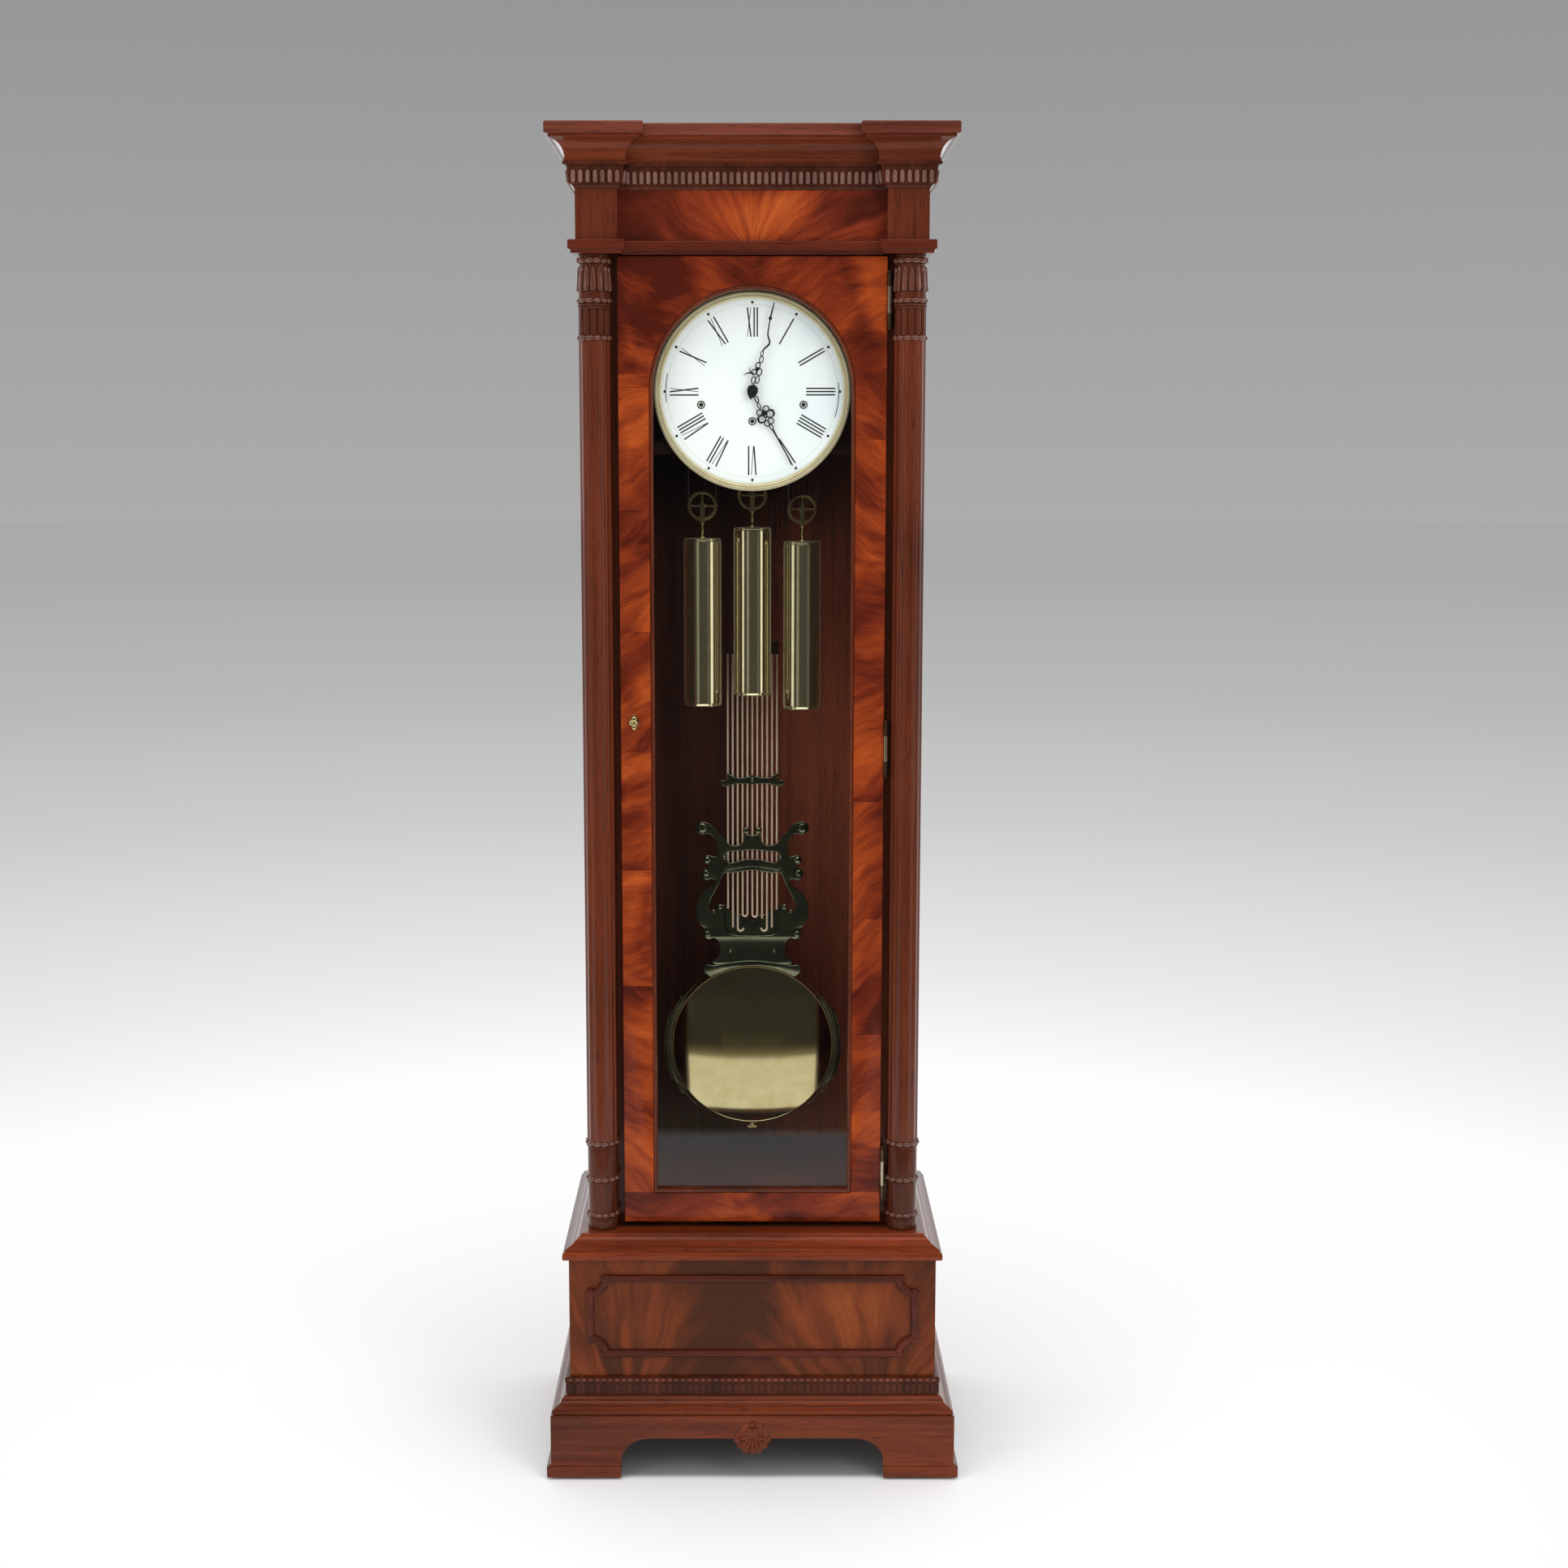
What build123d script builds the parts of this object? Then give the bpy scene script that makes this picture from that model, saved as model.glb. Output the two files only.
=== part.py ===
from build123d import *
import os
from math import asin, cos, degrees, pi, radians, sin, sqrt

# A three-weight longcase clock in mahogany, with a lyre pendulum behind a glazed, round-headed door.
# Millimetres. +Z is up, the dial faces -Y, and the origin is the middle of the footprint on the floor.

# ---- case: heights of the stacked parts, from the floor up ------------------------------------------
GLIDE_HEIGHT = 4.0
BRACKET_HEIGHT = 100.0
BASE_MOULD_HEIGHT = 26.0
CARVED_BAND_HEIGHT = 30.0
BASE_BOX_HEIGHT = 195.0
WAIST_HEIGHT = 36.0
ARCHITRAVE_HEIGHT = 20.0
FRIEZE_HEIGHT = 75.0
TONGUE_BAND_HEIGHT = 38.0
COVE_HEIGHT = 37.0
SLAB_HEIGHT = 18.0

# ---- case: plan of the trunk, and how far each course stands out from it ----------------------------
TRUNK_DEPTH = 365.0
BLOCK_WIDTH = 63.0
BLOCK_BREAK = 25.0
FOOT_BAND_OUT = 62.0
FOOT_BAND_HEIGHT = 23.0
FOOT_BAND_COVE = 4.0
BRACKET_OUT = 56.0
TORUS_OUT = 54.0
BASE_BOX_OUT = 26.0
CARVED_OUT = 33.0
NOSING_OUT = 36.0
NOSING_HEIGHT = 13.0
WAIST_TOP_OUT = 8.0
ARCHITRAVE_OUT = 11.0
TONGUE_OUT = 13.0
TONGUE_FILLET_OUT = 17.0
SLAB_OUT = 42.0
CROWN_DEPTH = 22.0

# ---- case: moulding profiles ------------------------------------------------------------------------
# Each point is the distance out from the trunk face, the height above the moulding's own foot, and, where
# the edge that leads to the point is bowed, how far it bows (positive is hollow).
BASE_MOULD_PROFILE = (
    (BASE_BOX_OUT, 0),
    (TORUS_OUT - 1.5, 0),
    (TORUS_OUT - 1.5, 9, -1.5),
    (TORUS_OUT - 5, 11),
    (TORUS_OUT - 5, 13),
    (CARVED_OUT + 6, BASE_MOULD_HEIGHT - 6, 2.0),
    (CARVED_OUT + 1, BASE_MOULD_HEIGHT, -1.0),
    (BASE_BOX_OUT, BASE_MOULD_HEIGHT),
)
CARVED_BAND_PROFILE = (
    (BASE_BOX_OUT, 0),
    (CARVED_OUT, 0),
    (CARVED_OUT, CARVED_BAND_HEIGHT - 9),
    (CARVED_OUT + 1, CARVED_BAND_HEIGHT - 8),
    (CARVED_OUT + 1, CARVED_BAND_HEIGHT - 2, -0.6),
    (CARVED_OUT - 2, CARVED_BAND_HEIGHT),
    (BASE_BOX_OUT, CARVED_BAND_HEIGHT),
)
WAIST_PROFILE = (
    (-CROWN_DEPTH, 0),
    (NOSING_OUT - 1, 0),
    (NOSING_OUT - 1, NOSING_HEIGHT - 1, -1.0),
    (NOSING_OUT - 4, NOSING_HEIGHT),
    (NOSING_OUT - 5, NOSING_HEIGHT + 4),
    (NOSING_OUT - 8, NOSING_HEIGHT + 5),
    (WAIST_TOP_OUT + 4, WAIST_HEIGHT - 5, 1.5),
    (WAIST_TOP_OUT, WAIST_HEIGHT - 4),
    (WAIST_TOP_OUT, WAIST_HEIGHT),
    (-CROWN_DEPTH, WAIST_HEIGHT),
)
ARCHITRAVE_PROFILE = (
    (-CROWN_DEPTH, 0),
    (ARCHITRAVE_OUT - 4, 0),
    (ARCHITRAVE_OUT - 4, 3),
    (ARCHITRAVE_OUT, 6, 1.0),
    (ARCHITRAVE_OUT, ARCHITRAVE_HEIGHT - 2),
    (ARCHITRAVE_OUT - 2, ARCHITRAVE_HEIGHT, -0.5),
    (-CROWN_DEPTH, ARCHITRAVE_HEIGHT),
)
FRIEZE_PROFILE = (
    (-CROWN_DEPTH, 0),
    (0, 0),
    (0, FRIEZE_HEIGHT),
    (-CROWN_DEPTH, FRIEZE_HEIGHT),
)
TONGUE_PROFILE = (
    (-CROWN_DEPTH, 0),
    (1, 0),
    (TONGUE_OUT - 4, 8, 1.5),
    (TONGUE_OUT, TONGUE_BAND_HEIGHT - 6),
    (TONGUE_FILLET_OUT, TONGUE_BAND_HEIGHT - 5),
    (TONGUE_FILLET_OUT, TONGUE_BAND_HEIGHT),
    (-CROWN_DEPTH, TONGUE_BAND_HEIGHT),
)
COVE_PROFILE = (
    (-CROWN_DEPTH, 0),
    (TONGUE_FILLET_OUT - 2, 0),
    (TONGUE_FILLET_OUT - 3, 8),
    (SLAB_OUT - 6, COVE_HEIGHT - 4, 5.5),
    (SLAB_OUT - 6, COVE_HEIGHT),
    (-CROWN_DEPTH, COVE_HEIGHT),
)
SLAB_PROFILE = (
    (-CROWN_DEPTH, 0),
    (SLAB_OUT - 2, 0),
    (SLAB_OUT, 3, -0.6),
    (SLAB_OUT, SLAB_HEIGHT - 4),
    (SLAB_OUT - 3, SLAB_HEIGHT, -0.9),
    (-CROWN_DEPTH, SLAB_HEIGHT),
)

# ---- case: boards -----------------------------------------------------------------------------------
BRACKET_THICKNESS = 20.0
BOARD_THICKNESS = 18.0
FRAME_THICKNESS = 20.0
BACK_THICKNESS = 8.0
FLOOR_THICKNESS = 12.0
WAIST_BOARD_THICKNESS = 20.0
TOP_BOARD_THICKNESS = 12.0
SIDE_SETBACK = 4.0
STILE_WIDTH = 72.0
BOTTOM_RAIL_HEIGHT = 49.0
TOP_RAIL_HEIGHT = 40.0
FOOT_BLOCK_SIZE = 56.0
GLIDE_RADIUS = 20.0
FRONT_FOOT_WIDTH = 119.0
SIDE_FOOT_WIDTH = 112.0
FOOT_CURVE_WIDTH = 48.0
FOOT_CURVE_START = 26.0
APRON_DROP = 37.0
REAR_RAIL_HEIGHT = 37.0
SHELL_RADIUS = 31.0
SHELL_LOBES = 9
SHELL_LOBE_RADIUS = 5.2
SHELL_PROUD = 6.0
SHELL_CENTRE_HEIGHT = 67.0
SHELL_BACK_SETBACK = 4.0
PANEL_MOULD_MARGIN = 28.0
PANEL_MOULD_BOTTOM = 33.0
PANEL_MOULD_TOP_MARGIN = 26.0
PANEL_MOULD_WIDTH = 7.0
PANEL_MOULD_PROUD = 5.0
PANEL_CORNER_RADIUS = 30.0

# ---- columns ----------------------------------------------------------------------------------------
COLUMN_INSET = 26.0
COLUMN_DOOR_GAP = 10.5
COLUMN_AXIS_BACK = 26.5
COLUMN_RADIUS = 24.5
COLUMN_FLAT_BACK = 18.0
COLUMN_RING_RADIUS = 27.0
COLUMN_RING_HEIGHT = 9.0
COLUMN_RINGS = 3
COLUMN_NECK_RADIUS = 24.0
COLUMN_PLINTH_HEIGHT = 20.0
COLUMN_BASE_HEIGHT = 147.0
COLUMN_CAP_HEIGHT = 128.0
COLUMN_FLUTES = 12
COLUMN_FLUTE_DEPTH = 1.2
CAP_NECK_HEIGHT = 38.0
CAP_BELL_HEIGHT = 46.0
CAP_BELL_RADIUS = 28.0
CAP_BELL_TOP_RADIUS = 25.0
CAP_BELL_LIP = 2.0
CAP_BELL_FOOT = 6.0
CAP_BELL_BOW = 0.9
CAP_ABACUS_HEIGHT = 9.0

# ---- door -------------------------------------------------------------------------------------------
DOOR_STILE_WIDTH = 53.0
DOOR_THICKNESS = 22.0
DOOR_BOTTOM_GAP = 9.0
DOOR_TOP_GAP = 2.0
WINDOW_HALF_WIDTH = 152.0
WINDOW_SILL = 62.0
BEAD_WIDTH = 6.0
BEAD_SETBACK = 2.0
GLASS_THICKNESS = 3.0
GLASS_FROM_FRONT = 11.0
GLASS_LAP = 4.0
RETAINER_THICKNESS = 7.0
FIT = 0.3

# ---- door furniture ---------------------------------------------------------------------------------
HINGE_BOTTOM_INSET = 81.0
HINGE_TOP_INSET = 65.0
HINGE_LENGTH = 80.0
HINGE_KNUCKLE_RADIUS = 3.2
HINGE_PIN_RADIUS = 1.5
HINGE_BALL_RADIUS = 2.6
HINGE_LEAF = 1.2
HINGE_OUT = 3.0
HINGE_PROUD = 2.5
HINGE_LEAF_DEPTH = 18.0
HINGE_FOOT = 8.0
SHAFT_FIT = 0.05
LOCK_INSET = 21.0
LOCK_HEIGHT = 808.0
SPINDLE_RADIUS = 2.5
ESCUTCHEON_WIDTH = 16.0
ESCUTCHEON_HEIGHT = 28.0
ESCUTCHEON_THICKNESS = 1.5
KNOB_RADIUS = 5.0
KNOB_LENGTH = 13.0
KNOB_STEM_RADIUS = 2.8
LATCH_LENGTH = 22.0
LATCH_WIDTH = 8.0
LATCH_THICKNESS = 2.0

# ---- dial and hands ---------------------------------------------------------------------------------
DIAL_BELOW_CROWN = 203.0
DIAL_BEHIND_DOOR = 15.0
DIAL_THICKNESS = 2.0
BEZEL_LAP = 3.0
BEZEL_WIDTH = 10.0
BEZEL_DEPTH = 9.0
BEZEL_STEP = 2.0
BEZEL_EDGE = 1.0
BEZEL_BOW = 1.5
DIAL_HOLE_RADIUS = 6.0
GROMMET_RADIUS = 6.0
GROMMET_WALL = 1.4
GROMMET_FLANGE = 1.0
HAND_THICKNESS = 0.9
HAND_HUB_RADIUS = 8.6
HAND_ROOT_WIDTH = 3.2
HAND_TIP_WIDTH = 1.0
HAND_RING_BAR = 1.7
HAND_RING_LAP = 1.2
MINUTE_HAND_RINGS = (6.5, 8.0, 4.5)
HOUR_HAND_RINGS = (6.0, 9.5, 5.0)
MINUTE_HAND_LENGTH = 138.0
HOUR_HAND_LENGTH = 88.0
MINUTE_HAND_ANGLE = 14.0
HOUR_HAND_ANGLE = 151.0
HOUR_HAND_OFF_DIAL = 5.0
MINUTE_HAND_OFF_DIAL = 9.5
CANNON_RADIUS = 3.0
HOUR_PIPE_WALL = 1.3
HAND_NUT_RADIUS = 3.6
HAND_NUT_HEIGHT = 2.5

# ---- movement ---------------------------------------------------------------------------------------
PLATE_WIDTH = 230.0
PLATE_HEIGHT = 165.0
PLATE_THICKNESS = 3.0
PLATE_SPACING = 52.0
DIAL_TO_PLATE = 26.0
PILLAR_RADIUS = 5.0
PILLAR_INSET = 9.0
DIAL_POST_RADIUS = 3.0
DIAL_POST_HALF_SPAN = 85.0
DIAL_POST_HALF_RISE = 60.0
SEAT_BOARD_THICKNESS = 18.0
SEAT_BOARD_DEPTH = 90.0
SEAT_BOARD_GAP = 3.0
SEAT_BELOW_DIAL = 77.0
CHEEK_HEIGHT = 30.0
CHEEK_THICKNESS = 12.0
CABLE_HOLE_RADIUS = 5.0

# ---- weights, pulleys, cables and winding drums -----------------------------------------------------
WEIGHT_PITCH = 79.0
SIDE_ARBOR_DROP = 20.0
CENTRE_ARBOR_DROP = 45.0
WEIGHT_RADIUS = 30.0
WEIGHT_LENGTH = 266.0
WEIGHT_WALL = 1.2
WEIGHT_CAP = 4.0
WEIGHT_CAP_INSET = 0.4
LEFT_WEIGHT_DROP = 131.0
CENTRE_WEIGHT_DROP = 114.0
RIGHT_WEIGHT_DROP = 136.0
HANGER_HEIGHT = 50.0
HANGER_STEM_RADIUS = 2.2
HANGER_BEAD_RADIUS = 4.4
FORK_THICKNESS = 1.5
FORK_WIDTH = 7.0
PULLEY_PITCH_RADIUS = 21.5
PULLEY_FLANGE = 2.0
PULLEY_THICKNESS = 6.0
PULLEY_RIM = 4.0
PULLEY_EDGE = 1.0
PULLEY_HUB_RADIUS = 5.0
PULLEY_AXLE_RADIUS = 2.0
PULLEY_SPOKES = 4
PULLEY_SPOKE_WIDTH = 4.0
CABLE_RADIUS = 0.6
ARBOR_RADIUS = 3.0
DRUM_LENGTH = 40.0
GREAT_WHEEL_RADIUS = 32.0
GREAT_WHEEL_THICKNESS = 3.0

# ---- pendulum ---------------------------------------------------------------------------------------
PENDULUM_LENGTH = 1131.0
PIVOT_ABOVE_DIAL = 68.0
PENDULUM_BEHIND_PLATE = 25.8
COCK_THICKNESS = 8.0
COCK_ABOVE_PIVOT = 5.0
SPRING_LENGTH = 30.0
SPRING_WIDTH = 10.0
SPRING_THICKNESS = 0.4
LEADER_WIDTH = 10.0
LEADER_THICKNESS = 4.0
ROD_COUNT = 11
ROD_PITCH = 8.0
ROD_RADIUS = 1.6
ROD_TOP_DROP = 483.0
BRIDGE_HEIGHT = 20.0
BRIDGE_THICKNESS = 8.0
BRIDGE_OVERHANG = 6.0
ROD_CLEARANCE = 45.0
ROD_STAGGER = 8.0
SCROLL_BAR_RISE = 301.0
SCROLL_BAR_WIDTH = 7.0
SCROLL_BOSS_RADIUS = 7.0
SCROLL_END_RADIUS = 5.0
LYRE_ABOVE_BOB = 7.5
LYRE_HEIGHT = 229.0
LYRE_HALF_WIDTH = 98.5
LYRE_THICKNESS = 4.0
LYRE_STROKE = 11.0
CREST_BEAD_RADIUS = 5.0
NECK_HEIGHT = 44.0
TAIL_ROOT = 40.0
BOB_RADIUS = 133.5
BOB_THICKNESS = 25.0
BOB_RIM_THICKNESS = 5.0
BOB_FRONT_SHARE = 0.6
BOB_BOW_SHARE = 0.25
BOB_RING_RADIUS = 148.0
BOB_RING_HALF_HEIGHT = 62.0
BOB_RING_THICKNESS = 2.0
SADDLE_HALF_WIDTH = 77.0
SADDLE_HEIGHT = 9.0
NECK_HALF_WIDTH = 50.0
CENTRE_ROD_RADIUS = 2.5
CENTRE_ROD_TAIL = 42.0
TAIL_CLEARANCE = 38.2
NUT_RADIUS = 9.0
NUT_HEIGHT = 11.0
CRUTCH_ARBOR_RADIUS = 1.5
CRUTCH_LENGTH = 187.0
CRUTCH_WIDTH = 4.0
CRUTCH_THICKNESS = 2.0
CRUTCH_PRONG = 3.0
CRUTCH_OFF_PLATE = 14.0
CRUTCH_HUB_RADIUS = 3.0
CRUTCH_FORK_HEIGHT = 6.0
ANCHOR_HALF_SPAN = 16.0
ANCHOR_DROP = 14.0
ANCHOR_HALF_DEPTH = 4.0
ANCHOR_THICKNESS = 3.0

# Centre lines of the lyre's bars, from the outside in: parts of its half width and of its height.
LYRE_ARM = (
    (0.90, 0.96),
    (0.75, 0.97),
    (0.61, 0.88),
    (0.64, 0.79),
    (0.70, 0.70),
    (0.61, 0.63),
    (0.71, 0.565),
    (0.90, 0.515),
    (1.00, 0.43),
    (1.00, 0.365),
    (0.90, 0.285),
    (0.75, 0.25),
    (0.60, 0.185),
    (0.58, 0.10),
    (0.65, 0.05),
)
LYRE_CREST = (
    (0.61, 0.88),
    (0.45, 0.845),
    (0.29, 0.83),
    (0.12, 0.865),
    (0.10, 0.955),
)
LYRE_CROSSBAR = (
    (0.66, 0.655),
    (0.33, 0.70),
    (0.00, 0.72),
)

# ---- chime ------------------------------------------------------------------------------------------
CHIME_RODS = 8
CHIME_PITCH = 8.5
CHIME_FIRST_X = 28.0
CHIME_ROD_RADIUS = 1.5
CHIME_SHORTEST = 250.0
CHIME_STEP = 10.0
CHIME_BEHIND_PLATE = 81.0
CHIME_BLOCK_HEIGHT = 24.0
CHIME_BLOCK_DEPTH = 18.0
CHIME_BLOCK_RISE = 83.0
CHIME_BRACKET_WIDTH = 24.0
HAMMER_ARBOR_RADIUS = 2.0
HAMMER_ARBOR_BEHIND_PLATE = 36.0
HAMMER_ARBOR_DROP = 27.0
HAMMER_REACH = 66.0
HAMMER_ARM_WIDTH = 2.0
HAMMER_ARM_DEPTH = 4.0
HAMMER_ARM_SETBACK = 4.0
HAMMER_HEAD_RADIUS = 3.6
HAMMER_HEAD_LENGTH = 16.0
HAMMER_REST_GAP = 5.5
LUG_GAP = 5.0
LUG_THICKNESS = 2.5
LUG_RADIUS = 6.0

# ---- levels and faces worked out from the sizes above -----------------------------------------------
Z_BRACKET = GLIDE_HEIGHT
Z_BASE_MOULD = Z_BRACKET + BRACKET_HEIGHT
Z_CARVED = Z_BASE_MOULD + BASE_MOULD_HEIGHT
Z_BOX = Z_CARVED + CARVED_BAND_HEIGHT
Z_WAIST = Z_BOX + BASE_BOX_HEIGHT
Z_TRUNK = Z_WAIST + WAIST_HEIGHT

FLOOR_TOP = Z_TRUNK + BOTTOM_RAIL_HEIGHT
NUT_TOP = FLOOR_TOP + TAIL_CLEARANCE + CENTRE_ROD_TAIL
BOB_Z = NUT_TOP + FIT + BOB_RADIUS
PIVOT_Z = BOB_Z + PENDULUM_LENGTH
DIAL_Z = PIVOT_Z - PIVOT_ABOVE_DIAL

Z_ARCHITRAVE = DIAL_Z + DIAL_BELOW_CROWN
Z_FRIEZE = Z_ARCHITRAVE + ARCHITRAVE_HEIGHT
Z_TONGUES = Z_FRIEZE + FRIEZE_HEIGHT
Z_COVE = Z_TONGUES + TONGUE_BAND_HEIGHT
Z_SLAB = Z_COVE + COVE_HEIGHT
Z_TOP = Z_SLAB + SLAB_HEIGHT

FRAME_HALF_WIDTH = WINDOW_HALF_WIDTH + BEAD_WIDTH
DOOR_HALF_WIDTH = WINDOW_HALF_WIDTH + DOOR_STILE_WIDTH
COLUMN_X = DOOR_HALF_WIDTH + COLUMN_DOOR_GAP + COLUMN_RADIUS
TRUNK_HALF_WIDTH = COLUMN_X + COLUMN_INSET
OVERALL_DEPTH = TRUNK_DEPTH + FOOT_BAND_OUT
BACK = OVERALL_DEPTH / 2
FRONT = BACK - TRUNK_DEPTH
BLOCK_INNER = TRUNK_HALF_WIDTH - BLOCK_WIDTH
CENTRE_FRONT = FRONT + BLOCK_BREAK
SIDE_OUTER = TRUNK_HALF_WIDTH - SIDE_SETBACK
SIDE_INNER = SIDE_OUTER - BOARD_THICKNESS
COLUMN_Y = FRONT + COLUMN_AXIS_BACK

DOOR_BACK = COLUMN_Y + COLUMN_FLAT_BACK
DOOR_FRONT = DOOR_BACK - DOOR_THICKNESS
DOOR_BOTTOM = Z_TRUNK + DOOR_BOTTOM_GAP
DOOR_TOP = Z_ARCHITRAVE - DOOR_TOP_GAP
FRAME_FRONT = DOOR_BACK
FRAME_BACK = FRAME_FRONT + FRAME_THICKNESS
STILE_INNER = SIDE_OUTER - STILE_WIDTH
INNER_BACK = BACK - BACK_THICKNESS

BEZEL_RADIUS = WINDOW_HALF_WIDTH
DIAL_RADIUS = BEZEL_RADIUS - BEZEL_LAP
DIAL_FRONT = DOOR_BACK + DIAL_BEHIND_DOOR
DIAL_BACK = DIAL_FRONT + DIAL_THICKNESS
WINDOW_BOTTOM = Z_TRUNK + WINDOW_SILL
PLATE_FRONT = DIAL_BACK + DIAL_TO_PLATE
PLATE_INNER = PLATE_FRONT + PLATE_THICKNESS
REAR_PLATE_INNER = PLATE_INNER + PLATE_SPACING
REAR_PLATE_BACK = REAR_PLATE_INNER + PLATE_THICKNESS
SEAT_TOP = DIAL_Z - SEAT_BELOW_DIAL
SEAT_BOTTOM = SEAT_TOP - SEAT_BOARD_THICKNESS
SEAT_FRONT = FRAME_BACK + SEAT_BOARD_GAP
PLATE_TOP = SEAT_TOP + PLATE_HEIGHT
WEIGHT_Y = PLATE_INNER + PLATE_SPACING / 2
SIDE_ARBOR_Z = DIAL_Z - SIDE_ARBOR_DROP
CENTRE_ARBOR_Z = DIAL_Z - CENTRE_ARBOR_DROP

PENDULUM_Y = REAR_PLATE_BACK + PENDULUM_BEHIND_PLATE
LYRE_BACK = PENDULUM_Y - CENTRE_ROD_RADIUS
LYRE_FRONT = LYRE_BACK - LYRE_THICKNESS
ROD_Y = LYRE_BACK + ROD_RADIUS
ROD_TOP_Z = PIVOT_Z - ROD_TOP_DROP
BRIDGE_TOP = ROD_TOP_Z + BRIDGE_HEIGHT
LYRE_BOTTOM_Z = BOB_Z + BOB_RADIUS + LYRE_ABOVE_BOB
HINGE_X = DOOR_HALF_WIDTH + HINGE_OUT
HINGE_Y = DOOR_FRONT - HINGE_PROUD
HINGE_LOW = DOOR_BOTTOM + HINGE_BOTTOM_INSET
HINGE_HIGH = DOOR_TOP - HINGE_TOP_INSET
LOCK_X = -DOOR_HALF_WIDTH + LOCK_INSET
LOCK_Z = DOOR_BOTTOM + LOCK_HEIGHT
LATCH_FRONT = FRAME_BACK + FIT
CHIME_Y = REAR_PLATE_BACK + CHIME_BEHIND_PLATE
CHIME_BLOCK_Z = DIAL_Z + CHIME_BLOCK_RISE
CHIME_LAST_X = CHIME_FIRST_X + CHIME_PITCH * (CHIME_RODS - 1)
NEAR_LUG_X = CHIME_FIRST_X - LUG_GAP - LUG_THICKNESS
FAR_LUG_X = CHIME_LAST_X + LUG_GAP
HAMMER_Y = REAR_PLATE_BACK + HAMMER_ARBOR_BEHIND_PLATE
HAMMER_Z = DIAL_Z - HAMMER_ARBOR_DROP

NODES = {}


# ---- helpers ----------------------------------------------------------------------------------------
def add(name, *solids):
    """Put solids, or lists of solids, into the node called name."""
    for item in solids:
        if isinstance(item, (list, tuple)):
            add(name, *item)
        else:
            NODES.setdefault(name, []).extend(item.solids())


def block(x0, x1, y0, y1, z0, z1):
    """A box between two corners."""
    middle = Pos((x0 + x1) / 2, (y0 + y1) / 2, (z0 + z1) / 2)
    return middle * Box(abs(x1 - x0), abs(y1 - y0), abs(z1 - z0))


def bar_y(x, z, radius, y0, y1):
    """A round bar along Y."""
    return Pos(x, (y0 + y1) / 2, z) * Rot(90, 0, 0) * Cylinder(radius, abs(y1 - y0))


def bar_z(x, y, radius, z0, z1):
    """A round bar along Z."""
    return Pos(x, y, (z0 + z1) / 2) * Cylinder(radius, abs(z1 - z0))


def bar_x(y, z, radius, x0, x1):
    """A round bar along X."""
    return Pos((x0 + x1) / 2, y, z) * Rot(0, 90, 0) * Cylinder(radius, abs(x1 - x0))


def upright(face, y0, y1):
    """Extrude a face drawn in x and z between two planes across Y."""
    return extrude(Plane(origin=(0, y1, 0), x_dir=(1, 0, 0), z_dir=(0, -1, 0)) * face, y1 - y0)


def sideways(face, x0, x1):
    """Extrude a face drawn in y and z between two planes across X."""
    return extrude(Plane(origin=(x0, 0, 0), x_dir=(0, 1, 0), z_dir=(1, 0, 0)) * face, x1 - x0)


def outline(start, *steps):
    """A face from corner points; a third number on a point bows the edge that leads to it."""
    here = start
    edges = []
    for step in steps + (start,):
        there = step[:2]
        if len(step) == 3:
            edges.append(SagittaArc(here, there, step[2]))
        else:
            edges.append(Line(here, there))
        here = there
    return make_face(Curve() + edges)


def turned(x, y, *points):
    """A turning about a vertical axis, from its radius and height points, bottom to top."""
    low = points[0][1]
    high = points[-1][1]
    half = outline((0, low), *points, (0, high))
    upright_half = Plane(origin=(0, 0, 0), x_dir=(1, 0, 0), z_dir=(0, -1, 0)) * half
    return Pos(x, y, 0) * revolve(upright_half, Axis.Z, 360)


def profile(points, bottom):
    """The face of a moulding's section, from its table and the height of its foot."""
    raised = [(point[0], bottom + point[1], *point[2:]) for point in points]
    return outline(*raised)


def plain_plan():
    """Corners of the case seen from above, from the back left round the front to the back right."""
    return [
        (-TRUNK_HALF_WIDTH, BACK),
        (-TRUNK_HALF_WIDTH, FRONT),
        (TRUNK_HALF_WIDTH, FRONT),
        (TRUNK_HALF_WIDTH, BACK),
    ]


def broken_plan():
    """The same outline with the front stepping back between the two corner blocks."""
    return [
        (-TRUNK_HALF_WIDTH, BACK),
        (-TRUNK_HALF_WIDTH, FRONT),
        (-BLOCK_INNER, FRONT),
        (-BLOCK_INNER, CENTRE_FRONT),
        (BLOCK_INNER, CENTRE_FRONT),
        (BLOCK_INNER, FRONT),
        (TRUNK_HALF_WIDTH, FRONT),
        (TRUNK_HALF_WIDTH, BACK),
    ]


def moulding(plan, section):
    """Lengths of a moulding run round a plan and mitred at its corners.

    The section is drawn as distance out from the plan line, and height.
    """
    spare = 3 * FOOT_BAND_OUT
    corners = [Vector(x, y, 0) for x, y in plan]
    ways = [(b - a).normalized() for a, b in zip(corners, corners[1:])]
    lengths = []
    for i, way in enumerate(ways):
        out = Vector(way.Y, -way.X, 0)
        start = corners[i]
        end = corners[i + 1]
        face = Plane(origin=start - way * spare, x_dir=out, z_dir=-way) * section
        length = extrude(face, (end - start).length + 2 * spare, dir=way)
        start_normal = way + ways[i - 1] if i > 0 else way
        end_normal = way + ways[i + 1] if i + 1 < len(ways) else way
        length = split(length, bisect_by=Plane(origin=start, z_dir=start_normal), keep=Keep.TOP)
        length = split(length, bisect_by=Plane(origin=end, z_dir=end_normal), keep=Keep.BOTTOM)
        lengths.append(length)
    return lengths


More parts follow.
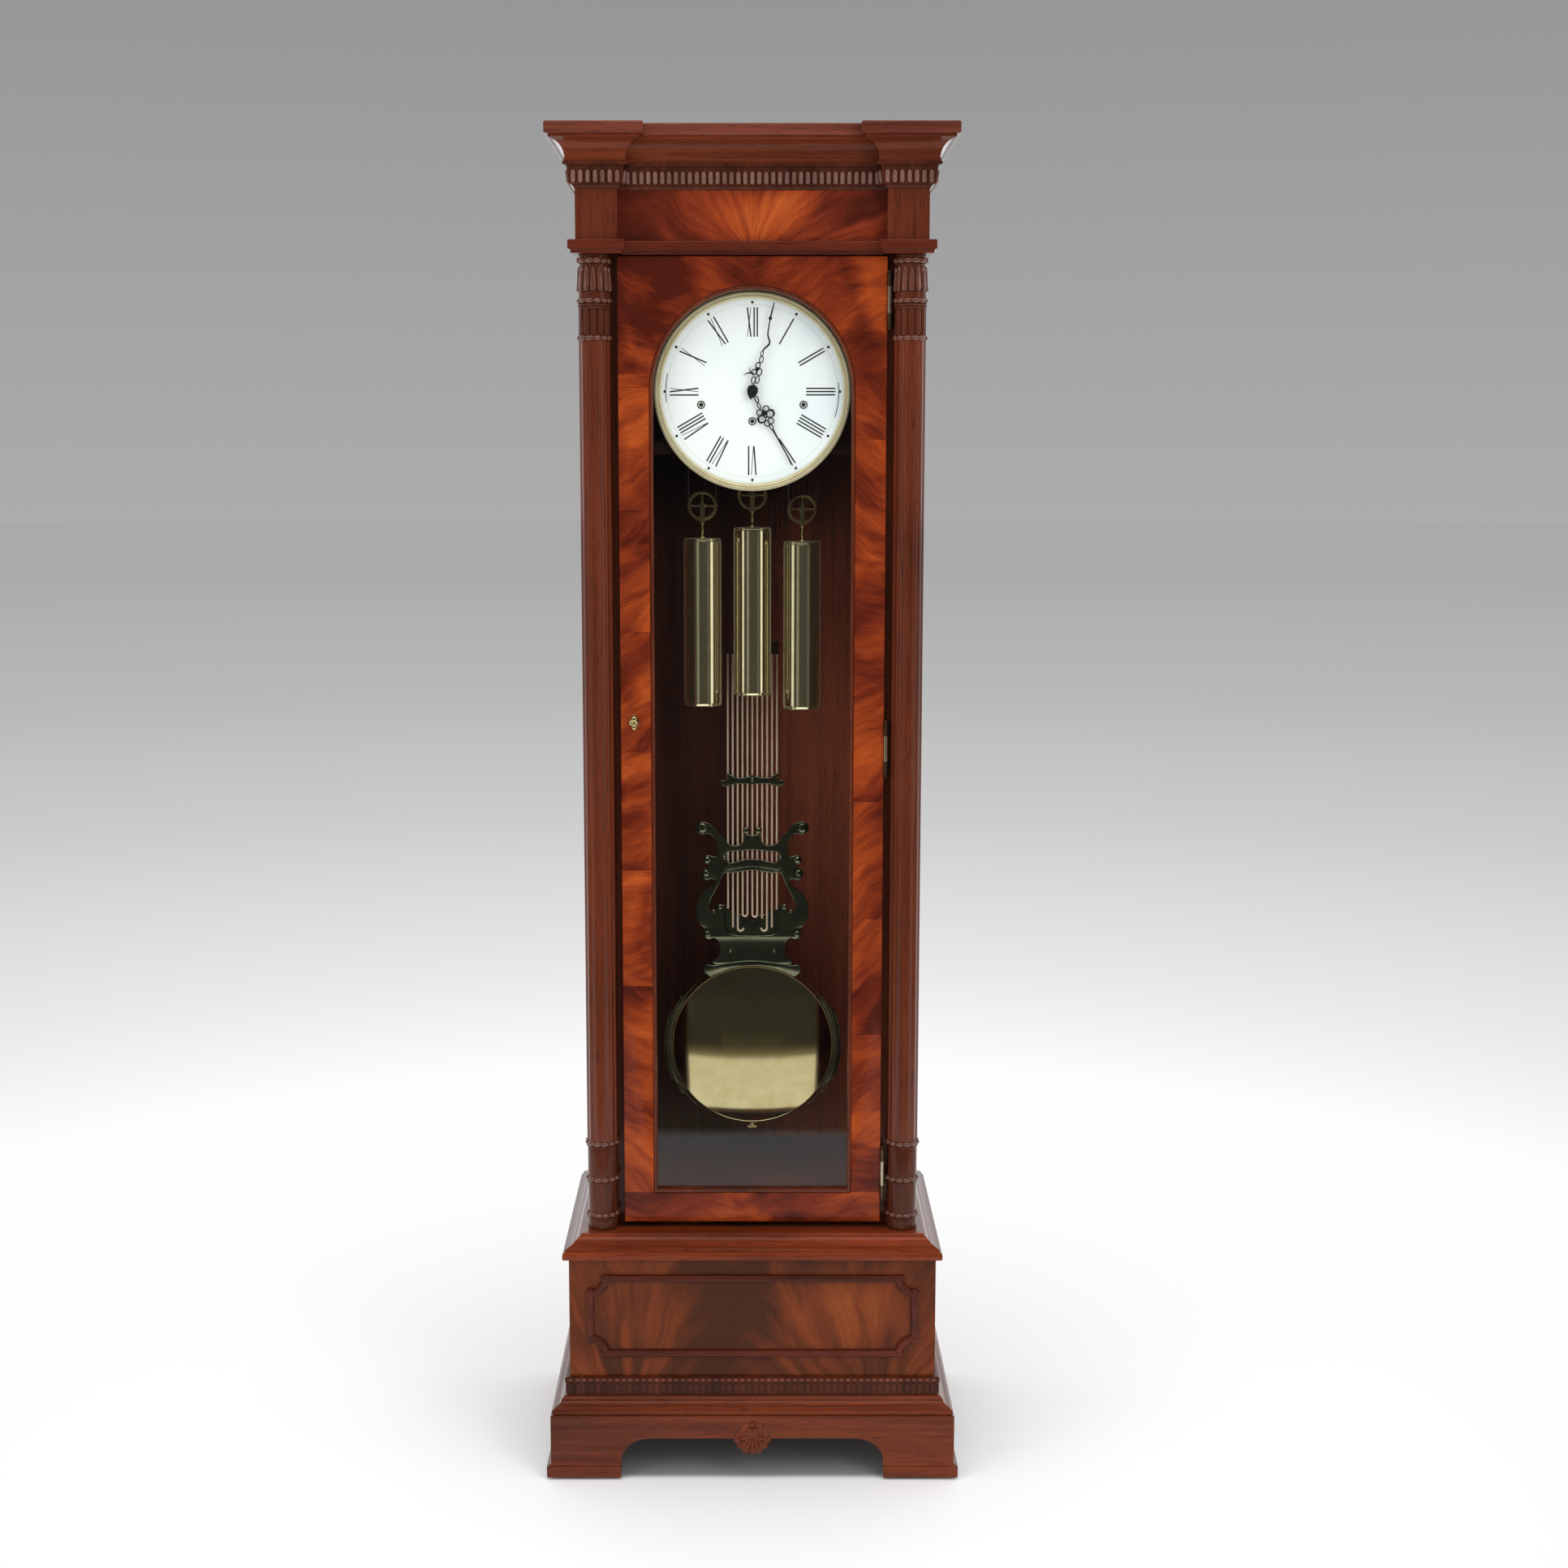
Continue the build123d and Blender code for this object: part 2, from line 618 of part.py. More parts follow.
def arch_face(half_width, bottom):
    """A round-headed opening about the dial's centre line."""
    return outline(
        (-half_width, bottom),
        (half_width, bottom),
        (half_width, DIAL_Z),
        (-half_width, DIAL_Z, -half_width),
    )


def tube(radius, bore, length_maker):
    """A tube from a function that makes a bar of a given radius."""
    return length_maker(radius) - length_maker(bore)


# ---- base -------------------------------------------------------------------------------------------
def bracket_cutout(half_gap, curve):
    """The opening under an apron: upright foot ends and a quarter curve up to the apron."""
    spring = Z_BRACKET + FOOT_CURVE_START
    apron = Z_BASE_MOULD - APRON_DROP
    below = -GLIDE_HEIGHT
    left = EllipticalCenterArc((-half_gap + curve, spring), curve, apron - spring, 90, arc_size=90)
    right = EllipticalCenterArc((half_gap - curve, spring), curve, apron - spring, 0, arc_size=90)
    edges = Curve() + [
        left,
        right,
        Line((-half_gap + curve, apron), (half_gap - curve, apron)),
        Line((-half_gap, spring), (-half_gap, below)),
        Line((-half_gap, below), (half_gap, below)),
        Line((half_gap, below), (half_gap, spring)),
    ]
    return make_face(edges)


def make_feet():
    """Bracket feet, their corner blocks and glides, the rear rail and the carved shell."""
    inner = BRACKET_OUT - BRACKET_THICKNESS
    profile = outline(
        (inner, Z_BRACKET),
        (FOOT_BAND_OUT, Z_BRACKET),
        (FOOT_BAND_OUT, Z_BRACKET + FOOT_BAND_HEIGHT - FOOT_BAND_COVE),
        (BRACKET_OUT, Z_BRACKET + FOOT_BAND_HEIGHT, -1.0),
        (BRACKET_OUT, Z_BASE_MOULD),
        (inner, Z_BASE_MOULD),
    )
    left, front, right = moulding(plain_plan(), profile)
    foot_half = TRUNK_HALF_WIDTH + FOOT_BAND_OUT
    front_gap = foot_half - FRONT_FOOT_WIDTH
    cut = upright(bracket_cutout(front_gap, FOOT_CURVE_WIDTH), -BACK - 1, FRONT)
    add("front_bracket", front - cut)
    side_gap = BACK - SIDE_FOOT_WIDTH
    side_cut = bracket_cutout(side_gap, FOOT_CURVE_WIDTH)
    add("side_brackets", left - sideways(side_cut, -foot_half - 1, -TRUNK_HALF_WIDTH))
    add("side_brackets", right - sideways(side_cut, TRUNK_HALF_WIDTH, foot_half + 1))

    rail_half = TRUNK_HALF_WIDTH + inner
    rail_front = BACK - BOARD_THICKNESS
    front_inner = FRONT - inner
    rail_bottom = Z_BASE_MOULD - REAR_RAIL_HEIGHT
    add("foot_frame", block(-rail_half, rail_half, rail_front, BACK, rail_bottom, Z_BASE_MOULD))
    for side in (-1, 1):
        outer = side * rail_half
        inside = outer - side * FOOT_BLOCK_SIZE
        for y0, y1 in ((front_inner, front_inner + FOOT_BLOCK_SIZE),
                       (rail_front - FOOT_BLOCK_SIZE, rail_front)):
            x0, x1 = sorted((outer, inside))
            add("foot_frame", block(x0, x1, y0, y1, Z_BRACKET, Z_BASE_MOULD))
            add("glides", bar_z((x0 + x1) / 2, (y0 + y1) / 2, GLIDE_RADIUS, 0, GLIDE_HEIGHT))

    apron = Z_BASE_MOULD - APRON_DROP
    centre = Z_BRACKET + SHELL_CENTRE_HEIGHT
    fan = Pos(0, centre) * Circle(SHELL_RADIUS - SHELL_LOBE_RADIUS / 2)
    for i in range(SHELL_LOBES):
        angle = radians(-180 + 180 * (i + 0.5) / SHELL_LOBES)
        reach = SHELL_RADIUS - SHELL_LOBE_RADIUS
        fan += Pos(reach * cos(angle), centre + reach * sin(angle)) * Circle(SHELL_LOBE_RADIUS)
    face_y = FRONT - BRACKET_OUT
    shell = upright(fan, face_y - SHELL_PROUD, face_y)
    hanging = upright(fan, face_y, face_y + BRACKET_THICKNESS - SHELL_BACK_SETBACK)
    hanging = split(hanging, bisect_by=Plane(origin=(0, 0, apron), z_dir=(0, 0, 1)), keep=Keep.BOTTOM)
    add("shell_ornament", shell + hanging)


def make_base():
    """The base box with its mouldings, the notched panel moulding and the waist ledge."""
    box_inner = BASE_BOX_OUT - BOARD_THICKNESS
    box = outline(
        (box_inner, Z_BASE_MOULD),
        (BASE_BOX_OUT, Z_BASE_MOULD),
        (BASE_BOX_OUT, Z_WAIST),
        (box_inner, Z_WAIST),
    )
    left, front, right = moulding(plain_plan(), box)
    add("base_front", front)
    add("base_sides", left, right)

    add("base_moulding", moulding(plain_plan(), profile(BASE_MOULD_PROFILE, Z_BASE_MOULD)))
    add("carved_band", moulding(plain_plan(), profile(CARVED_BAND_PROFILE, Z_CARVED)))

    half = TRUNK_HALF_WIDTH + BASE_BOX_OUT - PANEL_MOULD_MARGIN
    low = Z_BOX + PANEL_MOULD_BOTTOM
    high = Z_WAIST - PANEL_MOULD_TOP_MARGIN
    face_y = FRONT - BASE_BOX_OUT
    rims = []
    for inset in (0.0, PANEL_MOULD_WIDTH):
        rim = Pos(0, (low + high) / 2) * Rectangle(2 * (half - inset), high - low - 2 * inset)
        for x in (-half, half):
            for z in (low, high):
                rim -= Pos(x, z) * Circle(PANEL_CORNER_RADIUS + inset)
        rims.append(rim)
    add("panel_moulding", upright(rims[0] - rims[1], face_y - PANEL_MOULD_PROUD, face_y))

    add("waist_moulding", moulding(plain_plan(), profile(WAIST_PROFILE, Z_WAIST)))

    base_half = TRUNK_HALF_WIDTH + box_inner
    ring_half = TRUNK_HALF_WIDTH - CROWN_DEPTH
    front_inner = FRONT - box_inner
    add("floor_boards", block(-base_half, base_half, front_inner, INNER_BACK,
                              Z_BASE_MOULD, Z_BASE_MOULD + BOARD_THICKNESS))
    add("floor_boards", block(-ring_half, ring_half, FRONT + CROWN_DEPTH, BACK,
                              Z_TRUNK - WAIST_BOARD_THICKNESS, Z_TRUNK))
    add("floor_boards", block(-SIDE_INNER, SIDE_INNER, FRAME_BACK, INNER_BACK,
                              FLOOR_TOP - FLOOR_THICKNESS, FLOOR_TOP))
    add("back_boards", block(-base_half, base_half, INNER_BACK, BACK, Z_BASE_MOULD, Z_WAIST))


# ---- trunk ------------------------------------------------------------------------------------------
def make_trunk():
    """Trunk sides, face frame and back."""
    for side in (-1, 1):
        x0, x1 = sorted((side * SIDE_INNER, side * SIDE_OUTER))
        add("trunk_sides", block(x0, x1, FRAME_BACK, BACK, Z_TRUNK, Z_ARCHITRAVE))
        x0, x1 = sorted((side * STILE_INNER, side * SIDE_OUTER))
        add("face_frame", block(x0, x1, FRAME_FRONT, FRAME_BACK, Z_TRUNK, Z_ARCHITRAVE))
    add("face_frame", block(-STILE_INNER, STILE_INNER, FRAME_FRONT, FRAME_BACK,
                            Z_TRUNK, Z_TRUNK + BOTTOM_RAIL_HEIGHT))
    add("face_frame", block(-STILE_INNER, STILE_INNER, FRAME_FRONT, FRAME_BACK,
                            Z_ARCHITRAVE - TOP_RAIL_HEIGHT, Z_ARCHITRAVE))
    add("back_boards", block(-SIDE_INNER, SIDE_INNER, INNER_BACK, BACK,
                             Z_TRUNK, Z_TOP - TOP_BOARD_THICKNESS))


def flat_backed(turning):
    """Cut a column part flat where it is glued to the face frame."""
    plane = Plane(origin=(0, FRAME_FRONT, 0), z_dir=(0, 1, 0))
    return split(turning, bisect_by=plane, keep=Keep.BOTTOM)


def ring(bottom):
    """Profile points of a bead ring on a column."""
    bow = COLUMN_NECK_RADIUS - COLUMN_RING_RADIUS
    return [
        (COLUMN_NECK_RADIUS, bottom),
        (COLUMN_NECK_RADIUS, bottom + COLUMN_RING_HEIGHT, bow),
    ]


def make_columns():
    """Three-quarter columns: ringed base, fluted shaft, and capital with neck and bell."""
    base_top = Z_TRUNK + COLUMN_BASE_HEIGHT
    cap_bottom = Z_ARCHITRAVE - COLUMN_CAP_HEIGHT
    ringed = COLUMN_BASE_HEIGHT - COLUMN_PLINTH_HEIGHT
    ring_gap = (ringed - COLUMN_RINGS * COLUMN_RING_HEIGHT) / (COLUMN_RINGS - 1)
    flute_half = COLUMN_RADIUS * sin(pi / COLUMN_FLUTES)
    chord = COLUMN_RADIUS * cos(pi / COLUMN_FLUTES)
    flute_radius = (flute_half ** 2 + COLUMN_FLUTE_DEPTH ** 2) / (2 * COLUMN_FLUTE_DEPTH)
    section = Circle(COLUMN_RADIUS)
    for i in range(COLUMN_FLUTES):
        angle = 2 * pi * i / COLUMN_FLUTES - pi / 2
        reach = chord - COLUMN_FLUTE_DEPTH + flute_radius
        section -= Pos(reach * cos(angle), reach * sin(angle)) * Circle(flute_radius)
    for side in (-1, 1):
        x = side * COLUMN_X
        points = [(COLUMN_RADIUS, Z_TRUNK), (COLUMN_RADIUS, Z_TRUNK + COLUMN_PLINTH_HEIGHT)]
        height = Z_TRUNK + COLUMN_PLINTH_HEIGHT
        for _ in range(COLUMN_RINGS):
            points += ring(height)
            height += COLUMN_RING_HEIGHT + ring_gap
        add("column_bases", flat_backed(turned(x, COLUMN_Y, *points)))

        shaft = extrude(Pos(x, COLUMN_Y, base_top) * section, cap_bottom - base_top)
        add("column_shafts", flat_backed(shaft))

        neck_top = cap_bottom + COLUMN_RING_HEIGHT + CAP_NECK_HEIGHT
        bell_bottom = neck_top + 2 * COLUMN_RING_HEIGHT
        bell_top = bell_bottom + CAP_BELL_HEIGHT
        abacus_top = bell_top + CAP_ABACUS_HEIGHT
        points = ring(cap_bottom)
        points += ring(neck_top)
        points += ring(neck_top + COLUMN_RING_HEIGHT)[1:]
        points += [
            (CAP_BELL_RADIUS - CAP_BELL_LIP, bell_bottom),
            (CAP_BELL_RADIUS, bell_bottom + CAP_BELL_FOOT, -CAP_BELL_BOW),
            (CAP_BELL_TOP_RADIUS, bell_top, CAP_BELL_BOW),
            (COLUMN_RING_RADIUS, bell_top + CAP_BELL_LIP),
            (COLUMN_RING_RADIUS, abacus_top),
            (COLUMN_RADIUS, abacus_top + CAP_BELL_LIP),
            (COLUMN_RADIUS, Z_ARCHITRAVE),
        ]
        add("column_capitals", flat_backed(turned(x, COLUMN_Y, *points)))


def make_crown():
    """Architrave, frieze, tongue band, cove, slab and the board that closes the top."""
    for name, points, bottom in (
        ("architrave", ARCHITRAVE_PROFILE, Z_ARCHITRAVE),
        ("frieze", FRIEZE_PROFILE, Z_FRIEZE),
        ("tongue_band", TONGUE_PROFILE, Z_TONGUES),
        ("cornice_cove", COVE_PROFILE, Z_COVE),
        ("cornice_slab", SLAB_PROFILE, Z_SLAB),
    ):
        add(name, moulding(broken_plan(), profile(points, bottom)))
    half = TRUNK_HALF_WIDTH - CROWN_DEPTH
    step = BLOCK_INNER + CROWN_DEPTH
    board = outline(
        (-half, BACK),
        (-half, FRONT + CROWN_DEPTH),
        (-step, FRONT + CROWN_DEPTH),
        (-step, CENTRE_FRONT + CROWN_DEPTH),
        (step, CENTRE_FRONT + CROWN_DEPTH),
        (step, FRONT + CROWN_DEPTH),
        (half, FRONT + CROWN_DEPTH),
        (half, BACK),
    )
    add("top_board", extrude(Pos(0, 0, Z_TOP - TOP_BOARD_THICKNESS) * board, TOP_BOARD_THICKNESS))


# ---- door -------------------------------------------------------------------------------------------
def make_door():
    """Door stiles and rails, glass with its beads, and the lock."""
    frame_half = FRAME_HALF_WIDTH
    rebate_half = frame_half + GLASS_LAP
    glass_front = DOOR_FRONT + GLASS_FROM_FRONT
    glass_back = glass_front + GLASS_THICKNESS
    retainer_back = glass_back + RETAINER_THICKNESS
    window = upright(arch_face(frame_half, WINDOW_BOTTOM - BEAD_WIDTH), DOOR_FRONT - 1, DOOR_BACK + 1)
    rebate = upright(arch_face(rebate_half, WINDOW_BOTTOM - BEAD_WIDTH - GLASS_LAP),
                     glass_front, DOOR_BACK + 1)
    spindle_hole = bar_y(LOCK_X, LOCK_Z, SPINDLE_RADIUS + SHAFT_FIT, DOOR_FRONT - 1, DOOR_BACK + 1)
    opening = window + rebate + spindle_hole
    for x0, x1 in ((-DOOR_HALF_WIDTH, -frame_half), (frame_half, DOOR_HALF_WIDTH)):
        stile = block(x0, x1, DOOR_FRONT, DOOR_BACK, DOOR_BOTTOM, DOOR_TOP)
        add("door_frame", stile - opening)
    bottom_rail = block(-frame_half, frame_half, DOOR_FRONT, DOOR_BACK, DOOR_BOTTOM, WINDOW_BOTTOM)
    add("door_frame", bottom_rail - opening)
    top_rail = block(-frame_half, frame_half, DOOR_FRONT, DOOR_BACK, DIAL_Z, DOOR_TOP)
    add("door_frame", top_rail - opening)

    lap_half = rebate_half - FIT
    lap_bottom = WINDOW_BOTTOM - BEAD_WIDTH - GLASS_LAP + FIT
    add("door_glass", upright(arch_face(lap_half, lap_bottom), glass_front, glass_back))
    sight = arch_face(WINDOW_HALF_WIDTH, WINDOW_BOTTOM)
    bead = arch_face(frame_half, WINDOW_BOTTOM - BEAD_WIDTH) - sight
    add("glass_beads", upright(bead, DOOR_FRONT + BEAD_SETBACK, glass_front))
    retainer = arch_face(lap_half, lap_bottom) - sight
    add("glass_beads", upright(retainer, glass_back, retainer_back))

    plate_front = DOOR_FRONT - ESCUTCHEON_THICKNESS
    plate = Pos(LOCK_X, LOCK_Z) * Ellipse(ESCUTCHEON_WIDTH / 2, ESCUTCHEON_HEIGHT / 2)
    plate -= Pos(LOCK_X, LOCK_Z) * Circle(SPINDLE_RADIUS + SHAFT_FIT)
    add("escutcheon", upright(plate, plate_front, DOOR_FRONT))
    knob_back = plate_front - FIT
    knob = bar_y(LOCK_X, LOCK_Z, KNOB_STEM_RADIUS, knob_back - KNOB_LENGTH / 2, knob_back)
    knob += Pos(LOCK_X, knob_back - KNOB_LENGTH + KNOB_RADIUS, LOCK_Z) * Sphere(KNOB_RADIUS)
    spindle = bar_y(LOCK_X, LOCK_Z, SPINDLE_RADIUS, knob_back - KNOB_LENGTH / 2,
                    LATCH_FRONT + LATCH_THICKNESS)
    half = LATCH_WIDTH / 2
    arm = block(LOCK_X - half, LOCK_X + half, LATCH_FRONT, LATCH_FRONT + LATCH_THICKNESS,
                LOCK_Z - LATCH_LENGTH, LOCK_Z + half)
    add("door_knob", knob + spindle + arm)


def make_hinges():
    """Three butt hinges: the door's knuckle and leaf, and the case's knuckles, leaf and ball-tipped pin."""
    half = HINGE_LENGTH / 2
    knuckle = HINGE_LENGTH / 4
    leaf_x = HINGE_X + HINGE_KNUCKLE_RADIUS - HINGE_LEAF - FIT
    foot_x = leaf_x + HINGE_FOOT
    for z in (HINGE_LOW, (HINGE_LOW + HINGE_HIGH) / 2, HINGE_HIGH):
        bore = bar_z(HINGE_X, HINGE_Y, HINGE_PIN_RADIUS + SHAFT_FIT, z - half - 1, z + half + 1)
        barrel = bar_z(HINGE_X, HINGE_Y, HINGE_KNUCKLE_RADIUS, z - knuckle, z + knuckle)
        leaf = block(DOOR_HALF_WIDTH, DOOR_HALF_WIDTH + HINGE_LEAF, HINGE_Y,
                     DOOR_FRONT + HINGE_LEAF_DEPTH, z - knuckle, z + knuckle)
        add("door_hinges", barrel + leaf - bore)
        for low, high in ((z - half, z - knuckle - FIT), (z + knuckle + FIT, z + half)):
            barrel = bar_z(HINGE_X, HINGE_Y, HINGE_KNUCKLE_RADIUS, low, high)
            leaf = block(leaf_x, leaf_x + HINGE_LEAF, HINGE_Y, FRAME_FRONT, low, high)
            foot = block(leaf_x, foot_x, FRAME_FRONT - HINGE_LEAF, FRAME_FRONT, low, high)
            add("case_hinges", barrel + leaf + foot - bore)
        ball = half + HINGE_BALL_RADIUS
        pin = bar_z(HINGE_X, HINGE_Y, HINGE_PIN_RADIUS, z - ball, z + ball)
        pin += Pos(HINGE_X, HINGE_Y, z - ball) * Sphere(HINGE_BALL_RADIUS)
        pin += Pos(HINGE_X, HINGE_Y, z + ball) * Sphere(HINGE_BALL_RADIUS)
        add("case_hinges", pin)


# ---- dial and movement ------------------------------------------------------------------------------
def arbor_places():
    """Name, x and z of each winding arbor, and how far its weight hangs below the seat board."""
    return (
        ("left", -WEIGHT_PITCH, SIDE_ARBOR_Z, LEFT_WEIGHT_DROP),
        ("centre", 0.0, CENTRE_ARBOR_Z, CENTRE_WEIGHT_DROP),
        ("right", WEIGHT_PITCH, SIDE_ARBOR_Z, RIGHT_WEIGHT_DROP),
    )


def make_dial():
    """Dial plate, bezel, and the collars round the winding holes."""
    plate = Pos(0, DIAL_Z) * Circle(DIAL_RADIUS)
    plate -= Pos(0, DIAL_Z) * Circle(DIAL_HOLE_RADIUS)
    bore = GROMMET_RADIUS - GROMMET_WALL
    for _, x, z, _ in arbor_places():
        plate -= Pos(x, z) * Circle(bore + GROMMET_WALL / 2)
        collar = tube(GROMMET_RADIUS, bore,
                      lambda r: bar_y(x, z, r, DIAL_FRONT - GROMMET_FLANGE, DIAL_FRONT))
        sleeve = tube(bore + GROMMET_WALL / 2, bore, lambda r: bar_y(x, z, r, DIAL_FRONT, DIAL_BACK))
        add("winding_grommets", collar + sleeve)
    add("dial", upright(plate, DIAL_FRONT, DIAL_BACK))
    rim = outline(
        (BEZEL_RADIUS - BEZEL_WIDTH, DIAL_FRONT),
        (BEZEL_RADIUS - BEZEL_WIDTH + BEZEL_STEP, DIAL_FRONT - BEZEL_STEP),
        (BEZEL_RADIUS - BEZEL_EDGE, DIAL_FRONT - BEZEL_DEPTH, -BEZEL_BOW),
        (BEZEL_RADIUS, DIAL_FRONT - BEZEL_DEPTH + BEZEL_EDGE),
        (BEZEL_RADIUS, DIAL_BACK),
        (DIAL_RADIUS, DIAL_BACK),
        (DIAL_RADIUS, DIAL_FRONT),
    )
    add("bezel", Pos(0, 0, DIAL_Z) * revolve(rim, Axis.Y, 360))


def hand_face(length, rings):
    """Outline of a pierced hand that points up: hub, a chain of open rings and a tapering tip."""
    face = Circle(HAND_HUB_RADIUS)
    height = HAND_HUB_RADIUS - HAND_RING_LAP
    for radius in rings:
        height += radius
        face += Pos(0, height) * (Circle(radius) - Circle(radius - HAND_RING_BAR))
        height += radius - HAND_RING_LAP
    root = HAND_ROOT_WIDTH / 2
    point = HAND_TIP_WIDTH / 2
    return face + outline((-root, height), (root, height), (point, length), (-point, length))


def make_hands():
    """Minute hand on its cannon pipe, and hour hand on the pipe that turns round it."""
    minute_y = DIAL_FRONT - MINUTE_HAND_OFF_DIAL
    hour_y = DIAL_FRONT - HOUR_HAND_OFF_DIAL
    pipe_bore = CANNON_RADIUS + SHAFT_FIT
    pipe_outer = pipe_bore + HOUR_PIPE_WALL
    nut_front = minute_y - HAND_THICKNESS - HAND_NUT_HEIGHT
    long_hand = Rot(0, 0, -MINUTE_HAND_ANGLE) * hand_face(MINUTE_HAND_LENGTH, MINUTE_HAND_RINGS)
    long_hand -= Circle(CANNON_RADIUS)
    add("minute_hand", upright(Pos(0, DIAL_Z) * long_hand, minute_y - HAND_THICKNESS, minute_y))
    cannon = bar_y(0, DIAL_Z, CANNON_RADIUS, nut_front, PLATE_INNER)
    cannon += bar_y(0, DIAL_Z, HAND_NUT_RADIUS, nut_front, minute_y - HAND_THICKNESS)
    add("minute_hand", cannon)
    short_hand = Rot(0, 0, -HOUR_HAND_ANGLE) * hand_face(HOUR_HAND_LENGTH, HOUR_HAND_RINGS)
    short_hand -= Circle(pipe_outer)
    add("hour_hand", upright(Pos(0, DIAL_Z) * short_hand, hour_y - HAND_THICKNESS, hour_y))
    add("hour_hand", tube(pipe_outer, pipe_bore,
                          lambda r: bar_y(0, DIAL_Z, r, hour_y - HAND_THICKNESS, PLATE_FRONT - FIT)))


def make_movement():
    """Movement plates with pillars and dial posts, the pendulum cock and the seat board."""
    half = PLATE_WIDTH / 2
    holes = []
    for _, x, z, _ in arbor_places():
        holes.append(bar_y(x, z, ARBOR_RADIUS + SHAFT_FIT, PLATE_FRONT - 1, REAR_PLATE_BACK + 1))
    holes.append(bar_y(0, PIVOT_Z, CRUTCH_ARBOR_RADIUS + SHAFT_FIT, PLATE_FRONT - 1, REAR_PLATE_BACK + 1))
    front = block(-half, half, PLATE_FRONT, PLATE_INNER, SEAT_TOP, PLATE_TOP)
    front -= holes + [bar_y(0, DIAL_Z, CANNON_RADIUS + SHAFT_FIT, PLATE_FRONT - 1, PLATE_INNER + 1)]
    rear = block(-half, half, REAR_PLATE_INNER, REAR_PLATE_BACK, SEAT_TOP, PLATE_TOP) - holes
    for x0 in (NEAR_LUG_X, FAR_LUG_X):
        lug = block(x0, x0 + LUG_THICKNESS, REAR_PLATE_BACK, HAMMER_Y,
                    HAMMER_Z - LUG_RADIUS, HAMMER_Z + LUG_RADIUS)
        lug += bar_x(HAMMER_Y, HAMMER_Z, LUG_RADIUS, x0, x0 + LUG_THICKNESS)
        rear += lug - bar_x(HAMMER_Y, HAMMER_Z, HAMMER_ARBOR_RADIUS + SHAFT_FIT,
                            x0 - 1, x0 + LUG_THICKNESS + 1)
    add("movement_frame", front, rear)
    for x in (-half + PILLAR_INSET, half - PILLAR_INSET):
        for z in (SEAT_TOP + PILLAR_INSET, PLATE_TOP - PILLAR_INSET):
            add("movement_frame", bar_y(x, z, PILLAR_RADIUS, PLATE_INNER, REAR_PLATE_INNER))
    for x in (-DIAL_POST_HALF_SPAN, DIAL_POST_HALF_SPAN):
        for z in (DIAL_Z - DIAL_POST_HALF_RISE, DIAL_Z + DIAL_POST_HALF_RISE):
            add("movement_frame", bar_y(x, z, DIAL_POST_RADIUS, DIAL_BACK, PLATE_FRONT))
    cock_z = PIVOT_Z + COCK_ABOVE_PIVOT
    add("movement_frame", block(-LEADER_WIDTH, LEADER_WIDTH, REAR_PLATE_BACK,
                                PENDULUM_Y + SPRING_WIDTH, cock_z, cock_z + COCK_THICKNESS))

    seat_back = SEAT_FRONT + SEAT_BOARD_DEPTH
    seat = block(-SIDE_INNER, SIDE_INNER, SEAT_FRONT, seat_back, SEAT_BOTTOM, SEAT_TOP)
    for _, x, _, _ in arbor_places():
        seat -= bar_z(x - PULLEY_PITCH_RADIUS, WEIGHT_Y, CABLE_HOLE_RADIUS, SEAT_BOTTOM - 1, SEAT_TOP + 1)
    add("seat_board", seat)
    for x0, x1 in ((-SIDE_INNER, CHEEK_THICKNESS - SIDE_INNER), (SIDE_INNER - CHEEK_THICKNESS, SIDE_INNER)):
        add("seat_board", block(x0, x1, SEAT_FRONT, seat_back, SEAT_BOTTOM - CHEEK_HEIGHT, SEAT_BOTTOM))


# ---- weights and their drive ------------------------------------------------------------------------
def make_pulley(name, x, z):
    """A spoked, grooved wheel on its own axle hole."""
    groove = PULLEY_PITCH_RADIUS - CABLE_RADIUS - FIT
    flange = groove + PULLEY_FLANGE + 2 * CABLE_RADIUS
    y0 = WEIGHT_Y - PULLEY_THICKNESS / 2
    y1 = WEIGHT_Y + PULLEY_THICKNESS / 2
    bore = PULLEY_AXLE_RADIUS + SHAFT_FIT
    rim_face = outline(
        (groove - PULLEY_RIM, -PULLEY_THICKNESS / 2),
        (flange, -PULLEY_THICKNESS / 2),
        (flange, -PULLEY_THICKNESS / 2 + PULLEY_EDGE),
        (groove, -CABLE_RADIUS - FIT),
        (groove, CABLE_RADIUS + FIT),
        (flange, PULLEY_THICKNESS / 2 - PULLEY_EDGE),
        (flange, PULLEY_THICKNESS / 2),
        (groove - PULLEY_RIM, PULLEY_THICKNESS / 2),
    )
    wheel = Pos(x, WEIGHT_Y, z) * revolve(rim_face, Axis.Y, 360)
    wheel += bar_y(x, z, PULLEY_HUB_RADIUS, y0, y1)
    reach = groove - PULLEY_RIM / 2
    for i in range(PULLEY_SPOKES // 2):
        spoke = Pos(x, WEIGHT_Y, z) * Rot(0, 180 * i / (PULLEY_SPOKES // 2), 0)
        wheel += spoke * Box(2 * reach, PULLEY_THICKNESS / 2, PULLEY_SPOKE_WIDTH)
    add(name + "_pulley", wheel - bar_y(x, z, bore, y0 - 1, y1 + 1))


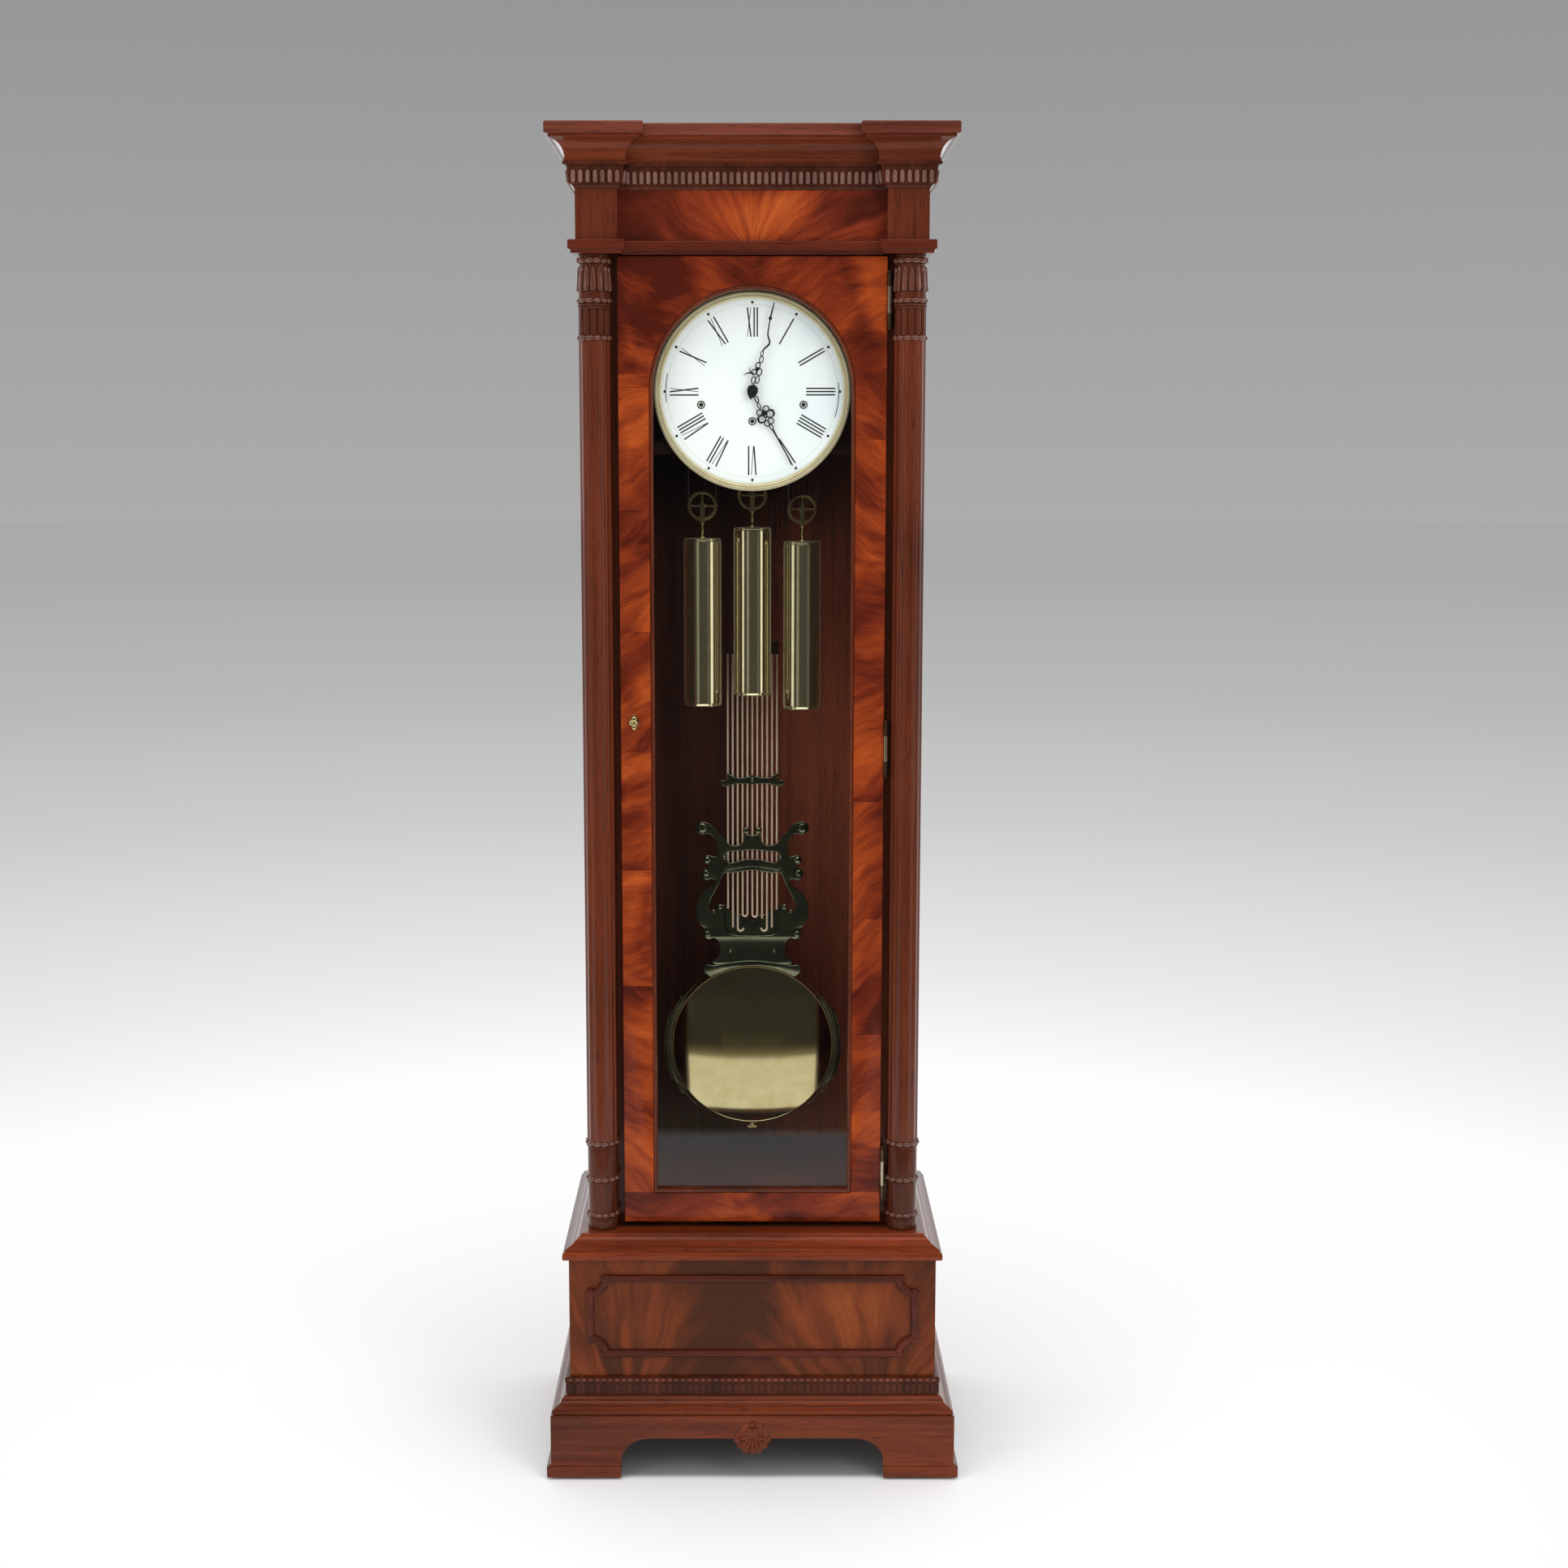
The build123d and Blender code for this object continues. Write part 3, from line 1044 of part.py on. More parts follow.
def make_weight(name, x, top):
    """A brass shell with end caps and core, hung on a forked hanger that carries the pulley."""
    bottom = top - WEIGHT_LENGTH
    node = name + "_weight"
    low = bottom + WEIGHT_CAP
    high = top - WEIGHT_CAP
    add(node, tube(WEIGHT_RADIUS, WEIGHT_RADIUS - WEIGHT_WALL, lambda r: bar_z(x, WEIGHT_Y, r, low, high)))
    add(node, bar_z(x, WEIGHT_Y, WEIGHT_RADIUS - WEIGHT_WALL - SHAFT_FIT, low, high))
    cap = WEIGHT_RADIUS - WEIGHT_CAP_INSET
    add(node, bar_z(x, WEIGHT_Y, cap, bottom, low))
    add(node, bar_z(x, WEIGHT_Y, cap, high, top))

    axle_z = top + HANGER_HEIGHT
    flange = PULLEY_PITCH_RADIUS + CABLE_RADIUS + PULLEY_FLANGE
    inner = PULLEY_THICKNESS / 2 + FIT
    outer = inner + FORK_THICKNESS
    yoke_z = axle_z - flange - FIT
    half = FORK_WIDTH / 2
    fork = block(x - half, x + half, WEIGHT_Y - outer, WEIGHT_Y + outer, yoke_z - FORK_THICKNESS, yoke_z)
    for y0, y1 in ((WEIGHT_Y - outer, WEIGHT_Y - inner), (WEIGHT_Y + inner, WEIGHT_Y + outer)):
        fork += block(x - half, x + half, y0, y1, yoke_z, axle_z)
        fork += bar_y(x, axle_z, half, y0, y1)
    fork += bar_y(x, axle_z, PULLEY_AXLE_RADIUS, WEIGHT_Y - outer, WEIGHT_Y + outer)
    fork += bar_z(x, WEIGHT_Y, HANGER_STEM_RADIUS, top, yoke_z)
    fork += Pos(x, WEIGHT_Y, yoke_z - FORK_THICKNESS - HANGER_BEAD_RADIUS) * Sphere(HANGER_BEAD_RADIUS)
    fork += Pos(x, WEIGHT_Y, top + HANGER_BEAD_RADIUS) * Sphere(HANGER_BEAD_RADIUS)
    level = Plane(origin=(0, 0, top), z_dir=(0, 0, 1))
    add(node, split(fork, bisect_by=level, keep=Keep.TOP))


def make_cable(name, x, arbor_z, axle_z):
    """A steel cable round the pulley from the seat board, and its short lead up to the drum."""
    left = x - PULLEY_PITCH_RADIUS
    right = x + PULLEY_PITCH_RADIUS
    path = Curve() + [
        Line((left, WEIGHT_Y, SEAT_BOTTOM), (left, WEIGHT_Y, axle_z)),
        ThreePointArc((left, WEIGHT_Y, axle_z), (x, WEIGHT_Y, axle_z - PULLEY_PITCH_RADIUS),
                      (right, WEIGHT_Y, axle_z)),
        Line((right, WEIGHT_Y, axle_z), (right, WEIGHT_Y, SEAT_BOTTOM)),
    ]
    section = Plane(origin=(left, WEIGHT_Y, SEAT_BOTTOM), z_dir=(0, 0, -1)) * Circle(CABLE_RADIUS)
    add(name + "_cable", sweep(section, path=path))
    add("cable_leads", bar_z(left, WEIGHT_Y, CABLE_RADIUS, SEAT_BOTTOM, arbor_z))


def make_drive():
    """For each of the three trains: weight, pulley, cable and winding drum."""
    drum_radius = PULLEY_PITCH_RADIUS - CABLE_RADIUS - FIT
    drum_front = WEIGHT_Y - DRUM_LENGTH / 2
    drum_back = WEIGHT_Y + DRUM_LENGTH / 2
    for name, x, arbor_z, drop in arbor_places():
        weight_top = SEAT_BOTTOM - drop
        axle_z = weight_top + HANGER_HEIGHT
        make_weight(name, x, weight_top)
        make_pulley(name, x, axle_z)
        make_cable(name, x, arbor_z, axle_z)
        node = name + "_drum"
        drum = bar_y(x, arbor_z, drum_radius, drum_front, drum_back)
        drum += bar_y(x, arbor_z, GREAT_WHEEL_RADIUS, drum_front - GREAT_WHEEL_THICKNESS, drum_front)
        arbor_hole = bar_y(x, arbor_z, ARBOR_RADIUS + SHAFT_FIT / 2, PLATE_FRONT, REAR_PLATE_BACK)
        add(node, drum - arbor_hole)
        add(node, bar_y(x, arbor_z, ARBOR_RADIUS, DIAL_FRONT, REAR_PLATE_BACK))


# ---- pendulum ---------------------------------------------------------------------------------------
def stroke(points, width):
    """A flat band of round-ended straight pieces through points, mirrored left and right."""
    face = None
    for side in (-1, 1):
        for (x0, z0), (x1, z1) in zip(points, points[1:]):
            run = sqrt((x1 - x0) ** 2 + (z1 - z0) ** 2)
            turn = degrees(asin(max(-1.0, min(1.0, (z1 - z0) / run))))
            if x1 < x0:
                turn = 180 - turn
            piece = Pos((x0 + x1) / 2, (z0 + z1) / 2) * Rot(0, 0, turn) * SlotCenterToCenter(run, width)
            if side < 0:
                piece = mirror(piece, about=Plane.YZ)
            face = piece if face is None else face + piece
    return face


def lyre_points(shares):
    """Points on the lyre from parts of its half width and height."""
    half = LYRE_HALF_WIDTH - LYRE_STROKE / 2
    return [(half * across, LYRE_BOTTOM_Z + LYRE_HEIGHT * up) for across, up in shares]


def make_lyre():
    """The lyre with its crest, crossbar, neck and the saddle on top of the bob."""
    face = stroke(lyre_points(LYRE_ARM), LYRE_STROKE)
    face += stroke(lyre_points(LYRE_CREST), LYRE_STROKE / 2)
    face += stroke(lyre_points(LYRE_CROSSBAR), LYRE_STROKE * 0.8)
    bead_x, bead_z = lyre_points(LYRE_CREST)[-1]
    for x in (-bead_x, bead_x):
        face += Pos(x, bead_z) * Circle(CREST_BEAD_RADIUS)
    neck_bottom = BOB_Z + BOB_RADIUS
    neck_top = LYRE_BOTTOM_Z + NECK_HEIGHT
    face += Pos(0, (neck_bottom + neck_top) / 2) * Rectangle(2 * NECK_HALF_WIDTH, neck_top - neck_bottom)
    saddle = Pos(0, BOB_Z) * (Circle(BOB_RADIUS + SADDLE_HEIGHT) - Circle(BOB_RADIUS + FIT))
    face += saddle & Pos(0, neck_bottom) * Rectangle(2 * SADDLE_HALF_WIDTH, 2 * BOB_RADIUS)
    face -= Pos(0, BOB_Z) * Circle(BOB_RADIUS + FIT)
    add("lyre", upright(face, LYRE_FRONT, LYRE_BACK))
    tail = NUT_TOP - CENTRE_ROD_TAIL
    add("lyre", bar_z(0, PENDULUM_Y, CENTRE_ROD_RADIUS, tail, LYRE_BOTTOM_Z + TAIL_ROOT))


def make_rods():
    """Suspension spring, its leader, the bridge with the rod grid, and the scroll bar across it."""
    half_spring = SPRING_THICKNESS / 2
    spring_top = PIVOT_Z + COCK_ABOVE_PIVOT - FIT
    spring_bottom = spring_top - SPRING_LENGTH
    add("suspension_spring", block(-half_spring, half_spring, PENDULUM_Y - SPRING_WIDTH / 2,
                                   PENDULUM_Y + SPRING_WIDTH / 2, spring_bottom, spring_top))
    add("pendulum_rods", block(-LEADER_WIDTH / 2, LEADER_WIDTH / 2, PENDULUM_Y - LEADER_THICKNESS / 2,
                               PENDULUM_Y + LEADER_THICKNESS / 2, BRIDGE_TOP, spring_bottom))
    bridge_half = (ROD_COUNT - 1) * ROD_PITCH / 2 + BRIDGE_OVERHANG
    add("pendulum_rods", block(-bridge_half, bridge_half, PENDULUM_Y - BRIDGE_THICKNESS / 2,
                               PENDULUM_Y + BRIDGE_THICKNESS / 2, ROD_TOP_Z, BRIDGE_TOP))
    middle = (ROD_COUNT - 1) / 2
    for i in range(ROD_COUNT):
        x = (i - middle) * ROD_PITCH
        stagger = abs(abs(i - middle) - ROD_COUNT // 4) * ROD_STAGGER
        rod_bottom = LYRE_BOTTOM_Z + ROD_CLEARANCE + stagger
        add("pendulum_rods", bar_z(x, ROD_Y, ROD_RADIUS, rod_bottom, ROD_TOP_Z))
    bar_z0 = LYRE_BOTTOM_Z + SCROLL_BAR_RISE
    bar = Pos(0, bar_z0) * Rectangle(2 * bridge_half, SCROLL_BAR_WIDTH)
    bar += Pos(0, bar_z0) * Circle(SCROLL_BOSS_RADIUS)
    for x in (-bridge_half, bridge_half):
        for dz in (-SCROLL_BAR_WIDTH / 2, SCROLL_BAR_WIDTH / 2):
            bar += Pos(x, bar_z0 + dz) * Circle(SCROLL_END_RADIUS)
    add("pendulum_rods", upright(bar, LYRE_FRONT, LYRE_BACK))


def make_bob():
    """The lens-shaped bob in its ring, on the centre rod, with the rating nut under it."""
    edge = BOB_RIM_THICKNESS / 2
    front = BOB_THICKNESS * BOB_FRONT_SHARE
    back = BOB_THICKNESS - front
    rim = outline(
        (0, -front),
        (BOB_RADIUS, -edge, -(front - edge) * BOB_BOW_SHARE),
        (BOB_RADIUS, edge),
        (0, back, -(back - edge) * BOB_BOW_SHARE),
    )
    bob = Pos(0, PENDULUM_Y, BOB_Z) * revolve(rim, Axis.Y, 360)
    rod_hole = bar_z(0, PENDULUM_Y, CENTRE_ROD_RADIUS + SHAFT_FIT, NUT_TOP, BOB_Z + BOB_RADIUS + 1)
    wings = Circle(BOB_RING_RADIUS) & Rectangle(2 * BOB_RING_RADIUS, 2 * BOB_RING_HALF_HEIGHT)
    wings = Pos(0, BOB_Z) * (wings - Circle(BOB_RADIUS - BOB_RING_THICKNESS))
    bob += upright(wings, PENDULUM_Y - BOB_RING_THICKNESS / 2, PENDULUM_Y + BOB_RING_THICKNESS / 2)
    add("bob", bob - rod_hole)
    nut = tube(NUT_RADIUS, CENTRE_ROD_RADIUS + SHAFT_FIT,
               lambda r: bar_z(0, PENDULUM_Y, r, NUT_TOP - NUT_HEIGHT, NUT_TOP))
    add("rating_nut", nut)


def make_crutch():
    """Pallet arbor with its anchor, and the crutch whose fork straddles the pendulum leader."""
    arm_y0 = REAR_PLATE_BACK + CRUTCH_OFF_PLATE
    arm_y1 = arm_y0 + CRUTCH_THICKNESS
    half = CRUTCH_WIDTH / 2
    foot = PIVOT_Z - CRUTCH_LENGTH
    fork_top = foot + CRUTCH_FORK_HEIGHT
    crutch = bar_y(0, PIVOT_Z, CRUTCH_ARBOR_RADIUS, PLATE_FRONT, arm_y1)
    crutch += bar_y(0, PIVOT_Z, CRUTCH_HUB_RADIUS, arm_y0, arm_y1)
    crutch += block(-half, half, arm_y0, arm_y1, foot, PIVOT_Z)
    reach = LEADER_WIDTH / 2 + FIT
    outer = reach + CRUTCH_PRONG
    crutch += block(-outer, outer, arm_y0, arm_y1, foot, fork_top)
    for x0, x1 in ((-outer, -reach), (reach, outer)):
        crutch += block(x0, x1, arm_y1, PENDULUM_Y + LEADER_THICKNESS, foot, fork_top)
    tip = ANCHOR_HALF_SPAN - ANCHOR_HALF_DEPTH
    shoulder = ANCHOR_HALF_DEPTH * 1.5
    anchor = outline(
        (-ANCHOR_HALF_SPAN, -ANCHOR_DROP),
        (-tip, -ANCHOR_DROP),
        (-ANCHOR_HALF_DEPTH, -ANCHOR_HALF_DEPTH),
        (ANCHOR_HALF_DEPTH, -ANCHOR_HALF_DEPTH),
        (tip, -ANCHOR_DROP),
        (ANCHOR_HALF_SPAN, -ANCHOR_DROP),
        (shoulder, ANCHOR_HALF_DEPTH),
        (-shoulder, ANCHOR_HALF_DEPTH),
    )
    crutch += upright(Pos(0, PIVOT_Z) * anchor, WEIGHT_Y, WEIGHT_Y + ANCHOR_THICKNESS)
    add("crutch", crutch)


# ---- chime ------------------------------------------------------------------------------------------
def make_chime():
    """Chime rods hanging from an iron block on the back board, and the gang of hammers."""
    depth = CHIME_BLOCK_DEPTH / 2
    top = CHIME_BLOCK_Z + CHIME_BLOCK_HEIGHT
    casting = block(CHIME_FIRST_X - CHIME_PITCH, CHIME_LAST_X + CHIME_PITCH,
                    CHIME_Y - depth, CHIME_Y + depth, CHIME_BLOCK_Z, top)
    middle = (CHIME_FIRST_X + CHIME_LAST_X) / 2
    casting += block(middle - CHIME_BRACKET_WIDTH / 2, middle + CHIME_BRACKET_WIDTH / 2,
                     CHIME_Y, INNER_BACK, CHIME_BLOCK_Z, top)
    add("chime_block", casting)
    head_back = CHIME_Y - CHIME_ROD_RADIUS - HAMMER_REST_GAP
    head_z = HAMMER_Z + HAMMER_REACH
    head_front = head_back - HAMMER_HEAD_LENGTH
    arm_front = head_front + HAMMER_ARM_SETBACK
    arm = outline(
        (HAMMER_Y - HAMMER_ARM_DEPTH / 2, HAMMER_Z),
        (HAMMER_Y + HAMMER_ARM_DEPTH / 2, HAMMER_Z),
        (arm_front + HAMMER_ARM_DEPTH, head_z),
        (arm_front, head_z),
    )
    hammers = bar_x(HAMMER_Y, HAMMER_Z, HAMMER_ARBOR_RADIUS, NEAR_LUG_X, FAR_LUG_X + LUG_THICKNESS)
    for i in range(CHIME_RODS):
        x = CHIME_FIRST_X + CHIME_PITCH * i
        length = CHIME_SHORTEST + CHIME_STEP * (CHIME_RODS - 1 - i)
        add("chime_rods", bar_z(x, CHIME_Y, CHIME_ROD_RADIUS, CHIME_BLOCK_Z - length, CHIME_BLOCK_Z))
        hammers += sideways(arm, x - HAMMER_ARM_WIDTH / 2, x + HAMMER_ARM_WIDTH / 2)
        hammers += bar_y(x, head_z, HAMMER_HEAD_RADIUS, head_front, head_back)
    add("chime_hammers", hammers)


def main():
    """Build every piece and write one STEP file per node."""
    make_feet()
    make_base()
    make_trunk()
    make_columns()
    make_crown()
    make_door()
    make_hinges()
    make_dial()
    make_hands()
    make_movement()
    make_drive()
    make_lyre()
    make_rods()
    make_bob()
    make_crutch()
    make_chime()
    os.makedirs("parts", exist_ok=True)
    for name, solids in NODES.items():
        export_step(Compound(children=solids), os.path.join("parts", name + ".step"))
    print(len(NODES), "nodes")


main()
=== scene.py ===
import logging
import math
from dataclasses import dataclass
from enum import Enum
from functools import cache
from typing import Sequence

import bpy
from mathutils import Matrix, Vector


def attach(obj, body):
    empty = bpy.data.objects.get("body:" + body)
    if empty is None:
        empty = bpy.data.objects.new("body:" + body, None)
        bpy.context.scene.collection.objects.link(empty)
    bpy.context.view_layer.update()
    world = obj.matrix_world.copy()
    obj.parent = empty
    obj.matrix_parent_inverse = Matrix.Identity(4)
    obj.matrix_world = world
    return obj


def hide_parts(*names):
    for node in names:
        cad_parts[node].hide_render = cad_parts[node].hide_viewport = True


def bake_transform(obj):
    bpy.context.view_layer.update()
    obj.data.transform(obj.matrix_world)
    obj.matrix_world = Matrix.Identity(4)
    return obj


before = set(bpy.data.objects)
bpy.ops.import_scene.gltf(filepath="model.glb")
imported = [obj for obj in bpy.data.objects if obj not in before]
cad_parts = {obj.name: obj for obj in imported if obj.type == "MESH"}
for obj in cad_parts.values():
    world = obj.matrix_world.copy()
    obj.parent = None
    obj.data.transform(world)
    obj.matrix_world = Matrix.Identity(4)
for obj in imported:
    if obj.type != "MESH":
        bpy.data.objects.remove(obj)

# A three-weight longcase clock in polished mahogany. Sizes are in millimetres, and places and scales inside
# the finishes and the studio are in metres.

LOG = logging.getLogger("longcase_clock")
MM = 0.001
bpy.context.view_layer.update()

Point = tuple[float, float]
Place = tuple[float, float, float]
Colour = tuple[float, float, float]
Loop = list[Point]
Piece = bpy.types.Object


# ---- finishes ----
class Grain(Enum):
    """The axis that wood grain runs along."""

    ACROSS = 0
    DEPTH = 1
    UP = 2


class Field:
    """A number, colour or place that varies over a surface, reckoned with like a plain number."""

    def __init__(self, graph: "Graph", socket: bpy.types.NodeSocket) -> None:
        """Hold the socket that gives it, and the nodes that it stands among."""
        self.graph = graph
        self.socket = socket

    def step(self, operation: str, *others: "Field | float") -> "Field":
        """One step of arithmetic with this number first."""
        return self.graph.step(operation, self, *others)

    def __add__(self, other: "Field | float") -> "Field":
        """The sum."""
        return self.step("ADD", other)

    def __radd__(self, other: float) -> "Field":
        """The sum with a plain number."""
        return self.graph.step("ADD", other, self)

    def __sub__(self, other: "Field | float") -> "Field":
        """The difference."""
        return self.step("SUBTRACT", other)

    def __rsub__(self, other: float) -> "Field":
        """The difference from a plain number."""
        return self.graph.step("SUBTRACT", other, self)

    def __mul__(self, other: "Field | float") -> "Field":
        """The product."""
        return self.step("MULTIPLY", other)

    def __truediv__(self, other: "Field | float") -> "Field":
        """The quotient."""
        return self.step("DIVIDE", other)

    def __abs__(self) -> "Field":
        """The size without its sign."""
        return self.step("ABSOLUTE")

    def least(self, other: "Field | float") -> "Field":
        """The smaller of two."""
        return self.step("MINIMUM", other)

    def most(self, other: "Field | float") -> "Field":
        """The larger of two."""
        return self.step("MAXIMUM", other)

    def span(self, low: float, high: float, start: float = 0.0, end: float = 1.0) -> "Field":
        """Spread softly from the range low to high to the range start to end."""
        node = self.graph.node("ShaderNodeMapRange", interpolation_type="SMOOTHSTEP")
        return self.graph.fed(node, self, low, high, start, end)


def distance(across: Field, up: Field) -> Field:
    """How far two steps at right angles lead."""
    return (across * across + up * up).step("SQRT")


class Graph:
    """A tree of shader nodes, wired by short calls."""

    def __init__(self, tree: bpy.types.NodeTree, place: str) -> None:
        """Take over a tree that reads this kind of coordinates."""
        self.tree = tree
        self.place = Field(self, self.node("ShaderNodeTexCoord").outputs[place])

    def node(self, kind: str, **settings: object) -> bpy.types.Node:
        """Add a node and set its fields.

        Args:
            kind: The node's type.
            settings: Fields and their values.

        Returns:
            The node.
        """
        node = self.tree.nodes.new(kind)
        for key, value in settings.items():
            setattr(node, key, value)
        return node

    def feed(self, socket: bpy.types.NodeSocket, value: object) -> None:
        """Wire a socket to another, or give it a plain value.

        Args:
            socket: The socket that takes the value.
            value: A field, another socket, a number, a place or a colour.
        """
        source = value.socket if isinstance(value, Field) else value
        if isinstance(source, bpy.types.NodeSocket):
            self.tree.links.new(source, socket)
        elif socket.type == "RGBA":
            socket.default_value = (*source, 1.0)
        else:
            socket.default_value = source

    def fed(self, node: bpy.types.Node, *values: object, output: int = 0) -> Field:
        """Feed a node's first sockets in their order.

        Args:
            node: The node.
            values: What they take.
            output: Which of the node's outputs is wanted.

        Returns:
            What the node gives.
        """
        for socket, value in zip(node.inputs, values):
            self.feed(socket, value)
        return Field(self, node.outputs[output])

    def plug(self, node: bpy.types.Node, **values: object) -> None:
        """Feed a node's sockets, named with underscores."""
        for key, value in values.items():
            self.feed(node.inputs[key.replace("_", " ")], value)

    def step(self, operation: str, *values: Field | float) -> Field:
        """One step of arithmetic."""
        return self.fed(self.node("ShaderNodeMath", operation=operation), *values)

    def vector(self, *parts: Field | float) -> Field:
        """A place or direction from its three parts."""
        return self.fed(self.node("ShaderNodeCombineXYZ"), *parts)

    def grey(self, level: Field) -> Field:
        """A grey of a varying lightness."""
        return self.vector(level, level, level)

    def axes(self) -> tuple[Field, Field, Field]:
        """The three parts of the coordinates."""
        node = self.fed(self.node("ShaderNodeSeparateXYZ"), self.place).socket.node
        return tuple(Field(self, output) for output in node.outputs)

    def stretch(self, scale: Place, place: Field | None = None) -> Field:
        """Coordinates scaled along each axis.

        Args:
            scale: Cycles per metre along x, y and z.
            place: What is scaled, if it isn't the graph's own coordinates.

        Returns:
            The scaled coordinates.
        """
        node = self.node("ShaderNodeMapping")
        self.plug(node, Scale=scale)
        return self.fed(node, place or self.place)

    def noise(self, place: Field | float, detail: float = 1.0, rough: float = 0.5, bend: float = 0.0) -> Field:
        """Cloudy noise.

        Args:
            place: The scaled coordinates that it lies on, or cycles per metre along every axis.
            detail: How many finer layers it has.
            rough: How strong the finer layers are.
            bend: How far it is pulled about.

        Returns:
            A number from 0 to 1.
        """
        if not isinstance(place, Field):
            place = self.stretch((place, place, place))
        node = self.node("ShaderNodeTexNoise")
        self.plug(node, Vector=place, Scale=1.0, Detail=detail, Roughness=rough, Distortion=bend)
        return Field(self, node.outputs[0])

    def ramp(self, value: Field, stops: Sequence[tuple[float, Colour]]) -> Field:
        """Colours along a number from 0 to 1.

        Args:
            value: The number.
            stops: Places along it and their colours.

        Returns:
            The colour.
        """
        node = self.node("ShaderNodeValToRGB")
        elements = node.color_ramp.elements
        while len(elements) < len(stops):
            elements.new(0.5)
        for element, (position, colour) in zip(elements, stops):
            element.position = position
            element.color = (*colour, 1.0)
        return self.fed(node, value)

    def mix(self, factor: Field | float, first: Field | Colour, second: Field | Colour,
            blend: str = "MIX") -> Field:
        """Two colours mixed.

        Args:
            factor: How much of the second shows.
            first: The colour below.
            second: The colour laid on it.
            blend: How they are mixed.

        Returns:
            The mixed colour.
        """
        node = self.node("ShaderNodeMix", data_type="RGBA", blend_type=blend)
        ends = (socket for socket in node.inputs if socket.type == "RGBA")
        self.feed(node.inputs[0], factor)
        for socket, colour in zip(ends, (first, second)):
            self.feed(socket, colour)
        return Field(self, next(output for output in node.outputs if output.type == "RGBA"))

    def ray(self, name: str) -> Field:
        """What the renderer says of the ray in hand."""
        return Field(self, self.node("ShaderNodeLightPath").outputs[name])

    def mirrored(self) -> Field:
        """1 where the surface is seen in a polished one, and not straight through glass."""
        return self.ray("Is Glossy Ray").least(self.ray("Glossy Depth"))


class Surface(Graph):
    """The nodes of one material, round its main shader."""

    def __init__(self, name: str) -> None:
        """Start a material.

        Args:
            name: Its name.
        """
        self.material = bpy.data.materials.new(name)
        self.material.use_nodes = True
        super().__init__(self.material.node_tree, "Object")
        self.shader = self.tree.nodes["Principled BSDF"]

    def main(self, **values: object) -> None:
        """Set the main shader's sockets, named with underscores."""
        self.plug(self.shader, **values)

    def darkened(self, colour: Field, level: Field) -> Field:
        """A colour multiplied by a number."""
        return self.mix(1.0, colour, self.grey(level), "MULTIPLY")

    def relief(self, height: Field, depth: float, strength: float) -> None:
        """Raise the surface, as fine relief.

        Args:
            height: A number from 0 to 1.
            depth: How deep the relief is, in millimetres.
            strength: How strongly it shows.
        """
        node = self.node("ShaderNodeBump")
        self.plug(node, Height=height, Distance=depth * MM, Strength=strength)
        self.main(Normal=node.outputs[0])

    def lay_over(self, shader: bpy.types.Node, amount: Field) -> None:
        """Show a second shader in place of the main one."""
        mixed = self.fed(self.node("ShaderNodeMixShader"), amount, self.shader.outputs[0], shader.outputs[0])
        self.plug(self.tree.nodes["Material Output"], Surface=mixed)


@dataclass(frozen=True)
class Finish:
    """What a surface is finished in."""

    name: str

    @cache
    def build(self) -> bpy.types.Material:
        """Make the material, once for each finish.

        Returns:
            The material.
        """
        surface = Surface(self.name)
        self.dress(surface)
        return surface.material

    def dress(self, surface: Surface) -> None:
        """Wire the finish's own nodes."""
        raise NotImplementedError


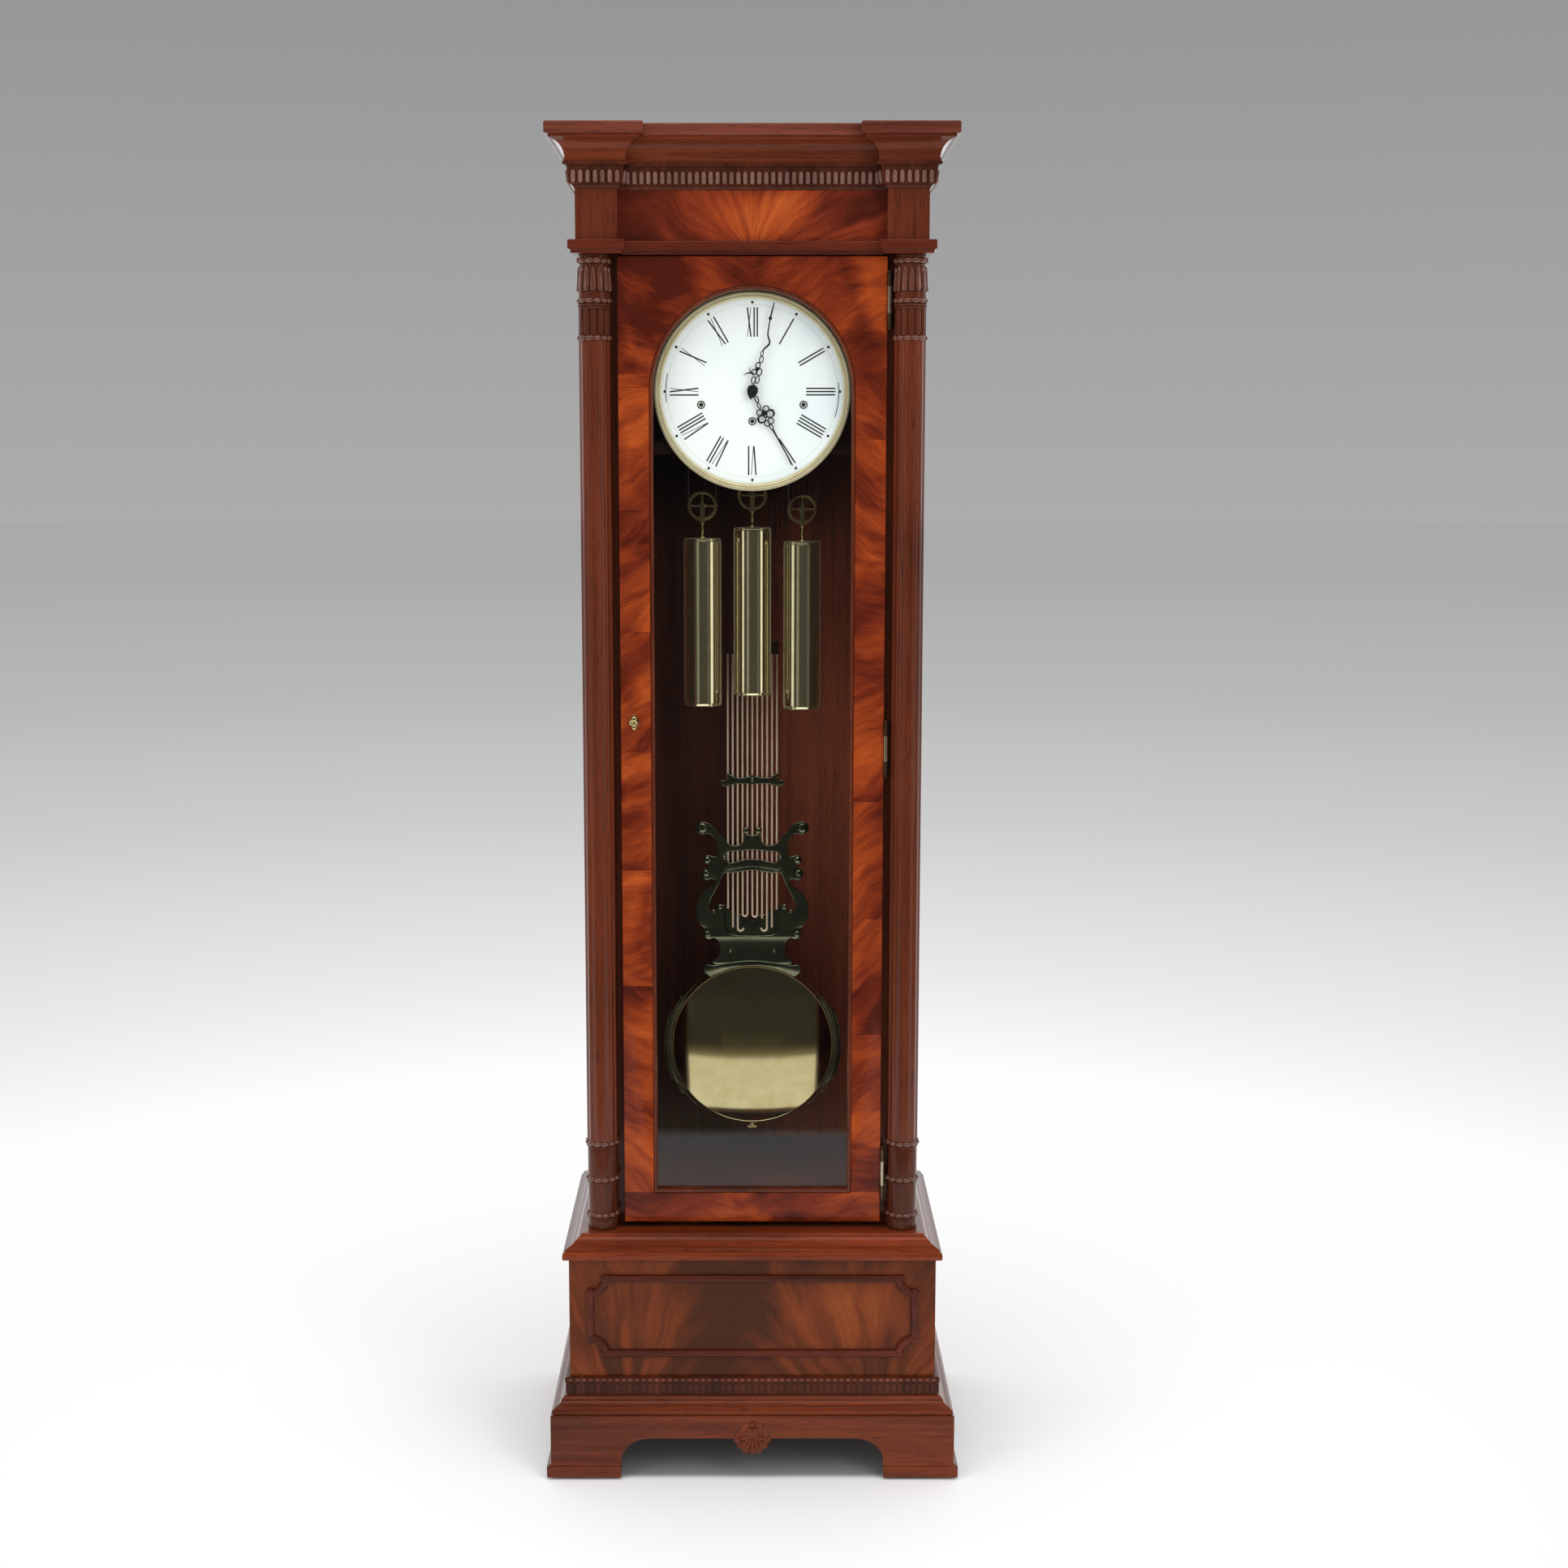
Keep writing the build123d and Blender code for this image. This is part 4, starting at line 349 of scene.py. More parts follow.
@dataclass(frozen=True)
class Mahogany(Finish):
    """Plain mahogany with straight grain, pores and a polished lacquer; scales are across and along the grain."""

    grain: Grain = Grain.UP
    deep: Colour = (0.04, 0.0078, 0.0032)
    middle: Colour = (0.108, 0.0215, 0.0075)
    warm: Colour = (0.2, 0.0395, 0.0115)
    roughness: float = 0.36
    coat: float = 1.0
    coat_roughness: float = 0.07
    coat_ior: float = 1.22
    # How much painted light from the door falls on a back's inner face.
    painted_door_light: float = 0.0
    broad: Point = (16.0, 1.6)
    streak: Point = (110.0, 3.0)
    pore: Point = (900.0, 32.0)
    patch: float = 3.1
    stops: tuple[float, float, float] = (0.26, 0.48, 0.74)
    pore_depth: Point = (0.3, 0.44)
    pore_shade: float = 0.55
    inner_face: float = 0.2128
    painted_light_side: Point = (-0.05, 0.08)
    shade_height: Point = (1.42, 1.62)

    def stretched(self, surface: Surface, scale: Point) -> Field:
        """Coordinates drawn out along the grain, by cycles per metre across and along it."""
        across, down = scale
        return surface.stretch(tuple(down if axis == self.grain.value else across for axis in range(3)))

    def painted_light_and_shade(self, surface: Surface) -> Field:
        """Painted light and shade on a back: its inner face lighter towards the side where light falls through the door
        and darker towards the top, and its outer face evenly lighter.

        Args:
            surface: The surface.

        Returns:
            A factor on its colour.
        """
        x, y, z = surface.axes()
        within = x.span(*self.painted_light_side, 1.0, 1.0 + self.painted_door_light) * z.span(*self.shade_height, 1.0, 0.25)
        behind = y.step("GREATER_THAN", self.inner_face)
        return behind * (1.0 + 0.5 * self.painted_door_light - within) + within

    def dress(self, surface: Surface) -> None:
        """Wire the grain, the pores and the lacquer, with painted light and shade on a back.

        Args:
            surface: The surface.
        """
        broad = surface.noise(self.stretched(surface, self.broad), 3.0, 0.55, 0.6)
        streak = surface.noise(self.stretched(surface, self.streak), 3.0, 0.6, 0.3)
        pores = surface.noise(self.stretched(surface, self.pore))
        patch = surface.noise(self.patch)
        figure = broad * 0.55 + streak * 0.45 + (patch - 0.5) * 0.35
        colour = surface.ramp(figure, tuple(zip(self.stops, (self.deep, self.middle, self.warm))))
        dark = pores.span(*self.pore_depth, self.pore_shade, 1.0)
        # Painted light and shade: the back's inner face is lighter towards one side and darker towards the top.
        if self.painted_door_light:
            dark = dark * self.painted_light_and_shade(surface)
        surface.main(Base_Color=surface.darkened(colour, dark), Roughness=self.roughness, Coat_Weight=self.coat,
            Coat_Roughness=self.coat_roughness, Coat_IOR=self.coat_ior, Specular_IOR_Level=0.08)
        surface.relief(pores * 0.7 + streak, 0.04, 0.25)


@dataclass(frozen=True)
class Crotch(Finish):
    """What the crotch veneers share: four tones, short pores and a clear polish."""

    tones: tuple[Colour, Colour, Colour, Colour] = ((0.05, 0.0085, 0.004), (0.12, 0.017, 0.0065),
        (0.27, 0.041, 0.01), (0.42, 0.082, 0.016))

    def polish(self, surface: Surface, colour: Field, dark: Field, figure: Field) -> None:
        """Wire the colour, the polish and the faint relief.

        Args:
            surface: The surface.
            colour: The figured colour.
            dark: What pores and seams leave of it.
            figure: The fine lines that stand up a little.
        """
        surface.main(Base_Color=surface.darkened(colour, dark), Roughness=0.32, Coat_Weight=1.0,
            Coat_Roughness=0.05, Coat_IOR=1.2, Specular_IOR_Level=0.06)
        surface.relief(figure, 0.03, 0.2)


@dataclass(frozen=True)
class SheetVeneer(Crotch):
    """Crotch mahogany laid in short sheets up the door, orange clouds with fine streaks on dark red ground."""

    height: float = 0.187
    offset: float = 0.21
    arch: float = 1.742
    foot: float = 0.449
    seed_steps: tuple[float, float, float] = (2.37, 5.1, 31.0)
    lean: float = 0.85
    clouds: Place = (7.0, 1.0, 10.0)
    tongues: Place = (10.0, 1.0, 34.0)
    lines: Place = (26.0, 1.0, 170.0)
    stops: tuple[float, ...] = (0.36, 0.46, 0.58, 0.72)

    def light_and_shade(self, x: Field, z: Field, below: Field) -> Field:
        """Where the figure is darker or paler than elsewhere.

        Args:
            x: The place across.
            z: The height.
            below: 1 on the bottom rail.

        Returns:
            What is added to the figure.
        """
        shade = z.span(self.arch - 0.04, self.arch + 0.06, 0.0, 0.115)
        corner = (z * 0.35 + x).span(0.8, 0.835) * (x.span(0.1, 0.15) * z.span(1.79, 1.81, 0.05, 0.17))
        return corner - shade - below * x.span(0.0, -0.15, -0.01, 0.07)

    def dress(self, surface: Surface) -> None:
        """Wire the sheets, their figure and their seams.

        Args:
            surface: The surface.
        """
        x, y, z = surface.axes()
        side = x.step("SIGN")
        courses = z / self.height + side * self.offset
        above = z.step("GREATER_THAN", self.arch)
        below = z.step("LESS_THAN", self.foot)
        inside = 1.0 - above.most(below)
        up_step, side_step, arch_step = self.seed_steps
        number = courses.step("FLOOR") * inside + above * arch_step
        seed = number * up_step + side * inside * side_step
        tilt = (seed * 2.9).step("SINE") * self.lean
        bend = surface.noise(9.0, 2.0) * 0.075
        sheet = surface.vector(x, y + seed, z + (x * side * tilt + bend))
        clouds = surface.noise(surface.stretch(self.clouds, sheet), 2.0, 0.5, 0.8)
        tongues = surface.noise(surface.stretch(self.tongues, sheet), 3.0, 0.55, 0.9)
        lines = surface.noise(surface.stretch(self.lines, sheet), 2.0, 0.6, 0.4)
        figure = clouds * 0.58 + tongues * 0.28 + lines * 0.14 + self.light_and_shade(x, z, below)
        colour = surface.ramp(figure, tuple(zip(self.stops, self.tones)))
        seam = abs(courses.step("FRACT") - 0.5).span(0.4955, 0.499) * inside
        pores = surface.noise(surface.stretch((60.0, 60.0, 800.0)))
        self.polish(surface, colour, pores.span(0.3, 0.45, 0.8, 1.0) - seam * 0.35, lines)


@dataclass(frozen=True)
class FanVeneer(Crotch):
    """Crotch mahogany whose rays fan out from one point of the front face."""

    centre: Point = (0.0, 0.0)
    rays: float = 5.0
    curl: float = 0.0
    glow: Point = (0.0, 0.0)
    glow_reach: Point = (100.0, 100.0)
    plume: Point = (0.0, 0.0)
    plume_reach: Point = (100.0, 100.0)
    plume_strength: float = 0.1
    lean: float = 0.0
    wander: float = 0.45
    ends: Point = (900.0, 950.0)
    stops: tuple[float, ...] = (0.36, 0.48, 0.61, 0.74)

    def spot(self, x: Field, z: Field, centre: Point, size: Point, wander: Field) -> Field:
        """A soft oval spot that leans and wanders.

        Args:
            x: The place across.
            z: The height.
            centre: Its middle.
            size: Half its width and height.
            wander: What blurs its edge.

        Returns:
            1 in its middle, 0 outside it.
        """
        rise = z - centre[1] * MM
        across = (rise * -self.lean + x - centre[0] * MM) / (size[0] * MM)
        return (distance(across, rise / (size[1] * MM)) + wander).span(1.0, 0.15)

    def dress(self, surface: Surface) -> None:
        """Wire the rays, the glow, the dark plume and the shaded ends.

        Args:
            surface: The surface.
        """
        x, y, z = surface.axes()
        across = abs(x) - self.centre[0] * MM
        up = z - self.centre[1] * MM
        reach = distance(across, up)
        wander = (surface.noise(9.0, 2.0) - 0.5) * self.wander
        turn = up.step("ARCTAN2", across) + reach * self.curl + wander
        fan = surface.vector(turn * self.rays, reach * 5.0, x.step("SIGN") * 3.7 + y * 3.0)
        rays = surface.noise(fan, 2.0, 0.5, 0.3)
        fine = surface.noise(surface.stretch((6.0, 2.5, 1.0), fan), 2.0, 0.6)
        clouds = surface.noise(surface.stretch((6.0, 6.0, 8.0)), 2.0, 0.5, 0.5)
        glow = self.spot(x, z, self.glow, self.glow_reach, wander)
        plume = self.spot(x, z, self.plume, self.plume_reach, wander)
        low, high = (end * MM for end in self.ends)
        ends = (wander * 0.09 + abs(x)).span(low, high, 0.0, 0.065)
        figure = rays * 0.58 + fine * 0.17 + clouds * 0.25 + glow * 0.16 - plume * self.plume_strength - ends
        colour = surface.ramp(figure, tuple(zip(self.stops, self.tones)))
        pores = surface.noise(surface.stretch((500.0, 60.0, 60.0)))
        self.polish(surface, colour, pores.span(0.3, 0.45, 0.86, 1.0), fine)


@dataclass(frozen=True)
class Metal(Finish):
    """A metal surface with faint uneven polish and fine scratches."""

    colour: Colour
    shadow: Colour
    roughness: float
    spread: float = 0.05
    grain: float = 0.04
    metallic: float = 1.0
    haze: float = 0.0

    def dress(self, surface: Surface) -> None:
        """Wire the tarnish, the scratches and the haze at grazing angles.

        Args:
            surface: The surface.
        """
        tarnish = surface.noise(38.0, 4.0, 0.6)
        colour = surface.mix(tarnish.span(0.35, 0.75), self.colour, self.shadow)
        metallic: Field | float = self.metallic
        if self.haze:
            facing = Field(surface, surface.node("ShaderNodeLayerWeight").outputs["Facing"])
            metallic = facing.span(0.45, 0.85, self.metallic, self.metallic - self.haze)
        surface.main(Base_Color=colour, Metallic=metallic, Roughness=tarnish * self.spread + self.roughness)
        if self.grain:
            surface.relief(surface.noise(surface.stretch((700.0, 700.0, 25.0))), 0.01, self.grain)


@dataclass(frozen=True)
class Enamel(Finish):
    """The dial's white painted face, faintly cloudy, with painted shade towards its right side, under a clear gloss."""

    colour: Colour = (0.88, 0.925, 0.905)
    painted_shade_colour: Colour = (0.8, 0.87, 0.89)

    def dress(self, surface: Surface) -> None:
        """Wire the painted shade, from warm white to a cooler, darker white towards the right side with faint clouds,
        and the gloss.

        Args:
            surface: The surface.
        """
        x, _, _ = surface.axes()
        # Painted shade: the face turns cooler and darker towards the right side, broken by faint clouds.
        painted_shade_and_clouds = x * 1.6 + (surface.noise(9.0, 3.0) - 0.05)
        colour = surface.mix(painted_shade_and_clouds.span(0.4, 0.8), self.colour, self.painted_shade_colour)
        surface.main(Base_Color=colour, Roughness=0.28, Coat_Weight=0.5, Coat_Roughness=0.08)
        surface.relief(surface.noise(900.0), 0.01, 0.15)


@dataclass(frozen=True)
class Lacquer(Finish):
    """Paint, plastic or rough casting: one colour with a mottled surface."""

    colour: Colour
    light: Colour
    roughness: float = 0.5
    scale: float = 300.0
    depth: float = 0.05

    def dress(self, surface: Surface) -> None:
        """Wire the mottle.

        Args:
            surface: The surface.
        """
        mottle = surface.noise(self.scale, 3.0)
        colour = surface.mix(mottle.span(0.35, 0.7), self.colour, self.light)
        surface.main(Base_Color=colour, Roughness=self.roughness)
        surface.relief(mottle, self.depth, 0.3)


@dataclass(frozen=True)
class Pane(Finish):
    """Clear window glass that lets light through to what is behind it."""

    tint: Colour = (0.97, 0.99, 0.98)
    clear: Colour = (0.99, 0.995, 0.99)

    def dress(self, surface: Surface) -> None:
        """Wire the faint tint, and let shadow rays and scattered light pass.

        Args:
            surface: The surface.
        """
        ripple = surface.noise(surface.stretch((2.2, 2.2, 1.4)))
        surface.main(Base_Color=surface.mix(ripple, self.tint, self.clear), Roughness=0.0,
                     Transmission_Weight=1.0, IOR=1.36)
        open_air = surface.node("ShaderNodeBsdfTransparent")
        surface.plug(open_air, Color=self.clear)
        surface.lay_over(open_air, surface.ray("Is Shadow Ray").most(surface.ray("Is Diffuse Ray")))


# Every finish on the clock.
FRONT = Mahogany("mahogany_across", Grain.ACROSS)
SIDE = Mahogany("mahogany_depth", Grain.DEPTH, coat_roughness=0.03, coat_ior=1.5)
DARKER = Mahogany("mahogany_dark_across", Grain.ACROSS, (0.026, 0.0048, 0.0022), (0.07, 0.012, 0.005),
    (0.13, 0.022, 0.0085))
BRIGHT = Mahogany("mahogany_waist", Grain.ACROSS, (0.06, 0.0098, 0.003), (0.165, 0.0275, 0.0075),
    (0.29, 0.052, 0.013))
# The tongues are a pale pinkish grey: partly their polished mahogany, partly a painted reflection of the pale floor.
TONGUES = Mahogany("mahogany_tongues_painted_reflection", Grain.UP, (0.08, 0.035, 0.026), (0.165, 0.082, 0.064), (0.25, 0.135, 0.108),
    0.36, 1.0, 0.06, 1.5)
UPRIGHT = Mahogany("mahogany_upright", Grain.UP)
CARVED = Mahogany("mahogany_carved", Grain.UP, (0.024, 0.006, 0.003), (0.064, 0.0155, 0.0068),
    (0.115, 0.027, 0.011), 0.34, 1.0, 0.07, 1.22)
LEAVES = Mahogany("mahogany_leaves", Grain.UP, (0.036, 0.01, 0.0056), (0.092, 0.026, 0.014), (0.16, 0.05, 0.029),
    0.3, 1.0, 0.07, 1.7)
REEDS = Mahogany("mahogany_reeds", Grain.UP, (0.02, 0.005, 0.0024), (0.055, 0.0125, 0.0052), (0.1, 0.022, 0.0085),
    0.36, 1.0, 0.08, 1.2)
# The beads are a lighter copy of the mahogany: a painted highlight along the row of beads.
BEADS = Mahogany("mahogany_beads_painted_highlight", Grain.UP, (0.05, 0.012, 0.006), (0.12, 0.03, 0.015), (0.2, 0.055, 0.03), 0.34,
    1.0, 0.05, 1.35)
COLUMN = Mahogany("mahogany_column", Grain.UP, (0.04, 0.0082, 0.0036), (0.1, 0.0205, 0.008), (0.165, 0.033, 0.011),
    0.34, 1.0, 0.07, 1.3)
HIDDEN = Mahogany("mahogany_inside", Grain.UP, (0.028, 0.008, 0.004), (0.07, 0.018, 0.008), (0.115, 0.028, 0.011),
    0.5, 0.15, 0.3)
UNLIT = Mahogany("mahogany_unlit", Grain.ACROSS, (0.009, 0.0036, 0.0022), (0.02, 0.007, 0.004),
    (0.032, 0.011, 0.006), 0.6, 0.0, 0.3)
# The back boards carry painted light from the door and painted shade towards the top.
BACK = Mahogany("mahogany_back", Grain.UP, (0.034, 0.0085, 0.0045), (0.075, 0.018, 0.0085), (0.12, 0.028, 0.012),
    0.5, 0.15, 0.3, painted_door_light=3.0)
DOOR = SheetVeneer("veneer_door", ((0.066, 0.0088, 0.0036), (0.15, 0.0195, 0.0055), (0.3, 0.048, 0.0085),
    (0.46, 0.09, 0.015)))
SIDES = Mahogany("veneer_sides", Grain.UP, (0.05, 0.01, 0.0045), (0.14, 0.028, 0.01), (0.25, 0.054, 0.016))
FRIEZE = FanVeneer("veneer_frieze", centre=(0.0, 1915.0), rays=3.4, glow=(18.0, 1975.0), glow_reach=(118.0, 60.0),
    plume=(-175.0, 1955.0), plume_reach=(50.0, 34.0), plume_strength=0.05, wander=0.55, ends=(88.0, 168.0))
PANEL = FanVeneer("veneer_panel", ((0.052, 0.013, 0.0036), (0.092, 0.019, 0.0042), (0.16, 0.032, 0.0062),
    (0.225, 0.05, 0.009)), centre=(205.0, 70.0), rays=7.0, curl=0.4, glow=(160.0, 265.0), glow_reach=(150.0, 110.0),
    plume=(-30.0, 262.0), plume_reach=(98.0, 190.0), plume_strength=0.17, lean=0.25, wander=0.3)
BRASS = Metal("brass_polished", (0.72, 0.6, 0.32), (0.64, 0.52, 0.25), 0.07, 0.03, 0.0)
BOB = Metal("brass_bob", (0.63, 0.53, 0.285), (0.56, 0.46, 0.225), 0.07, 0.03, 0.0)
WEIGHT = Metal("brass_weight", (0.74, 0.66, 0.4), (0.66, 0.57, 0.33), 0.07, 0.03, 0.0, 0.97, 0.42)
SATIN = Metal("brass_satin", (0.46, 0.36, 0.17), (0.3, 0.23, 0.1), 0.26)
LYRE = Metal("brass_lyre", (0.25, 0.26, 0.16), (0.15, 0.165, 0.11), 0.12, 0.06, 0.0)
WINGS = Metal("brass_wings", (0.15, 0.14, 0.08), (0.1, 0.09, 0.05), 0.16, 0.06, 0.0)
RODS = Metal("brass_rods", (0.8, 0.6, 0.44), (0.66, 0.48, 0.34), 0.24, metallic=0.45)
BEZEL = Metal("brass_bezel", (0.82, 0.73, 0.47), (0.72, 0.62, 0.37), 0.34, 0.08, 0.04, 0.62)
BRONZE = Lacquer("dark_bronze", (0.03, 0.03, 0.028), (0.06, 0.058, 0.052), 0.34, 300.0, 0.01)
BLUED = Metal("steel_blued", (0.075, 0.04, 0.03), (0.05, 0.026, 0.02), 0.42, metallic=0.8)
HINGE = Metal("brass_hinge", (0.62, 0.55, 0.38), (0.48, 0.42, 0.28), 0.3)
# The case hinges are a very dark brass: painted shade for the strip between door and column where they sit.
LEAF = Metal("brass_painted_shade", (0.15, 0.095, 0.06), (0.1, 0.062, 0.04), 0.4)
SLAB = Mahogany("mahogany_slab", Grain.ACROSS, (0.05, 0.0112, 0.0068), (0.125, 0.03, 0.018), (0.205, 0.056, 0.034))
STEEL = Metal("steel", (0.42, 0.42, 0.41), (0.3, 0.3, 0.3), 0.26)
CABLE = Metal("steel_cable", (0.33, 0.33, 0.31), (0.2, 0.2, 0.19), 0.38, grain=0.5)
DIAL = Enamel("dial_white")
BLACK = Lacquer("hand_black", (0.012, 0.013, 0.013), (0.022, 0.023, 0.023), 0.34, 500.0, 0.01)
MINUTES = Lacquer("dial_minute_ring", (0.4, 0.5, 0.52), (0.48, 0.58, 0.6), 0.4, 500.0, 0.01)
IRON = Lacquer("cast_iron", (0.03, 0.03, 0.031), (0.06, 0.06, 0.06), 0.55, 420.0, 0.25)
PLASTIC = Lacquer("glide_plastic", (0.02, 0.018, 0.017), (0.032, 0.029, 0.027), 0.5, 700.0, 0.04)
GLASS = Pane("clear_glass")


def paint(piece: Piece, finish: Finish) -> Piece:
    """Give a piece one finish all over.

    Args:
        piece: The piece.
        finish: The finish.

    Returns:
        The same piece.
    """
    piece.data.materials.clear()
    piece.data.materials.append(finish.build())
    return piece


# ---- bench work: how pieces are modelled ----
MERGE = 0.02
SMOOTH_ANGLE = 32.0
MITRE_SPARE = 160.0


def grasp(*pieces: Piece) -> Piece:
    """Select only these pieces, with the first one active.

    Args:
        pieces: The pieces.

    Returns:
        The first of them.
    """
    bpy.ops.object.select_all(action="DESELECT")
    for piece in pieces:
        piece.select_set(True)
    bpy.context.view_layer.objects.active = pieces[0]
    return pieces[0]


def settle(piece: Piece) -> Piece:
    """Write a piece's place, turn and scale into its mesh.

    Args:
        piece: The piece.

    Returns:
        The same piece.
    """
    grasp(piece)
    bpy.ops.object.transform_apply(location=True, rotation=True, scale=True)
    return piece


def converted(data: bpy.types.Curve) -> Piece:
    """Make a mesh of a curve.

    Args:
        data: The curve.

    Returns:
        The mesh as a new piece.
    """
    piece = bpy.data.objects.new(data.name, data)
    bpy.context.collection.objects.link(piece)
    grasp(piece)
    bpy.ops.object.convert(target="MESH")
    return bpy.context.object


def bevelled(piece: Piece, edge: float, sharp: float = 30.0) -> Piece:
    """Ease the edges that are sharper than an angle in degrees."""
    return work(piece, "BEVEL", width=edge * MM, segments=2, limit_method="ANGLE", angle_limit=math.radians(sharp))


def work(piece: Piece, kind: str, **settings: object) -> Piece:
    """Add a modifier and apply it.

    Args:
        piece: The piece.
        kind: The modifier's type.
        settings: Its fields and their values.

    Returns:
        The same piece.
    """
    modifier = piece.modifiers.new(kind, kind)
    for key, value in settings.items():
        setattr(modifier, key, value)
    grasp(piece)
    bpy.ops.object.modifier_apply(modifier=modifier.name)
    return piece


def tidy_mesh(piece: Piece, angle: float = SMOOTH_ANGLE) -> Piece:
    """Merge doubles, point the faces outwards and smooth all but the sharp edges.

    Args:
        piece: The piece.
        angle: Degrees past which an edge stays sharp.

    Returns:
        The same piece.
    """
    grasp(piece)
    bpy.ops.object.mode_set(mode="EDIT")
    bpy.ops.mesh.select_all(action="SELECT")
    bpy.ops.mesh.remove_doubles(threshold=MERGE * MM)
    bpy.ops.mesh.normals_make_consistent(inside=False)
    bpy.ops.object.mode_set(mode="OBJECT")
    bpy.ops.object.shade_smooth_by_angle(angle=math.radians(angle))
    return piece


def joined(pieces: Sequence[Piece], name: str) -> Piece:
    """Join pieces into one.

    Args:
        pieces: The pieces.
        name: The name of the whole.

    Returns:
        The whole.
    """
    piece = grasp(*pieces)
    if len(pieces) > 1:
        bpy.ops.object.join()
    piece.name = name
    piece.data.name = name
    return piece


def copied(piece: Piece) -> Piece:
    """Copy a piece with its own mesh.

    Args:
        piece: The piece.

    Returns:
        The copy.
    """
    twin = piece.copy()
    twin.data = piece.data.copy()
    bpy.context.collection.objects.link(twin)
    return twin


def moved(piece: Piece, x: float = 0.0, y: float = 0.0, z: float = 0.0, turn: float = 0.0,
          axis: str = "Z", about: Place = (0.0, 0.0, 0.0)) -> Piece:
    """Turn a piece about an axis through a point, then shift it, and settle it.

    Args:
        piece: The piece.
        x: Shift in x.
        y: Shift in y.
        z: Shift in z.
        turn: Degrees, counter-clockwise from the axis's far end.
        axis: X, Y or Z.
        about: The point that the axis goes through.

    Returns:
        The same piece.
    """
    centre = Vector(about) * MM
    turning = Matrix.Translation(centre) @ Matrix.Rotation(math.radians(turn), 4, axis) @ Matrix.Translation(-centre)
    piece.matrix_world = Matrix.Translation(Vector((x, y, z)) * MM) @ turning @ piece.matrix_world
    return settle(piece)


def box(low: Place, high: Place, edge: float) -> Piece:
    """A board between two corners, with eased edges.

    Args:
        low: One corner.
        high: The opposite corner.
        edge: How far the edges are eased.

    Returns:
        The board.
    """
    bpy.ops.object.select_all(action="DESELECT")
    centre = [(a + b) / 2 * MM for a, b in zip(low, high)]
    size = [abs(b - a) * MM for a, b in zip(low, high)]
    bpy.ops.mesh.primitive_cube_add(size=1.0, location=centre, scale=size)
    piece = bevelled(settle(bpy.context.object), edge)
    bpy.ops.object.shade_smooth_by_angle(angle=math.radians(SMOOTH_ANGLE))
    return piece


def sheet(loops: Sequence[Loop], thickness: float, edge: float = 0.0, smooth: bool = False,
          rounds: int = 2) -> Piece:
    """A board sawn from outlines drawn in x and y, with its middle on z = 0.

    Args:
        loops: Outlines; one inside another is a hole.
        thickness: How thick it is.
        edge: How far its edges are rounded.
        smooth: Flow through the points.
        rounds: How finely the edges are rounded.

    Returns:
        The board as a mesh.
    """
    data = bpy.data.curves.new("outline", "CURVE")
    data.dimensions = "2D"
    data.fill_mode = "BOTH"
    data.resolution_u = 8
    for loop in loops:
        spline = data.splines.new("BEZIER" if smooth else "POLY")
        points = spline.bezier_points if smooth else spline.points
        points.add(len(loop) - 1)
        for point, (x, y) in zip(points, loop):
            if smooth:
                point.co = (x * MM, y * MM, 0.0)
                point.handle_left_type = point.handle_right_type = "AUTO"
            else:
                point.co = (x * MM, y * MM, 0.0, 1.0)
        spline.use_cyclic_u = True
    data.bevel_depth = edge * MM
    data.bevel_resolution = rounds
    data.offset = -edge * MM
    data.extrude = (thickness / 2 - edge) * MM
    return tidy_mesh(converted(data))


def upright(loops: Sequence[Loop], front: float, back: float, edge: float = 0.0, smooth: bool = False,
            rounds: int = 2) -> Piece:
    """A board sawn from outlines drawn in x and z, between two depths."""
    piece = sheet(loops, back - front, edge, smooth, rounds)
    return moved(moved(piece, turn=90, axis="X"), y=(front + back) / 2)


def level(loops: Sequence[Loop], bottom: float, top: float, edge: float = 0.0, rounds: int = 2) -> Piece:
    """A board sawn from outlines drawn in x and y, between two heights."""
    return moved(sheet(loops, top - bottom, edge, rounds=rounds), z=(bottom + top) / 2)


def turned(profile: Loop, steps: int = 48, angle: float = SMOOTH_ANGLE) -> Piece:
    """A turning about the z axis.

    Args:
        profile: Its radius and height points.
        steps: Faces round it.
        angle: Degrees past which an edge stays sharp.

    Returns:
        The turning.
    """
    data = bpy.data.curves.new("profile", "CURVE")
    data.dimensions = "3D"
    spline = data.splines.new("POLY")
    spline.points.add(len(profile) - 1)
    for point, (radius, height) in zip(spline.points, profile):
        point.co = (radius * MM, 0.0, height * MM, 1.0)
    piece = converted(data)
    bpy.ops.object.mode_set(mode="EDIT")
    bpy.ops.mesh.select_all(action="SELECT")
    bpy.ops.mesh.spin(steps=steps, angle=math.tau, center=(0, 0, 0), axis=(0, 0, 1))
    bpy.ops.object.mode_set(mode="OBJECT")
    return tidy_mesh(piece, angle)


def facing(piece: Piece, x: float, y: float, z: float) -> Piece:
    """Lay a turning down so that its height runs back along y, with its foot at a point."""
    return moved(moved(piece, turn=-90, axis="X"), x, y, z)


def ball(x: float, y: float, z: float, radii: Sequence[float], segments: int = 16, rings: int = 10) -> Piece:
    """A rounded bead.

    Args:
        x: Its middle.
        y: Its middle.
        z: Its middle.
        radii: Its reach along x, y and z.
        segments: Faces round it.
        rings: Faces from pole to pole.

    Returns:
        The bead.
    """
    bpy.ops.object.select_all(action="DESELECT")
    bpy.ops.mesh.primitive_uv_sphere_add(segments=segments, ring_count=rings, radius=1.0,
        location=(x * MM, y * MM, z * MM), scale=[r * MM for r in radii])
    piece = settle(bpy.context.object)
    bpy.ops.object.shade_smooth()
    return piece


